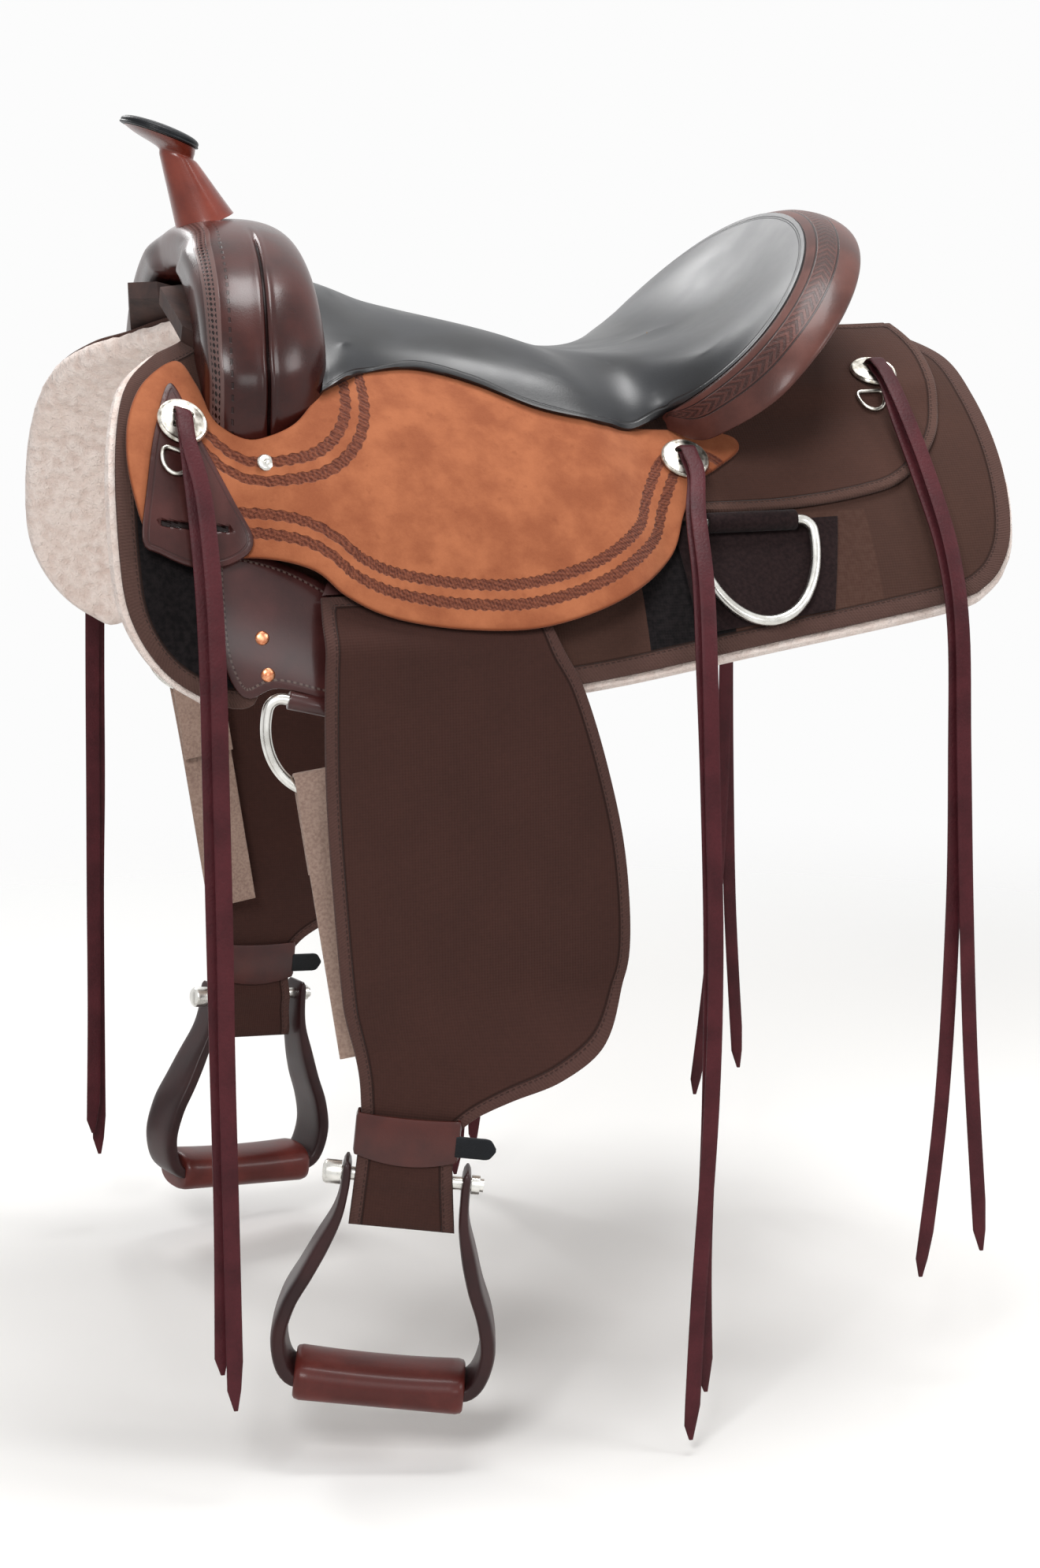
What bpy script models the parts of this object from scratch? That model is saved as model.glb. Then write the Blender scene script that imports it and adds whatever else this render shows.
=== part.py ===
"""Trail saddle: a western saddle with a leather-covered fork and horn, a padded seat,
skirts lined with fleece, fenders, stirrups and saddle strings.

Metres. X runs to the rear, Z is up and the near (left) side is at -Y. The origin is where
the saddle sits on the horse's back, at the lowest stretch of the underside.

Every panel is drawn as a flat pattern (x along the saddle, s down the side from the middle
of the back) and is bent over the horse's back by side_point, which places a point at a lift
above the skirts' underside.
"""

import math

import bmesh
import bpy
from mathutils import Matrix, Vector

for leftover in list(bpy.data.objects):
    bpy.data.objects.remove(leftover)

# Clearance between touching pieces
GAP = 0.0004
LAYER_GAP = 0.0005

# The horse's back
FLEECE = 0.018
BACK_LOW_X = 0.080
WITHERS_RISE = 0.053
WITHERS_RUN = 0.330
LOIN_RISE = 0.004
LOIN_RUN = 0.265
WITHERS_SLOPE = math.radians(10)
BACK_SLOPE = math.radians(16)
WITHERS_RADIUS = 0.287
BACK_RADIUS = 0.364
WITHERS_X = -0.300
BACK_X = 0.040
CELL_X = 0.070
CELL_S = 0.0333

# Skirts
SKIRT = 0.004
SKIRT_FRONT = -0.319
SKIRT_REAR = 0.395
SKIRT_DROP_FRONT = 0.406
SKIRT_DROP_REAR = 0.306
HEM_FRONT_X = -0.253
HEM_REAR_X = 0.314
CHANNEL = 0.045
CHANNEL_WAIST = 0.062
FLEECE_EDGE = 0.010

# Tree
BAR_FRONT = -0.262
BAR_REAR = 0.335
BAR_TOP = 0.0183
BAR_TIP_TOP = 0.0090
BAR_INNER = 0.048
BAR_WAIST = 0.068
BAR_OUTER = 0.132
GROOVE = 0.0048

# Fork and horn
FORK_X = -0.197
FORK_DEPTH = 0.088
FORK_HEIGHT = 0.122
FORK_WIDTH = 0.376
GULLET_HEIGHT = 0.084
COVER = 0.0025
HORN_BASE_X = -0.212
HORN_TOP_X = -0.238
HORN_TOP_Z = 0.180
HORN_RADIUS = 0.014
HORN_BASE_RADIUS = 0.021
HORN_CORE = 0.007
CAP_RADIUS = 0.033
CAP_THICKNESS = 0.0085
CAP_TILT = math.radians(20)

# Seat and cantle
CANTLE_TIP_X = 0.107
CANTLE_TOP_X = 0.258
CANTLE_TIP_Z = -0.024
CANTLE_TOP_Z = 0.127
CANTLE_WIDTH = 0.368
CANTLE_TURN = math.radians(114)
CANTLE_TUCK = 0.030
CANTLE_ROLL = 0.048
ROLL_THICKNESS = 0.013
ROLL_CENTRE_X = 0.060
ROLL_DROOP_TIP = 0.6
ROLL_DROOP_TOP = 0.1
ROLL_RINGS = 11
SEAT_PAD = 0.009
SEAT_EDGE = 0.0035
GROUND_SEAT = 0.003
SEAT_ROWS = 20
SEAT_COLUMNS = 7
SEAT_SHARE = 0.52
CANTLE_BACK = 0.010

# Jockeys
JOCKEY = 0.0045
JOCKEY_FRONT_LIFT = 0.0085
JOCKEY_REAR_LIFT = 0.0102
JOCKEY_BULGE = 0.0275
JOCKEY_CELL = 0.030
REAR_JOCKEY = 0.0045

# Rigging
PLATE = 0.0030
RING_WIRE = 0.0080
RING_WIDTH = 0.086
RING_DROP = 0.062
RING_CORNER = 0.010
LOOP_WALL = 0.0025
RING_PLAY = 0.0003
FRONT_RING_X = -0.178
REAR_RING_X = 0.160
REAR_RING_S = 0.2345
SMALL_WIRE = 0.0030
SMALL_RING_WIDTH = 0.024
SMALL_RING_DROP = 0.020
STRAP_WIDTH = 0.044
STRAP = 0.003
STRAP_SLANT = math.radians(22)
KEEPER = 0.0035

# Stirrup leathers and fenders
HINGE_X = -0.100
HINGE_Y = 0.260
HINGE_Z = -0.178
HINGE_YAW = math.radians(4.5)
UPPER_SLOPE = math.radians(56)
LOWER_LEAN = math.radians(1.5)
PIVOT_UP = 0.150
LEATHER = 0.003
LEATHER_WIDTH = 0.070
WRAP = 0.0025
FENDER = 0.005
NECK = 0.010
NECK_WIDTH = 0.079
FENDER_DROP = 0.345
TWIST_START = 0.260

# Stirrup
BOLT_DOWN = 0.397
BOLT_SHIFT = -0.030
STIRRUP_YAW = math.radians(16)
STIRRUP_ROLL = math.radians(6)
BOLT_RADIUS = 0.005
BOLT_HEAD = 0.009
EAR_OUTER = 0.048
FRAME_THICKNESS = 0.012
FRAME_DEPTH = 0.048
EAR_DEPTH = 0.030
EAR_THICKNESS = 0.0068
STIRRUP_HEIGHT = 0.176
STIRRUP_WIDTH = 0.168
TREAD_LENGTH = 0.127
TREAD_DEPTH = 0.058
TREAD_HEIGHT = 0.034
HOBBLE_WALL = 0.003
HOBBLE_HEIGHT = 0.032
HOBBLE_TAIL = 0.028

# Conchos and strings
CONCHO_RADIUS = 0.019
CONCHO_HEIGHT = 0.005
SLOT_LENGTH = 0.014
SLOT_WIDTH = 0.0045
STRING_WIDTH = 0.012
STRING = 0.0026
STRING_SPACE = 0.0064

SIDES = (("left", -1), ("right", 1))

parts = bpy.data.collections.new("trail_saddle")
cutters = bpy.data.collections.new("cutters")
bpy.context.scene.collection.children.link(parts)
bpy.context.scene.collection.children.link(cutters)


# Materials
def material(name, colour, roughness, metallic=0.0):
    made = bpy.data.materials.new(name)
    made.use_nodes = True
    made.diffuse_color = (*colour, 1)
    shader = made.node_tree.nodes["Principled BSDF"]
    shader.inputs["Base Color"].default_value = (*colour, 1)
    shader.inputs["Roughness"].default_value = roughness
    shader.inputs["Metallic"].default_value = metallic
    return made


WOOD = material("tree_wood", (0.55, 0.42, 0.28), 0.7)
WOOL = material("fleece", (0.86, 0.80, 0.72), 0.95)
CLOTH = material("woven_cloth", (0.085, 0.052, 0.042), 0.85)
SUEDE = material("dark_suede", (0.028, 0.020, 0.022), 0.9)
GLOSSY = material("glossy_leather", (0.085, 0.020, 0.014), 0.3)
RUST = material("rust_leather", (0.17, 0.045, 0.022), 0.45)
ORANGE = material("rough_out_leather", (0.42, 0.145, 0.045), 0.8)
BLACK = material("seat_leather", (0.022, 0.024, 0.028), 0.45)
DARK = material("dark_leather", (0.050, 0.022, 0.018), 0.5)
PALE = material("flesh_side_leather", (0.35, 0.24, 0.18), 0.8)
BURGUNDY = material("string_leather", (0.080, 0.014, 0.020), 0.5)
STEEL = material("steel", (0.75, 0.74, 0.71), 0.25, 1.0)


# Mesh helpers
def add_object(name, bm, stuff, smooth=True):
    """Turns a closed bmesh into a named object whose faces point out."""
    bmesh.ops.recalc_face_normals(bm, faces=bm.faces)
    mesh = bpy.data.meshes.new(name)
    bm.to_mesh(mesh)
    bm.free()
    mesh.materials.append(stuff)
    if smooth:
        mesh.shade_smooth()
        mesh.set_sharp_from_angle(angle=math.radians(35))
    made = bpy.data.objects.new(name, mesh)
    parts.objects.link(made)
    return made


def as_cutter(made):
    parts.objects.unlink(made)
    cutters.objects.link(made)
    made.hide_render = True
    made.display_type = "WIRE"
    return made


def boolean(target, tool, operation):
    step = target.modifiers.new(operation.lower(), "BOOLEAN")
    step.operation = operation
    step.object = tool
    step.solver = "EXACT"


def cut(target, tool):
    boolean(target, as_cutter(tool), "DIFFERENCE")


def join(target, tool):
    boolean(target, as_cutter(tool), "UNION")


def loft(name, rings, stuff, closed=False, smooth=True):
    """Joins rings of points; the first and last ring are capped unless the loft is closed."""
    bm = bmesh.new()
    rows = [[bm.verts.new(point) for point in ring] for ring in rings]
    count = len(rows[0])
    pairs = list(zip(rows, rows[1:]))
    if closed:
        pairs.append((rows[-1], rows[0]))
    for near, far in pairs:
        for i in range(count):
            j = (i + 1) % count
            bm.faces.new((near[i], near[j], far[j], far[i]))
    if not closed:
        bm.faces.new(rows[0])
        bm.faces.new(rows[-1])
    return add_object(name, bm, stuff, smooth)


def sheet(name, rows, thickness, stuff):
    """A leather sheet: rows of middle points, thickened evenly on both sides."""
    bm = bmesh.new()
    grid = [[bm.verts.new(point) for point in row] for row in rows]
    for near, far in zip(grid, grid[1:]):
        for i in range(len(near) - 1):
            bm.faces.new((near[i], near[i + 1], far[i + 1], far[i]))
    made = add_object(name, bm, stuff)
    solid = made.modifiers.new("thickness", "SOLIDIFY")
    solid.thickness = thickness
    solid.offset = 0
    return made


def smoothstep(t):
    t = min(max(t, 0.0), 1.0)
    return t * t * (3 - 2 * t)


def mix(a, b, t):
    return a + (b - a) * t


def spline(points, step, closed=False, pieces=0):
    """A smooth curve through the points, read every step or so; a point given twice stays a corner."""
    points = [Vector(point) for point in points]
    count = len(points)
    spans = count if closed else count - 1
    line = []
    for i in range(spans):
        before = points[i - 1] if closed or i else points[i]
        start = points[i]
        end = points[(i + 1) % count]
        after = points[(i + 2) % count] if closed or i + 2 < count else end
        length = (end - start).length
        if length < 1e-9:
            continue
        count_here = pieces or max(1, round(length / step))
        for k in range(count_here):
            t = k / count_here
            line.append(
                0.5
                * (
                    2 * start
                    + (end - before) * t
                    + (2 * before - 5 * start + 4 * end - after) * t**2
                    + (3 * start - before - 3 * end + after) * t**3
                )
            )
    if not closed:
        line.append(points[-1])
    return line


# The horse's back
def back_shape(x):
    """Slope at the top, curvature and height of the cross-section at x."""
    t = smoothstep((x - WITHERS_X) / (BACK_X - WITHERS_X))
    slope = mix(WITHERS_SLOPE, BACK_SLOPE, t)
    bend = mix(1 / WITHERS_RADIUS, 1 / BACK_RADIUS, t)
    if x < BACK_LOW_X:
        rise = WITHERS_RISE * ((BACK_LOW_X - x) / WITHERS_RUN) ** 2
    else:
        rise = LOIN_RISE * ((x - BACK_LOW_X) / LOIN_RUN) ** 2
    return slope, bend, FLEECE + rise


def side_point(x, s, lift, side):
    slope, bend, top = back_shape(x)
    angle = slope + bend * s
    y = (math.sin(angle) - math.sin(slope)) / bend + lift * math.sin(angle)
    z = top - (math.cos(slope) - math.cos(angle)) / bend + lift * math.cos(angle)
    return Vector((x, side * max(y, GAP), z))


def side_tangent(x, s, lift, side):
    """The direction to the rear along the side at a constant s."""
    return (side_point(x + 0.01, s, lift, side) - side_point(x - 0.01, s, lift, side)).normalized()


def side_frame(x, s, lift, side):
    """A frame on the side of the saddle: X to the rear, Z out of the surface."""
    rear = side_tangent(x, s, lift, side)
    down = side_point(x, s + 0.01, lift, side) - side_point(x, s - 0.01, lift, side)
    outward = (rear.cross(down) * side).normalized()
    if outward.z < 0:
        outward = -outward
    across = outward.cross(rear)
    return Matrix.Translation(side_point(x, s, lift, side)) @ Matrix(
        (rear, across, outward)
    ).transposed().to_4x4()


def grown(outline, margin):
    """A closed outline moved outwards by a margin."""
    count = len(outline)
    area = sum(outline[i - 1].x * outline[i].y - outline[i].x * outline[i - 1].y for i in range(count))
    turn = 1 if area > 0 else -1
    moved = []
    for i, point in enumerate(outline):
        along = outline[(i + 1) % count] - outline[i - 1]
        if along.length < 1e-9:
            moved.append(point.copy())
            continue
        normal = Vector((along.y, -along.x)).normalized() * turn
        moved.append(point + normal * margin)
    return moved


def bent_panel(name, outline, low, high, side, stuff, cells=(CELL_X, CELL_S)):
    """Cuts a flat pattern, splits it into cells and bends it over the back between two lifts."""
    lift_low = low if callable(low) else lambda x, s: low
    lift_high = high if callable(high) else lambda x, s: high
    bm = bmesh.new()
    bm.faces.new([bm.verts.new((p[0], p[1], 0)) for p in outline])
    xs = [p[0] for p in outline]
    ss = [p[1] for p in outline]
    cuts = [(Vector((i * cells[0], 0, 0)), Vector((1, 0, 0))) for i in range(-10, 11)]
    cuts += [(Vector((0, i * cells[1], 0)), Vector((0, 1, 0))) for i in range(1, 18)]
    for place, direction in cuts:
        inside_x = min(xs) + 0.002 < place.x < max(xs) - 0.002
        inside_s = min(ss) + 0.002 < place.y < max(ss) - 0.002
        if (direction.x and inside_x) or (direction.y and inside_s):
            geometry = bm.verts[:] + bm.edges[:] + bm.faces[:]
            bmesh.ops.bisect_plane(bm, geom=geometry, dist=1e-5, plane_co=place, plane_no=direction)
    bmesh.ops.triangulate(bm, faces=bm.faces)
    lower = bm.verts[:]
    flat = {vert: vert.co.copy() for vert in lower}
    raised = bmesh.ops.extrude_face_region(bm, geom=bm.faces[:])
    upper = [item for item in raised["geom"] if isinstance(item, bmesh.types.BMVert)]
    for vert in upper:
        x, s = vert.co.x, vert.co.y
        vert.co = side_point(x, s, lift_high(x, s), side)
    for vert in lower:
        x, s = flat[vert].x, flat[vert].y
        vert.co = side_point(x, s, lift_low(x, s), side)
    return add_object(name, bm, stuff)


def pattern(points, step=0.022):
    return [Vector((p.x, p.y)) for p in spline([(x, s, 0) for x, s in points], step, closed=True)]


# Skirts and fleece
def hem(x):
    """How far down the side the skirt's lower edge lies at x."""
    t = (HEM_REAR_X - x) / (HEM_REAR_X - HEM_FRONT_X)
    return mix(SKIRT_DROP_REAR, SKIRT_DROP_FRONT, 0.83 * t + 0.17 * t * t)


RING_AXIS_DROP = RING_WIRE / 2 + RING_PLAY + LOOP_WALL + 0.001
NOTCH_HALF = RING_WIDTH / 2 + RING_WIRE


def skirt_outline():
    front, rear = SKIRT_FRONT, SKIRT_REAR
    corner = (front + 0.104, CHANNEL)
    tail = (rear - 0.023, 0.0)
    notch_front = (FRONT_RING_X - NOTCH_HALF, hem(FRONT_RING_X) - RING_AXIS_DROP)
    notch_rear = (FRONT_RING_X + NOTCH_HALF, hem(FRONT_RING_X) - RING_AXIS_DROP)
    return pattern(
        [
            corner,
            corner,
            (front + 0.071, 0.112),
            (front + 0.041, 0.150),
            (front + 0.016, 0.194),
            (front + 0.003, 0.255),
            (front, 0.325),
            (front + 0.006, 0.368),
            (front + 0.029, 0.396),
            (HEM_FRONT_X, SKIRT_DROP_FRONT),
            (notch_front[0] - 0.004, hem(notch_front[0])),
            notch_front,
            notch_front,
            notch_rear,
            notch_rear,
            (notch_rear[0] + 0.004, hem(notch_rear[0])),
            (0.012, hem(0.012)),
            (0.160, hem(0.160)),
            (HEM_REAR_X, SKIRT_DROP_REAR),
            (rear - 0.043, 0.294),
            (rear - 0.021, 0.270),
            (rear - 0.009, 0.235),
            (rear - 0.002, 0.180),
            (rear, 0.110),
            (rear - 0.002, 0.050),
            tail,
            tail,
            (0.270, 0.0),
            (0.270, 0.0),
            (0.225, 0.030),
            (0.170, CHANNEL_WAIST - 0.008),
            (0.100, CHANNEL_WAIST),
            (0.000, CHANNEL_WAIST),
            (-0.080, CHANNEL + 0.005),
        ],
        0.036,
    )


def fleece_outline():
    """The skirt's pattern, a little larger where the wool shows past the edge."""
    skirt = skirt_outline()
    full = grown(skirt, FLEECE_EDGE)
    kept = []
    for before, after in zip(skirt, full):
        in_channel = before.y < CHANNEL_WAIST + 0.001 and SKIRT_FRONT + 0.09 < before.x < SKIRT_REAR - 0.03
        at_ring = abs(before.x - FRONT_RING_X) < NOTCH_HALF + 0.012 and before.y > 0.3
        point = before if in_channel or at_ring else after
        kept.append(Vector((point.x, max(point.y, 0.0))))
    return kept


def build_skirt(name, side):
    bent_panel("skirt_" + name, skirt_outline(), 0, SKIRT, side, CLOTH)
    bent_panel("fleece_" + name, fleece_outline(), -FLEECE, -LAYER_GAP, side, WOOL)


# Tree
def bar_top(x):
    """The bars thin out towards their tips."""
    rear = smoothstep((x - 0.150) / (BAR_REAR - 0.150))
    return mix(BAR_TOP, BAR_TIP_TOP, rear)


def bar_outline():
    return pattern(
        [
            (BAR_FRONT, BAR_INNER + 0.020),
            (BAR_FRONT + 0.020, BAR_INNER),
            (-0.120, BAR_INNER),
            (0.000, BAR_WAIST),
            (0.150, BAR_WAIST - 0.004),
            (BAR_REAR - 0.060, BAR_INNER - 0.006),
            (BAR_REAR - 0.012, BAR_INNER - 0.004),
            (BAR_REAR, BAR_INNER + 0.015),
            (BAR_REAR - 0.010, BAR_OUTER - 0.045),
            (0.200, BAR_OUTER - 0.034),
            (0.120, BAR_OUTER - 0.032),
            (0.050, BAR_OUTER - 0.024),
            (-0.020, BAR_OUTER - 0.006),
            (-0.100, BAR_OUTER),
            (-0.190, BAR_OUTER),
            (BAR_FRONT + 0.008, BAR_OUTER - 0.016),
        ],
        0.034,
    )


def build_bar(name, side):
    bar = bent_panel("tree_bar_" + name, bar_outline(), SKIRT + LAYER_GAP, lambda x, s: bar_top(x), side, WOOD)
    middle = pivot_point(side).x
    reach = LEATHER_WIDTH / 2 + 0.003
    front, rear = middle - reach, middle + reach
    groove = [(front, 0.030), (rear, 0.030), (rear, 0.150), (front, 0.150)]
    low = SKIRT - 0.002
    cut(bar, bent_panel("groove_" + name, groove, low, SKIRT + LAYER_GAP + GROOVE, side, WOOD))

    def above(t, r):
        return -0.03

    def below(t, r):
        return seat_bottom(t, r) + 0.0006

    cut(bar, seat_shell("bar_room_" + name, (0, 1), (0, 1), above, below, WOOD))


def bar_cutter(name, side):
    """A tool a little larger than the bar, for the pieces that stand on it."""
    outline = grown(bar_outline(), GAP)
    return bent_panel(name, outline, 0, lambda x, s: bar_top(x) + GAP, side, WOOD)


# Fork, its cover and the horn
def arch_curves():
    """Inner and outer line of the fork's arch from the near foot over the top to the far foot."""
    half = FORK_WIDTH / 2
    inner = [
        (0.100, 0.042),
        (0.093, GULLET_HEIGHT - 0.025),
        (0.068, GULLET_HEIGHT - 0.010),
        (0.036, GULLET_HEIGHT - 0.002),
        (0.0, GULLET_HEIGHT),
    ]
    outer = [
        (half - 0.003, -0.034),
        (half + 0.002, FORK_HEIGHT - 0.106),
        (half - 0.034, FORK_HEIGHT - 0.050),
        (half - 0.103, FORK_HEIGHT - 0.013),
        (0.0, FORK_HEIGHT),
    ]
    curves = []
    for points in (inner, outer):
        near = [(0, -y, z) for y, z in points]
        far = [(0, y, z) for y, z in points[-2::-1]]
        curves.append(spline(near + far, 1.0, pieces=2))
    return curves


def arch_rings(shrink, count=14, power=2.4):
    """Rounded sections between the two arch lines, drawn in by shrink on every side."""
    inner, outer = arch_curves()
    rings = []
    for low, high in zip(inner, outer):
        middle = (low + high) / 2
        half = (high - low) / 2
        reach = half.length - shrink
        half = half.normalized() * reach
        depth = FORK_DEPTH / 2 - shrink
        ring = []
        for k in range(count):
            turn = 2 * math.pi * k / count
            c, s = math.cos(turn), math.sin(turn)
            u = math.copysign(abs(c) ** (2 / power), c)
            v = math.copysign(abs(s) ** (2 / power), s)
            lean = -0.016 * max(u, 0) ** 2 * min(1, abs(high.y) / (FORK_WIDTH / 2)) ** 2
            point = middle + half * u
            ring.append(Vector((FORK_X + lean + depth * v, point.y, point.z)))
        rings.append(ring)
    return rings


def horn_frame():
    """The horn's axis: Z up along the post, at the middle of its foot."""
    base = Vector((HORN_BASE_X, 0, FORK_HEIGHT - 0.006))
    top = Vector((HORN_TOP_X, 0, HORN_TOP_Z))
    axis = (top - base).normalized()
    across = Vector((0, 1, 0))
    front = across.cross(axis)
    return Matrix.Translation(base) @ Matrix((front, across, axis)).transposed().to_4x4(), (top - base).length


def round_ring(frame, height, radius_x, radius_y, count, shift=0.0):
    ring = []
    for k in range(count):
        turn = 2 * math.pi * k / count
        x = radius_x * math.cos(turn)
        ring.append(frame @ Vector((x + shift, radius_y * math.sin(turn), height)))
    return ring


def cap_frame():
    top = Vector((HORN_TOP_X - 0.008, 0, HORN_TOP_Z + 0.004))
    return Matrix.Translation(top) @ Matrix.Rotation(CAP_TILT, 4, "Y")


def disc(name, frame, profile, stuff, count=20):
    """A round piece turned about a frame's Z axis, from its (radius, height) profile."""
    rings = [round_ring(frame, height, radius, radius, count) for radius, height in profile]
    return loft(name, rings, stuff)


def build_fork():
    fork = loft("tree_fork", arch_rings(COVER + 5 * GAP, 10), WOOD)
    frame, height = horn_frame()
    post = [round_ring(frame, h, HORN_CORE, HORN_CORE, 12) for h in (-0.012, height - 0.002)]
    join(fork, loft("horn_core_post", post, WOOD))
    cap = cap_frame()
    core = CAP_RADIUS - 0.006
    join(fork, disc("horn_core_disc", cap, [(core, GAP), (core, 0.003)], WOOD, 20))
    cover = loft("fork_cover", arch_rings(0), GLOSSY)
    hollow = arch_rings(COVER)
    below = [point + Vector((0, 0, -0.02)) for point in hollow[0]]
    beyond = [point + Vector((0, 0, -0.02)) for point in hollow[-1]]
    cut(cover, loft("cover_hollow", [below] + hollow + [beyond], GLOSSY))
    passage = [round_ring(frame, h, HORN_CORE + GAP, HORN_CORE + GAP, 12) for h in (-0.03, 0.03)]
    cut(cover, loft("cover_passage", passage, GLOSSY))
    for name, side in SIDES:
        cut(fork, bar_cutter("fork_foot_" + name, side))
        cut(cover, bar_cutter("cover_foot_" + name, side))


def build_horn():
    frame, height = horn_frame()
    cap = cap_frame()
    rows = [
        (0.008, HORN_BASE_RADIUS, HORN_BASE_RADIUS * 1.1),
        (0.25 * height, HORN_BASE_RADIUS * 0.90, HORN_BASE_RADIUS),
        (0.55 * height, HORN_RADIUS * 1.05, HORN_RADIUS * 1.1),
    ]
    rings = [round_ring(frame, h, a, b, 16) for h, a, b in rows]
    flare = [
        (-0.0150, HORN_RADIUS * 0.95, 0.0160),
        (-0.0080, HORN_RADIUS * 1.25, 0.0115),
        (-0.0030, CAP_RADIUS * 0.74, 0.0050),
        (-GAP, CAP_RADIUS * 0.86, 0.0005),
    ]
    rings += [round_ring(cap, h, radius, radius, 16, shift) for h, radius, shift in flare]
    neck = loft("horn_neck", rings, RUST)
    hollow = [round_ring(frame, h, HORN_CORE + GAP, HORN_CORE + GAP, 12) for h in (-0.01, height + 0.02)]
    cut(neck, loft("neck_hollow", hollow, RUST))
    cut(neck, loft("neck_foot", arch_rings(-GAP), GLOSSY))
    edge = CAP_RADIUS
    profile = [
        (edge * 0.92, 0.0),
        (edge, 0.0022),
        (edge * 0.97, 0.0050),
        (edge * 0.80, CAP_THICKNESS - 0.0015),
        (edge * 0.40, CAP_THICKNESS),
    ]
    horn_cap = disc("horn_cap", cap, profile, BLACK)
    core = CAP_RADIUS - 0.006 + GAP
    cut(horn_cap, disc("cap_pocket", cap, [(core, -0.001), (core, 0.003 + GAP)], BLACK, 20))


# Seat and cantle
def rim_point(t, side):
    """The cantle's rim, from its tip (t = 0) to the top of its middle (t = 1)."""
    turn = CANTLE_TURN * (1 - t)
    y = CANTLE_WIDTH / 2 * math.sin(turn)
    drop = (1 - math.cos(turn)) / (1 - math.cos(CANTLE_TURN))
    z = mix(CANTLE_TOP_Z, CANTLE_TIP_Z, drop)
    x = mix(CANTLE_TIP_X, CANTLE_TOP_X, math.cos(math.pi / 2 * (1 - t)) ** 0.92)
    tuck = CANTLE_TUCK * max(1 - t / 0.3, 0) ** 2
    return Vector((x + 0.35 * tuck, side * (y - tuck), z))


def jockey_bulge(x):
    """Where the seat jockey stands off the skirt, over the fender's top; straight between the panel's cuts."""

    def rise(place):
        return smoothstep((place + 0.245) / 0.060) * (1 - smoothstep((place - 0.045) / 0.055))

    start = math.floor(x / JOCKEY_CELL) * JOCKEY_CELL
    return mix(rise(start), rise(start + JOCKEY_CELL), (x - start) / JOCKEY_CELL)


def jockey_lift(x):
    plain = JOCKEY_FRONT_LIFT if x < -0.1 else JOCKEY_REAR_LIFT
    return mix(plain, JOCKEY_BULGE, jockey_bulge(x))


def seat_edge(side):
    """The seat's lower edge, lying on the seat jockey."""
    flat = [
        (-0.162, 0.166),
        (-0.139, 0.147),
        (-0.117, 0.131),
        (-0.077, 0.117),
        (-0.036, 0.124),
        (0.009, 0.145),
        (0.050, 0.155),
        (0.068, 0.154),
        (0.088, 0.151),
    ]
    over = JOCKEY + LAYER_GAP + SEAT_EDGE + 0.0015
    return [side_point(x, s, jockey_lift(x) + over, side) for x, s in flat]



def seat_border(t, side):
    """The seat's outer edge: along the jockey from the fork to the cantle's tip, then up the rim."""
    if t <= SEAT_SHARE:
        flank = seat_edge(side) + [rim_point(0, side)]
        place = t / SEAT_SHARE * (len(flank) - 1)
        i = min(int(place), len(flank) - 2)
        u = place - i
        before = flank[max(i - 1, 0)]
        after = flank[min(i + 2, len(flank) - 1)]
        start, end = flank[i], flank[i + 1]
        return 0.5 * (
            2 * start
            + (end - before) * u
            + (2 * before - 5 * start + 4 * end - after) * u**2
            + (3 * start - before - 3 * end + after) * u**3
        )
    return rim_point((t - SEAT_SHARE) / (1 - SEAT_SHARE), side)


def seat_middle(t):
    """The seat's middle line, from the fork down to the deepest point and on into the dish."""
    line = spline(
        [
            (-0.147, 0, 0.081),
            (-0.100, 0, 0.062),
            (-0.036, 0, 0.044),
            (0.016, 0, 0.026),
            (0.062, 0, 0.018),
            (0.105, 0, 0.019),
            (0.130, 0, 0.024),
            (0.150, 0, 0.031),
        ],
        0.012,
    )
    place = min(t / 0.94, 1) ** 0.85 * (len(line) - 1)
    i = min(int(place), len(line) - 2)
    return line[i].lerp(line[i + 1], place - i)


def seat_top(t, r, side):
    """The seat's upper face: t runs along its border, r from the middle (0) to the border (1)."""
    middle = seat_middle(t)
    border = seat_border(t, side)
    power = mix(2.2, 3.0, smoothstep(t / 0.35)) if t < SEAT_SHARE else mix(3.0, 2.0, (t - SEAT_SHARE) / 0.2)
    power = max(power, 2.0)
    bulge = 0.013 * math.sin(math.pi * r) * max(1 - 5 * t, 0) ** 2
    return Vector(
        (
            mix(middle.x, border.x, r) + bulge,
            mix(0, border.y, r),
            mix(middle.z, border.z, r**power),
        )
    )


def seat_below(t, r, side, depth):
    """A point at a depth under the seat's upper face."""
    step = 0.004
    t0, t1 = max(t - step, 0), min(t + step, 1)
    r0, r1 = max(r - step, 0), r + step
    along = seat_top(t1, r, side) - seat_top(t0, r, side)
    across = seat_top(t, r1, side) - seat_top(t, r0, side)
    normal = along.cross(across).normalized()
    if normal.z < 0:
        normal = -normal
    point = seat_top(t, r, side) - normal * depth
    if r < 1e-6 or t > 1 - 1e-6:
        point.y = 0
    return point


def seat_pad(t, r):
    """The padding's thickness: thin at the sewn edge, full a little further in."""
    return mix(SEAT_EDGE, SEAT_PAD, smoothstep((0.93 - r) / 0.20))


def seat_bottom(t, r):
    return seat_pad(t, r) + LAYER_GAP


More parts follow.
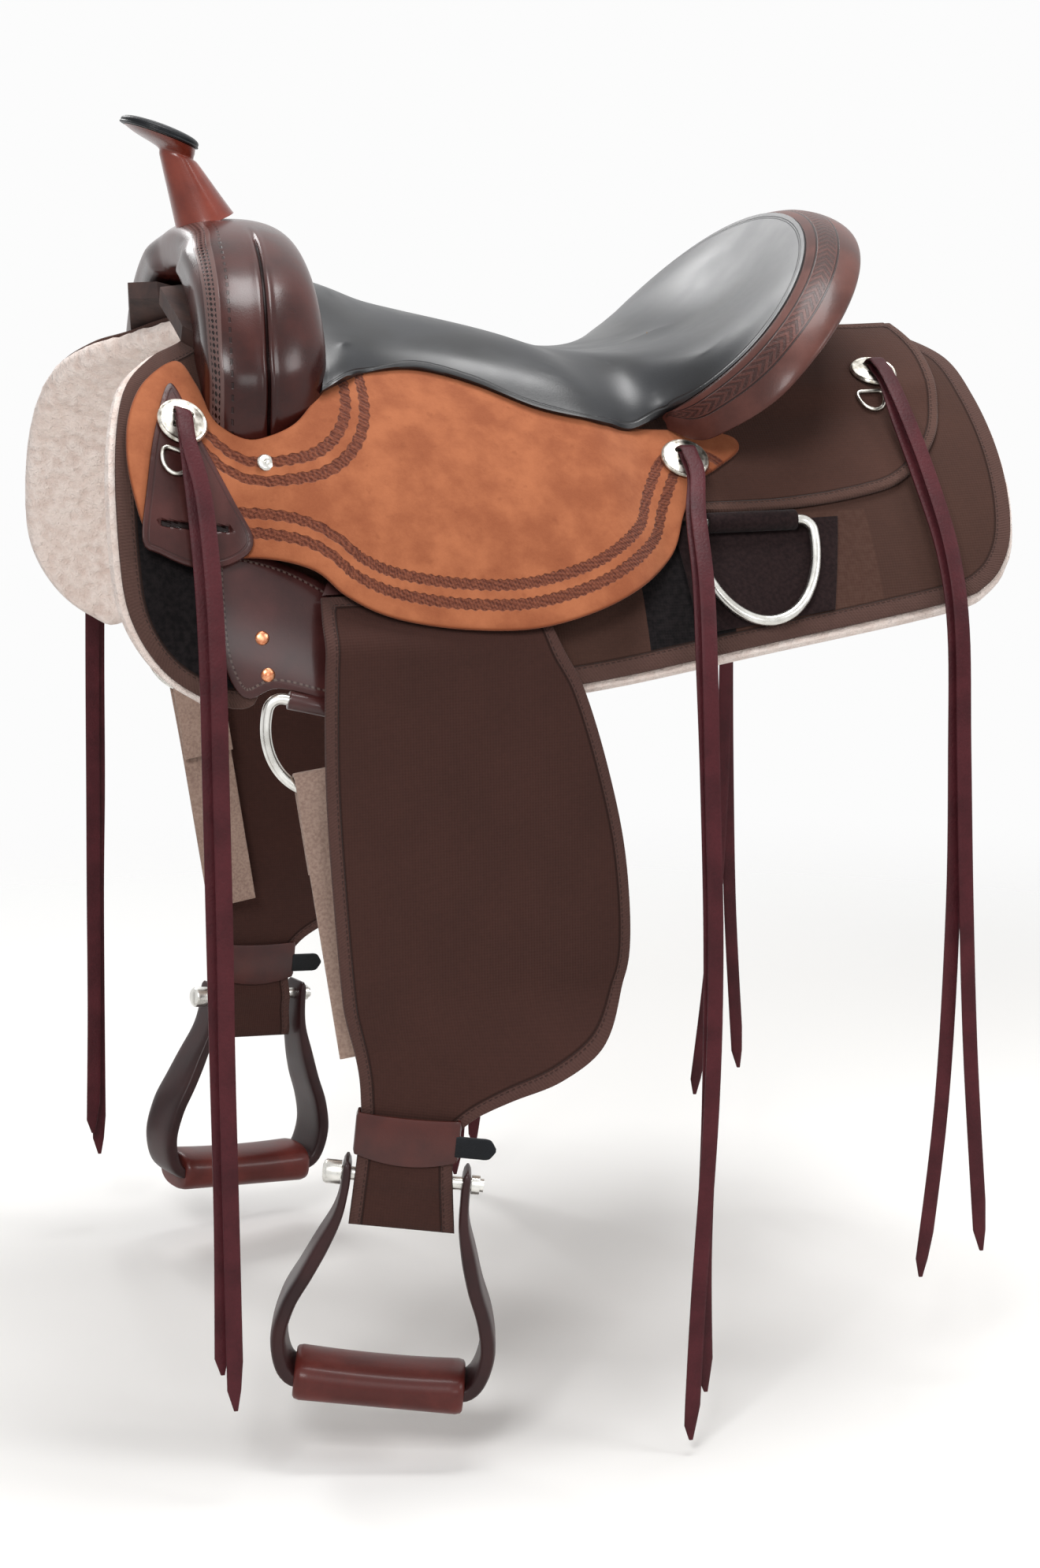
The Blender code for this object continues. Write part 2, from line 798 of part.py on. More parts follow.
def seat_shell(name, length, width, top_depth, base_depth, stuff, rows=SEAT_ROWS, columns=SEAT_COLUMNS):
    """A shell under the seat's upper face between two depths, over a share of its length and width."""
    bm = bmesh.new()
    whole = width[0] == 0
    closed_back = length[1] == 1

    def key_of(side, i, j):
        on_plane = (whole and j == 0) or (closed_back and i == rows)
        return (0 if on_plane else side, i, j)

    skins = []
    for depth in (top_depth, base_depth):
        skin = {}
        for side in (-1, 1):
            for i in range(rows + 1):
                for j in range(columns + 1):
                    key = key_of(side, i, j)
                    if key not in skin:
                        t = mix(length[0], length[1], i / rows)
                        r = mix(width[0], width[1], j / columns)
                        skin[key] = bm.verts.new(seat_below(t, r, side, depth(t, r)))
        skins.append(skin)

    def quad(corners):
        kept = [corner for k, corner in enumerate(corners) if corner not in corners[:k]]
        if len(kept) > 2:
            bm.faces.new(kept)

    def wall(side, start, end):
        upper = [skins[0][key_of(side, *place)] for place in (start, end)]
        lower = [skins[1][key_of(side, *place)] for place in (end, start)]
        quad(upper + lower)

    for side in (-1, 1):
        for i in range(rows):
            for j in range(columns):
                for skin in skins:
                    square = ((i, j), (i + 1, j), (i + 1, j + 1), (i, j + 1))
                    quad([skin[key_of(side, *place)] for place in square])
            wall(side, (i, columns), (i + 1, columns))
            if not whole:
                wall(side, (i, 0), (i + 1, 0))
        for j in range(columns):
            wall(side, (0, j), (0, j + 1))
    return add_object(name, bm, stuff)


def build_seat():
    def border(t, r):
        """A flat sewn border just inside the edge."""
        return 0.0012 * smoothstep((r - 0.86) / 0.05)

    cushion = seat_shell("seat_cushion", (0, 1), (0, 1), border, seat_pad, BLACK)
    cut(cushion, loft("seat_front", arch_rings(-GAP), GLOSSY))


def build_ground_seat():
    def base(t, r):
        return seat_bottom(t, r) + GROUND_SEAT

    ground = seat_shell("ground_seat", (8 / SEAT_ROWS, 1), (0, 3 / SEAT_COLUMNS), seat_bottom, base, WOOD, 12, 3)
    for name, side in SIDES:
        cut(ground, bar_cutter("ground_seat_foot_" + name, side))



def mirrored_stations(first, count):
    """Shares of the rim from one side's station over the middle to the other side's."""
    shares = [mix(first, 1, i / count) for i in range(count + 1)]
    return [(t, -1) for t in shares] + [(t, 1) for t in shares[-2::-1]]


def roll_section(t, side, count=12):
    """A ring of the rolled rim: a flat, crowned band that leans out from the seat's edge."""
    point = rim_point(t, side)
    level = Vector((point.x - ROLL_CENTRE_X, point.y, 0)).normalized()
    droop = mix(ROLL_DROOP_TIP, ROLL_DROOP_TOP, t)
    out = level * math.cos(droop) - Vector((0, 0, math.sin(droop)))
    up = level * math.sin(droop) + Vector((0, 0, math.cos(droop)))
    width = CANTLE_ROLL * mix(0.55, 1, smoothstep(t / 0.25))
    thick = ROLL_THICKNESS * mix(0.75, 1, smoothstep(t / 0.25))
    ring = []
    for k in range(count):
        turn = 2 * math.pi * k / count
        c, s = math.cos(turn), math.sin(turn)
        a = width / 2 * (1 + math.copysign(abs(c) ** 0.7, c)) + 0.0005
        crown = 0.003 * math.sin(math.pi * a / width)
        b = thick / 2 * (math.copysign(abs(s) ** 0.7, s) - 1) + 0.001 + crown
        ring.append(point + out * a + up * b)
    return ring


def build_cantle():
    binding = loft("cantle_binding", [roll_section(t, side) for t, side in mirrored_stations(0, ROLL_RINGS)], RUST)

    def above(t, r):
        return -0.004

    length = (9 / SEAT_ROWS, 1)
    width = (3 / SEAT_COLUMNS, 1.004)
    room = seat_shell("roll_seat_room", length, width, above, seat_bottom, BLACK, 11, 4)
    cut(binding, room)
    rings = []
    for u, side in mirrored_stations(0.35, 7):
        t = mix(SEAT_SHARE, 1, u)
        front = [seat_below(t, r, side, SEAT_PAD + 0.0016) for r in (0.84, 0.75, 0.66)]
        turn = math.pi / 2 * (1 - u)
        x, s = 0.118 + 0.150 * math.cos(turn), 0.160 * math.sin(turn)
        lift = over_bar(x, s) + REAR_JOCKEY + 0.0024
        foot = side_point(x, s, lift, side)
        ahead = side_point(x - 0.012, s, lift, side)
        foot.y = side * abs(foot.y) if u < 1 else 0
        ahead.y = side * abs(ahead.y) if u < 1 else 0
        level = Vector((front[0].x - ROLL_CENTRE_X, front[0].y, 0)).normalized()
        back = front[0] + level * CANTLE_BACK - Vector((0, 0, 0.004))
        rings.append(front + [ahead, foot, back])
    loft("cantle_back", rings, RUST)


# Jockeys
def build_seat_jockey(name, side):
    outline = pattern(
        [
            (-0.264, 0.152),
            (-0.291, 0.182),
            (-0.307, 0.216),
            (-0.313, 0.249),
            (-0.311, 0.280),
            (-0.302, 0.306),
            (-0.275, 0.312),
            (-0.226, 0.300),
            (-0.187, 0.303),
            (-0.165, 0.316),
            (-0.131, 0.325),
            (-0.073, 0.326),
            (-0.013, 0.319),
            (0.051, 0.296),
            (0.094, 0.262),
            (0.112, 0.227),
            (0.127, 0.200),
            (0.150, 0.185),
            (0.172, 0.168),
            (0.168, 0.154),
            (0.140, 0.148),
            (0.085, 0.144),
            (0.050, 0.146),
            (0.009, 0.136),
            (-0.036, 0.115),
            (-0.077, 0.108),
            (-0.117, 0.122),
            (-0.136, 0.138),
            (-0.146, 0.156),
            (-0.162, 0.182),
            (-0.182, 0.201),
            (-0.204, 0.211),
            (-0.224, 0.211),
            (-0.243, 0.198),
            (-0.252, 0.170),
        ],
        0.024,
    )

    def low(x, s):
        return jockey_lift(x)

    def high(x, s):
        return jockey_lift(x) + JOCKEY

    bent_panel("seat_jockey_" + name, outline, low, high, side, ORANGE, (JOCKEY_CELL, CELL_S))


def over_bar(x, s):
    """Lift of a panel that lies over the bar's rear end and then on the skirt."""
    step = 1 - smoothstep((s - 0.100) / 0.035)
    return mix(SKIRT + LAYER_GAP, bar_top(x) + LAYER_GAP, step)


def build_rear_jockey(name, side):
    outline = pattern(
        [
            (0.118, 0.150),
            (0.118, 0.222),
            (0.118, 0.222),
            (0.199, 0.221),
            (0.267, 0.212),
            (0.304, 0.199),
            (0.338, 0.166),
            (0.357, 0.123),
            (0.367, 0.060),
            (0.364, 0.0),
            (0.364, 0.0),
            (0.300, 0.0),
            (0.300, 0.0),
            (0.240, 0.050),
            (0.180, 0.100),
        ]
    )

    def high(x, s):
        return over_bar(x, s) + REAR_JOCKEY

    bent_panel("rear_jockey_" + name, outline, over_bar, high, side, CLOTH)


# Rings
def ring_path(width, drop, corner, count=10):
    """A D: a straight bar along X at z = 0 and a bow below it."""
    half = width / 2
    path = [(-half + corner, 0), (half - corner, 0)]
    path.append((half - 0.3 * corner, -0.3 * corner))
    for k in range(count + 1):
        turn = math.pi * k / count
        path.append((half * math.cos(turn), -corner - (drop - corner) * math.sin(turn)))
    path.append((-half + 0.3 * corner, -0.3 * corner))
    return path


def wire_ring(name, frame, width, drop, corner, wire, resolution=1):
    """A closed wire D in a frame's XZ plane, hanging from its X axis."""
    curve = bpy.data.curves.new(name, "CURVE")
    curve.dimensions = "3D"
    curve.bevel_depth = wire / 2
    curve.bevel_resolution = resolution
    line = curve.splines.new("POLY")
    path = ring_path(width, drop, corner)
    line.points.add(len(path) - 1)
    for point, (x, z) in zip(line.points, path):
        point.co = (x, 0, z, 1)
    line.use_cyclic_u = True
    curve.materials.append(STEEL)
    made = bpy.data.objects.new(name, curve)
    parts.objects.link(made)
    made.matrix_world = frame
    return made


def hanging_frame(top, foot, rear):
    """A frame at top whose X runs along rear and whose -Z points towards foot."""
    up = top - foot
    up = (up - rear * up.dot(rear)).normalized()
    return Matrix.Translation(top) @ Matrix((rear, up.cross(rear), up)).transposed().to_4x4()


def bar_loop(name, frame, half_length, radius, stuff, count=12):
    """A leather loop round a ring's bar."""
    rings = []
    for x in (-half_length, half_length):
        ring = []
        for k in range(count):
            turn = 2 * math.pi * k / count
            ring.append(frame @ Vector((x, radius * math.cos(turn), radius * math.sin(turn))))
        rings.append(ring)
    return loft(name, rings, stuff)


def front_ring_frame(side):
    s = hem(FRONT_RING_X) + 0.002
    lift = SKIRT + LAYER_GAP + PLATE / 2
    top = side_point(FRONT_RING_X, s, lift, side)
    return hanging_frame(top, top - Vector((0, 0, RING_DROP)), side_tangent(FRONT_RING_X, s, lift, side))


def rear_ring_frame(side):
    lift = SKIRT + LAYER_GAP + 0.002 + RING_WIRE / 2 + 0.0025
    top = side_point(REAR_RING_X, REAR_RING_S, lift, side)
    foot = side_point(REAR_RING_X - 0.006, REAR_RING_S + RING_DROP, lift, side)
    return hanging_frame(top, foot, side_tangent(REAR_RING_X, REAR_RING_S, lift, side))


def build_front_rigging(name, side):
    """The plate sewn on the skirt, whose lower edge folds round the ring's bar."""
    bottom = hem(FRONT_RING_X) - 0.004
    half = RING_WIDTH / 2 - RING_CORNER - 0.003
    plate = bent_panel(
        "front_rigging_plate_" + name,
        pattern(
            [
                (-0.250, 0.322),
                (-0.254, 0.372),
                (-0.246, 0.394),
                (FRONT_RING_X - NOTCH_HALF - 0.006, hem(-0.23) - 0.002),
                (FRONT_RING_X - half - 0.006, bottom),
                (FRONT_RING_X, bottom),
                (FRONT_RING_X + half + 0.004, bottom),
                (-0.120, 0.372),
                (-0.118, 0.340),
                (-0.170, 0.336),
                (-0.215, 0.330),
            ],
            0.018,
        ),
        SKIRT + LAYER_GAP,
        SKIRT + LAYER_GAP + PLATE,
        side,
        GLOSSY,
    )
    frame = front_ring_frame(side)
    bore = RING_WIRE / 2 + RING_PLAY
    join(plate, bar_loop("front_loop_" + name, frame, half, bore + LOOP_WALL, GLOSSY))
    cut(plate, bar_loop("front_bore_" + name, frame, half + 0.02, bore, GLOSSY))
    wire_ring("front_rigging_dee_" + name, frame, RING_WIDTH, RING_DROP, RING_CORNER, RING_WIRE)


def build_rear_rigging(name, side):
    base = SKIRT + LAYER_GAP
    panel = bent_panel(
        "rear_rigging_panel_" + name,
        pattern(
            [
                (0.104, 0.232),
                (0.104, 0.232),
                (0.240, 0.229),
                (0.240, 0.229),
                (0.222, 0.306),
                (0.222, 0.306),
                (0.110, 0.320),
                (0.110, 0.320),
            ],
            0.018,
        ),
        base,
        base + 0.002,
        side,
        SUEDE,
    )
    frame = rear_ring_frame(side)
    half = RING_WIDTH / 2 - RING_CORNER - 0.003
    bore = RING_WIRE / 2 + RING_PLAY
    join(panel, bar_loop("rear_loop_" + name, frame, half, bore + LOOP_WALL + 0.001, SUEDE))
    cut(panel, bar_loop("rear_bore_" + name, frame, half + 0.02, bore, SUEDE))
    wire_ring("rear_rigging_dee_" + name, frame, RING_WIDTH, RING_DROP, RING_CORNER, RING_WIRE)


def build_strap(name, side, title):
    """The cinch strap, folded over the bow of the front ring and hanging slantwise behind the fender."""
    frame = front_ring_frame(side)
    turn = frame.to_3x3()
    bow = frame @ Vector((0.012, 0, 0.002 - RING_DROP))
    across = turn @ Vector((math.cos(STRAP_SLANT), 0, math.sin(STRAP_SLANT)))
    down = turn @ Vector((math.sin(STRAP_SLANT), 0, -math.cos(STRAP_SLANT)))
    inward = turn @ Vector((0, 1, 0))
    if inward.y * side > 0:
        inward = -inward
    reach = RING_WIRE / 2 + STRAP / 2 + RING_PLAY
    path = [bow + inward * reach + down * 0.060, bow + inward * reach]
    for k in range(7):
        angle = math.pi * k / 6
        path.append(bow + inward * reach * math.cos(angle) - down * (0.0115 + reach * 0.8 * math.sin(angle)))
    path.append(bow - inward * reach)
    path.append(bow - inward * (reach - 0.003) + down * 0.032)
    for drop in (0.070, 0.130, 0.200):
        path.append(bow - inward * 0.0012 + down * drop)
    rows = [[point + across * share * STRAP_WIDTH for share in (-0.5, 0, 0.5)] for point in path]
    sheet(title + name, rows, STRAP, PALE)


def build_keeper(name, side):
    outline = pattern(
        [
            (-0.273, 0.181),
            (-0.290, 0.224),
            (-0.301, 0.270),
            (-0.308, 0.312),
            (-0.296, 0.3175),
            (-0.270, 0.319),
            (-0.243, 0.308),
            (-0.228, 0.290),
            (-0.239, 0.262),
            (-0.258, 0.220),
        ],
        0.016,
    )

    def low(x, s):
        return jockey_lift(x) + JOCKEY + LAYER_GAP

    def high(x, s):
        return low(x, s) + KEEPER

    keeper = bent_panel("latigo_keeper_" + name, outline, low, high, side, DARK, (JOCKEY_CELL, CELL_S))
    slot = [(-0.294, 0.2935), (-0.250, 0.2890), (-0.250, 0.2945), (-0.294, 0.2990)]
    slot = bent_panel("keeper_slot_" + name, slot, 0.012, 0.030, side, DARK)
    cut(keeper, slot)


# Conchos, small rings and strings
CONCHOS = {
    "front": (-0.270, 0.214),
    "seat": (0.124, 0.178),
    "rear": (0.312, 0.088),
}


def concho_lift(which):
    x, s = CONCHOS[which]
    if which == "front":
        return jockey_lift(x) + JOCKEY + LAYER_GAP + KEEPER + 0.0006
    if which == "seat":
        return jockey_lift(x) + JOCKEY + 0.0008
    return over_bar(x, s) + REAR_JOCKEY + 0.0012


def turned(name, frame, profile, stuff, steps=12):
    """A round piece: a profile down its outer side, turned about the frame's Z axis."""
    bm = bmesh.new()
    line = [bm.verts.new((radius, 0, height)) for radius, height in profile]
    for a, b in zip(line, line[1:]):
        bm.edges.new((a, b))
    mesh = bpy.data.meshes.new(name)
    bm.to_mesh(mesh)
    bm.free()
    mesh.materials.append(stuff)
    made = bpy.data.objects.new(name, mesh)
    parts.objects.link(made)
    screw = made.modifiers.new("turn", "SCREW")
    screw.steps = steps
    screw.render_steps = steps
    screw.use_merge_vertices = True
    screw.merge_threshold = 0.0001
    made.matrix_world = frame
    return made


def box(name, frame, size, stuff):
    bm = bmesh.new()
    bmesh.ops.create_cube(bm, size=1)
    for vert in bm.verts:
        vert.co = frame @ Vector((vert.co.x * size[0], vert.co.y * size[1], vert.co.z * size[2]))
    return add_object(name, bm, stuff, smooth=False)


def build_concho(which, name, side):
    x, s = CONCHOS[which]
    frame = side_frame(x, s, concho_lift(which), side)
    top = CONCHO_HEIGHT
    profile = [
        (0.0, top),
        (CONCHO_RADIUS * 0.34, top * 0.95),
        (CONCHO_RADIUS * 0.74, top * 0.66),
        (CONCHO_RADIUS, top * 0.24),
        (CONCHO_RADIUS * 0.97, 0.0),
        (0.0, 0.0),
    ]
    concho = turned(f"{which}_concho_{name}", frame, profile, STEEL)
    for slot_name, shift in (("upper", -1), ("lower", 1)):
        place = frame @ Matrix.Translation((0, shift * 0.0062, 0))
        cut(concho, box(f"{which}_{slot_name}_slot_{name}", place, (SLOT_LENGTH, SLOT_WIDTH, 0.03), STEEL))


def build_small_ring(which, name, side):
    x, s = CONCHOS[which]
    if which == "front":
        x, s = x - 0.010, s + 0.0245
        lift = concho_lift(which) - 0.0002 + SMALL_WIRE / 2
        lift_below = lift
    else:
        x, s = x - 0.012, s + 0.0235
        lift = over_bar(x, s) + REAR_JOCKEY + 0.0002 + SMALL_WIRE / 2
        lift_below = over_bar(x, s + SMALL_RING_DROP) + REAR_JOCKEY + 0.0006 + SMALL_WIRE / 2
    top = side_point(x, s, lift, side)
    foot = side_point(x, s + SMALL_RING_DROP, lift_below, side)
    frame = hanging_frame(top, foot, side_tangent(x, s, lift, side))
    wire_ring(f"{which}_string_dee_{name}", frame, SMALL_RING_WIDTH, SMALL_RING_DROP, 0.004, SMALL_WIRE, 0)


# Each string's tails from the lower end up to its concho, as distances from the middle plane
STRING_TAILS = {
    "front": (
        [
            (-0.275, 0.300, -0.701),
            (-0.272, 0.293, -0.587),
            (-0.271, 0.284, -0.472),
            (-0.270, 0.276, -0.375),
            (-0.269, 0.268, -0.273),
            (-0.268, 0.261, -0.195),
            (-0.268, 0.249, -0.129),
            (-0.269, 0.231, -0.075),
        ],
        [
            (-0.268, 0.311, -0.725),
            (-0.267, 0.302, -0.587),
            (-0.266, 0.293, -0.472),
            (-0.264, 0.284, -0.375),
            (-0.263, 0.276, -0.272),
            (-0.262, 0.269, -0.195),
            (-0.262, 0.257, -0.129),
            (-0.264, 0.238, -0.070),
        ],
    ),
    "seat": (
        [
            (0.093, 0.316, -0.752),
            (0.092, 0.312, -0.649),
            (0.097, 0.306, -0.528),
            (0.099, 0.300, -0.408),
            (0.098, 0.292, -0.290),
            (0.097, 0.283, -0.203),
            (0.102, 0.260, -0.142),
            (0.112, 0.217, -0.097),
        ],
        [
            (0.077, 0.328, -0.784),
            (0.084, 0.322, -0.676),
            (0.096, 0.3135, -0.527),
            (0.100, 0.307, -0.408),
            (0.099, 0.299, -0.289),
            (0.099, 0.291, -0.203),
            (0.104, 0.268, -0.142),
            (0.113, 0.225, -0.094),
        ],
    ),
    "rear": (
        [
            (0.296, 0.258, -0.703),
            (0.311, 0.256, -0.562),
            (0.318, 0.252, -0.404),
            (0.318, 0.248, -0.280),
            (0.317, 0.243, -0.188),
            (0.316, 0.222, -0.131),
            (0.313, 0.182, -0.078),
            (0.310, 0.1445, -0.0335),
        ],
        [
            (0.344, 0.267, -0.683),
            (0.332, 0.263, -0.530),
            (0.326, 0.259, -0.403),
            (0.322, 0.255, -0.279),
            (0.320, 0.250, -0.186),
            (0.319, 0.229, -0.127),
            (0.317, 0.189, -0.073),
            (0.313, 0.1515, -0.0285),
        ],
    ),
}


def string_route(which, side):
    """One tail up to the concho, a tight fold over its middle and the other tail down again."""
    first, second = STRING_TAILS[which]
    x, s = CONCHOS[which]
    low = concho_lift(which) + CONCHO_HEIGHT + STRING / 2 + GAP
    high = low + STRING_SPACE
    fold = [(0.024, low + 0.001), (0.006, low), (0.0, low + 0.0003), (-0.0032, (low + high) / 2)]
    fold += [(0.0, high - 0.0003), (0.006, high), (0.024, high + 0.002)]
    route = [(a, side * y, z) for a, y, z in first]
    route += [side_point(x, s + along, lift, side) for along, lift in fold]
    route += [(a, side * y, z) for a, y, z in reversed(second)]
    return route


def build_string(which, name, side):
    """One flat thong, folded over its concho so that both tails hang side by side."""
    line = spline(string_route(which, side), 0.150)
    x, s = CONCHOS[which]
    centre = side_point(x, s, concho_lift(which), side)
    tangent = side_tangent(x, s, concho_lift(which), side)
    rows = []
    for i, point in enumerate(line):
        half = STRING_WIDTH / 2 * (0.35 if i in (0, len(line) - 1) else 1)
        near = smoothstep(1.6 - (point - centre).length / 0.030)
        across = Vector((1, 0, 0)).lerp(tangent, near).normalized() * half
        rows.append([point - across, point + across])
    sheet(f"{which}_string_{name}", rows, STRING, BURGUNDY)


# Stirrup leathers and fenders
def hinge_axes(side):
    """At the jockey's lower edge: along the hinge, outwards, and the hinge's middle point."""
    rear = Vector((math.cos(HINGE_YAW), -side * math.sin(HINGE_YAW), 0))
    outward = Vector((math.sin(HINGE_YAW), side * math.cos(HINGE_YAW), 0))
    return rear, outward, Vector((HINGE_X, side * HINGE_Y, HINGE_Z))


def upper_point(a, up, off, side):
    """A point of the stirrup leather's plane: a along the hinge, up towards the bar, off outwards."""
    rear, outward, middle = hinge_axes(side)
    rise = -outward * math.cos(UPPER_SLOPE) + Vector((0, 0, math.sin(UPPER_SLOPE)))
    normal = outward * math.sin(UPPER_SLOPE) + Vector((0, 0, math.cos(UPPER_SLOPE)))
    return middle + rear * a + rise * up + normal * off


def lower_point(a, down, off, side):
    """A point of the fender's plane, below the hinge."""
    rear, outward, middle = hinge_axes(side)
    fall = outward * math.sin(LOWER_LEAN) - Vector((0, 0, math.cos(LOWER_LEAN)))
    normal = outward * math.cos(LOWER_LEAN) + Vector((0, 0, math.sin(LOWER_LEAN)))
    return middle + rear * a + fall * down + normal * off


def pivot_point(side):
    return upper_point(0, PIVOT_UP, 0, side)


def pivot_frame(side):
    rear, outward, _ = hinge_axes(side)
    normal = outward * math.sin(UPPER_SLOPE) + Vector((0, 0, math.cos(UPPER_SLOPE)))
    return Matrix.Translation(pivot_point(side)) @ Matrix(
        (rear, normal.cross(rear), normal)
    ).transposed().to_4x4()


def hinge_frame(side):
    rear, outward, middle = hinge_axes(side)
    return Matrix.Translation(middle) @ Matrix((rear, outward.cross(rear), outward)).transposed().to_4x4()


def build_leather(name, side):
    """The swinging part of the stirrup leather with the fender's top sewn on it."""
    rows = []
    levels = [
        (0.0008, -0.084, 0.094),
        (0.020, -0.083, 0.092),
        (0.040, -0.080, 0.084),
        (0.056, -0.070, 0.068),
        (0.070, -0.050, 0.044),
        (0.084, -LEATHER_WIDTH / 2, LEATHER_WIDTH / 2),
        (PIVOT_UP - 0.022, -LEATHER_WIDTH / 2, LEATHER_WIDTH / 2),
    ]
    for turn in (25, 50, 70):
        half = LEATHER_WIDTH / 2 * math.cos(math.radians(turn))
        levels.append((PIVOT_UP - 0.022 + LEATHER_WIDTH / 2 * math.sin(math.radians(turn)), -half, half))
    for up, front, rear in levels:
        rows.append([upper_point(mix(front, rear, k / 4), up, 0, side) for k in range(5)])
    sheet("stirrup_leather_" + name, rows, LEATHER, DARK)


def build_wrap(name, side):
    """The leather's loop round the bar: out over it, round its upper edge and back through the groove."""
    middle = pivot_point(side).x
    off = LEATHER / 2 + WRAP / 2 + LAYER_GAP
    over = BAR_TOP + 2 * LAYER_GAP + WRAP / 2
    under = SKIRT + 2 * LAYER_GAP + WRAP / 2
    rise = (over - under) / 2

    def row(kind, first, second):
        line = []
        for share in (-0.5, 0, 0.5):
            a = share * LEATHER_WIDTH
            if kind == "plane":
                line.append(upper_point(a, first, second, side))
            else:
                line.append(side_point(middle + a, first, second, side))
        return line

    rows = [row("plane", PIVOT_UP - 0.014, off), row("plane", PIVOT_UP + 0.016, off)]
    for s in (BAR_OUTER, 0.105, 0.080, BAR_INNER):
        rows.append(row("side", s, over))
    for turn in (45, 90, 135):
        angle = math.radians(turn)
        rows.append(
            row("side", BAR_INNER - 0.004 * math.sin(angle) - 0.001, under + rise + rise * math.cos(angle))
        )
    for s in (BAR_INNER, 0.080, 0.105, BAR_OUTER + 0.004):
        rows.append(row("side", s, under))
    rows.append(row("plane", PIVOT_UP + 0.016, -off))
    rows.append(row("plane", PIVOT_UP - 0.014, -off))
    sheet("leather_wrap_" + name, rows, WRAP, DARK)


def stirrup_frame(side):
    """At the bolt's middle: X along the bolt to the rear, -Z down the stirrup."""
    rear, _, _ = hinge_axes(side)
    centre = lower_point(BOLT_SHIFT, BOLT_DOWN, 0, side)
    flat = Vector((math.cos(STIRRUP_YAW), side * math.sin(STIRRUP_YAW), 0))
    along = flat * math.cos(STIRRUP_ROLL) - Vector((0, 0, math.sin(STIRRUP_ROLL)))
    up = Vector((0, 0, 1))
    up = (up - along * up.dot(along)).normalized()
    return Matrix.Translation(centre) @ Matrix((along, up.cross(along), up)).transposed().to_4x4()


def fender_rows(side):
    """Rows across the fender from the hinge down to its neck, which turns towards the stirrup."""
    front = spline([(-0.084, 0.0008, 0), (-0.086, 0.100, 0), (-0.080, 0.216, 0), (-0.073, 0.300, 0)], 0.010)
    rear = spline(
        [
            (0.094, 0.0008, 0),
            (0.114, 0.038, 0),
            (0.133, 0.098, 0),
            (0.146, 0.164, 0),
            (0.151, 0.237, 0),
            (0.147, 0.280, 0),
            (0.128, 0.312, 0),
            (0.086, 0.330, 0),
            (0.048, 0.340, 0),
            (0.024, 0.354, 0),
        ],
        0.010,
    )
    frame = stirrup_frame(side)
    count = 12
    rows = []
    for i in range(count + 1):
        share = i / count
        left = front[round(share * (len(front) - 1))]
        right = rear[round(share * (len(rear) - 1))]
        row = []
        for k in range(5):
            a = mix(left.x, right.x, k / 4)
            down = mix(left.y, right.y, k / 4)
            flat = lower_point(a, down, 0, side)
            turned_point = frame @ Vector((a - BOLT_SHIFT, 0, BOLT_DOWN - down))
            row.append(flat.lerp(turned_point, smoothstep((down - TWIST_START) / (FENDER_DROP - TWIST_START))))
        rows.append(row)
    return rows


def build_fender(name, side):
    """The fender with the neck that carries the stirrup bolt."""
    fender = sheet("fender_" + name, fender_rows(side), FENDER, CLOTH)
    frame = stirrup_frame(side)
    half = NECK_WIDTH / 2
    rings = []
    for height, thick in (
        (0.062, FENDER + 0.001),
        (0.045, NECK * 0.8),
        (0.012, NECK),
        (0.006, 0.016),
        (-0.006, 0.016),
        (-0.016, NECK + 0.002),
        (-0.034, NECK * 0.8),
        (-0.039, NECK * 0.4),
    ):
        rings.append(
            [
                frame @ Vector((x, y, height))
                for x, y in (
                    (-half, -thick / 2),
                    (0, -thick / 2),
                    (half, -thick / 2),
                    (half, thick / 2),
                    (0, thick / 2),
                    (-half, thick / 2),
                )
            ]
        )
    join(fender, loft("neck_" + name, rings, CLOTH))
    bore = BOLT_RADIUS + 0.0003
    cut(fender, bar_loop("bolt_bore_" + name, frame, half + 0.02, bore, CLOTH, 16))
    return fender


def build_hobble(name, side):
    frame = stirrup_frame(side) @ Matrix.Translation((0, 0, 0.030))
    half = NECK_WIDTH / 2 + LAYER_GAP
    thick = NECK / 2 + LAYER_GAP
    wall = HOBBLE_WALL

    def ring(height, x, y, round_off):
        corner = round_off
        points = [
            (-x + corner, -y),
            (x - corner, -y),
            (x, -y + corner),
            (x, y - corner),
            (x - corner, y),
            (-x + corner, y),
            (-x, y - corner),
            (-x, -y + corner),
        ]
        return [frame @ Vector((a, b, height)) for a, b in points]

    tall = HOBBLE_HEIGHT / 2
    strap = loft(
        "hobble_strap_" + name,
        [ring(h, half + wall, thick + wall, wall) for h in (-tall, tall)],
        RUST,
        smooth=False,
    )
    tail = frame @ Matrix.Translation((half + wall + HOBBLE_TAIL / 2 - 0.004, -(thick + wall / 2), 0))
    join(strap, box("hobble_tail_" + name, tail, (HOBBLE_TAIL + 0.008, wall * 0.9, HOBBLE_HEIGHT * 0.5), RUST))
    cut(strap, loft("hobble_hollow_" + name, [ring(h, half, thick, 0.001) for h in (-0.05, 0.05)], RUST))


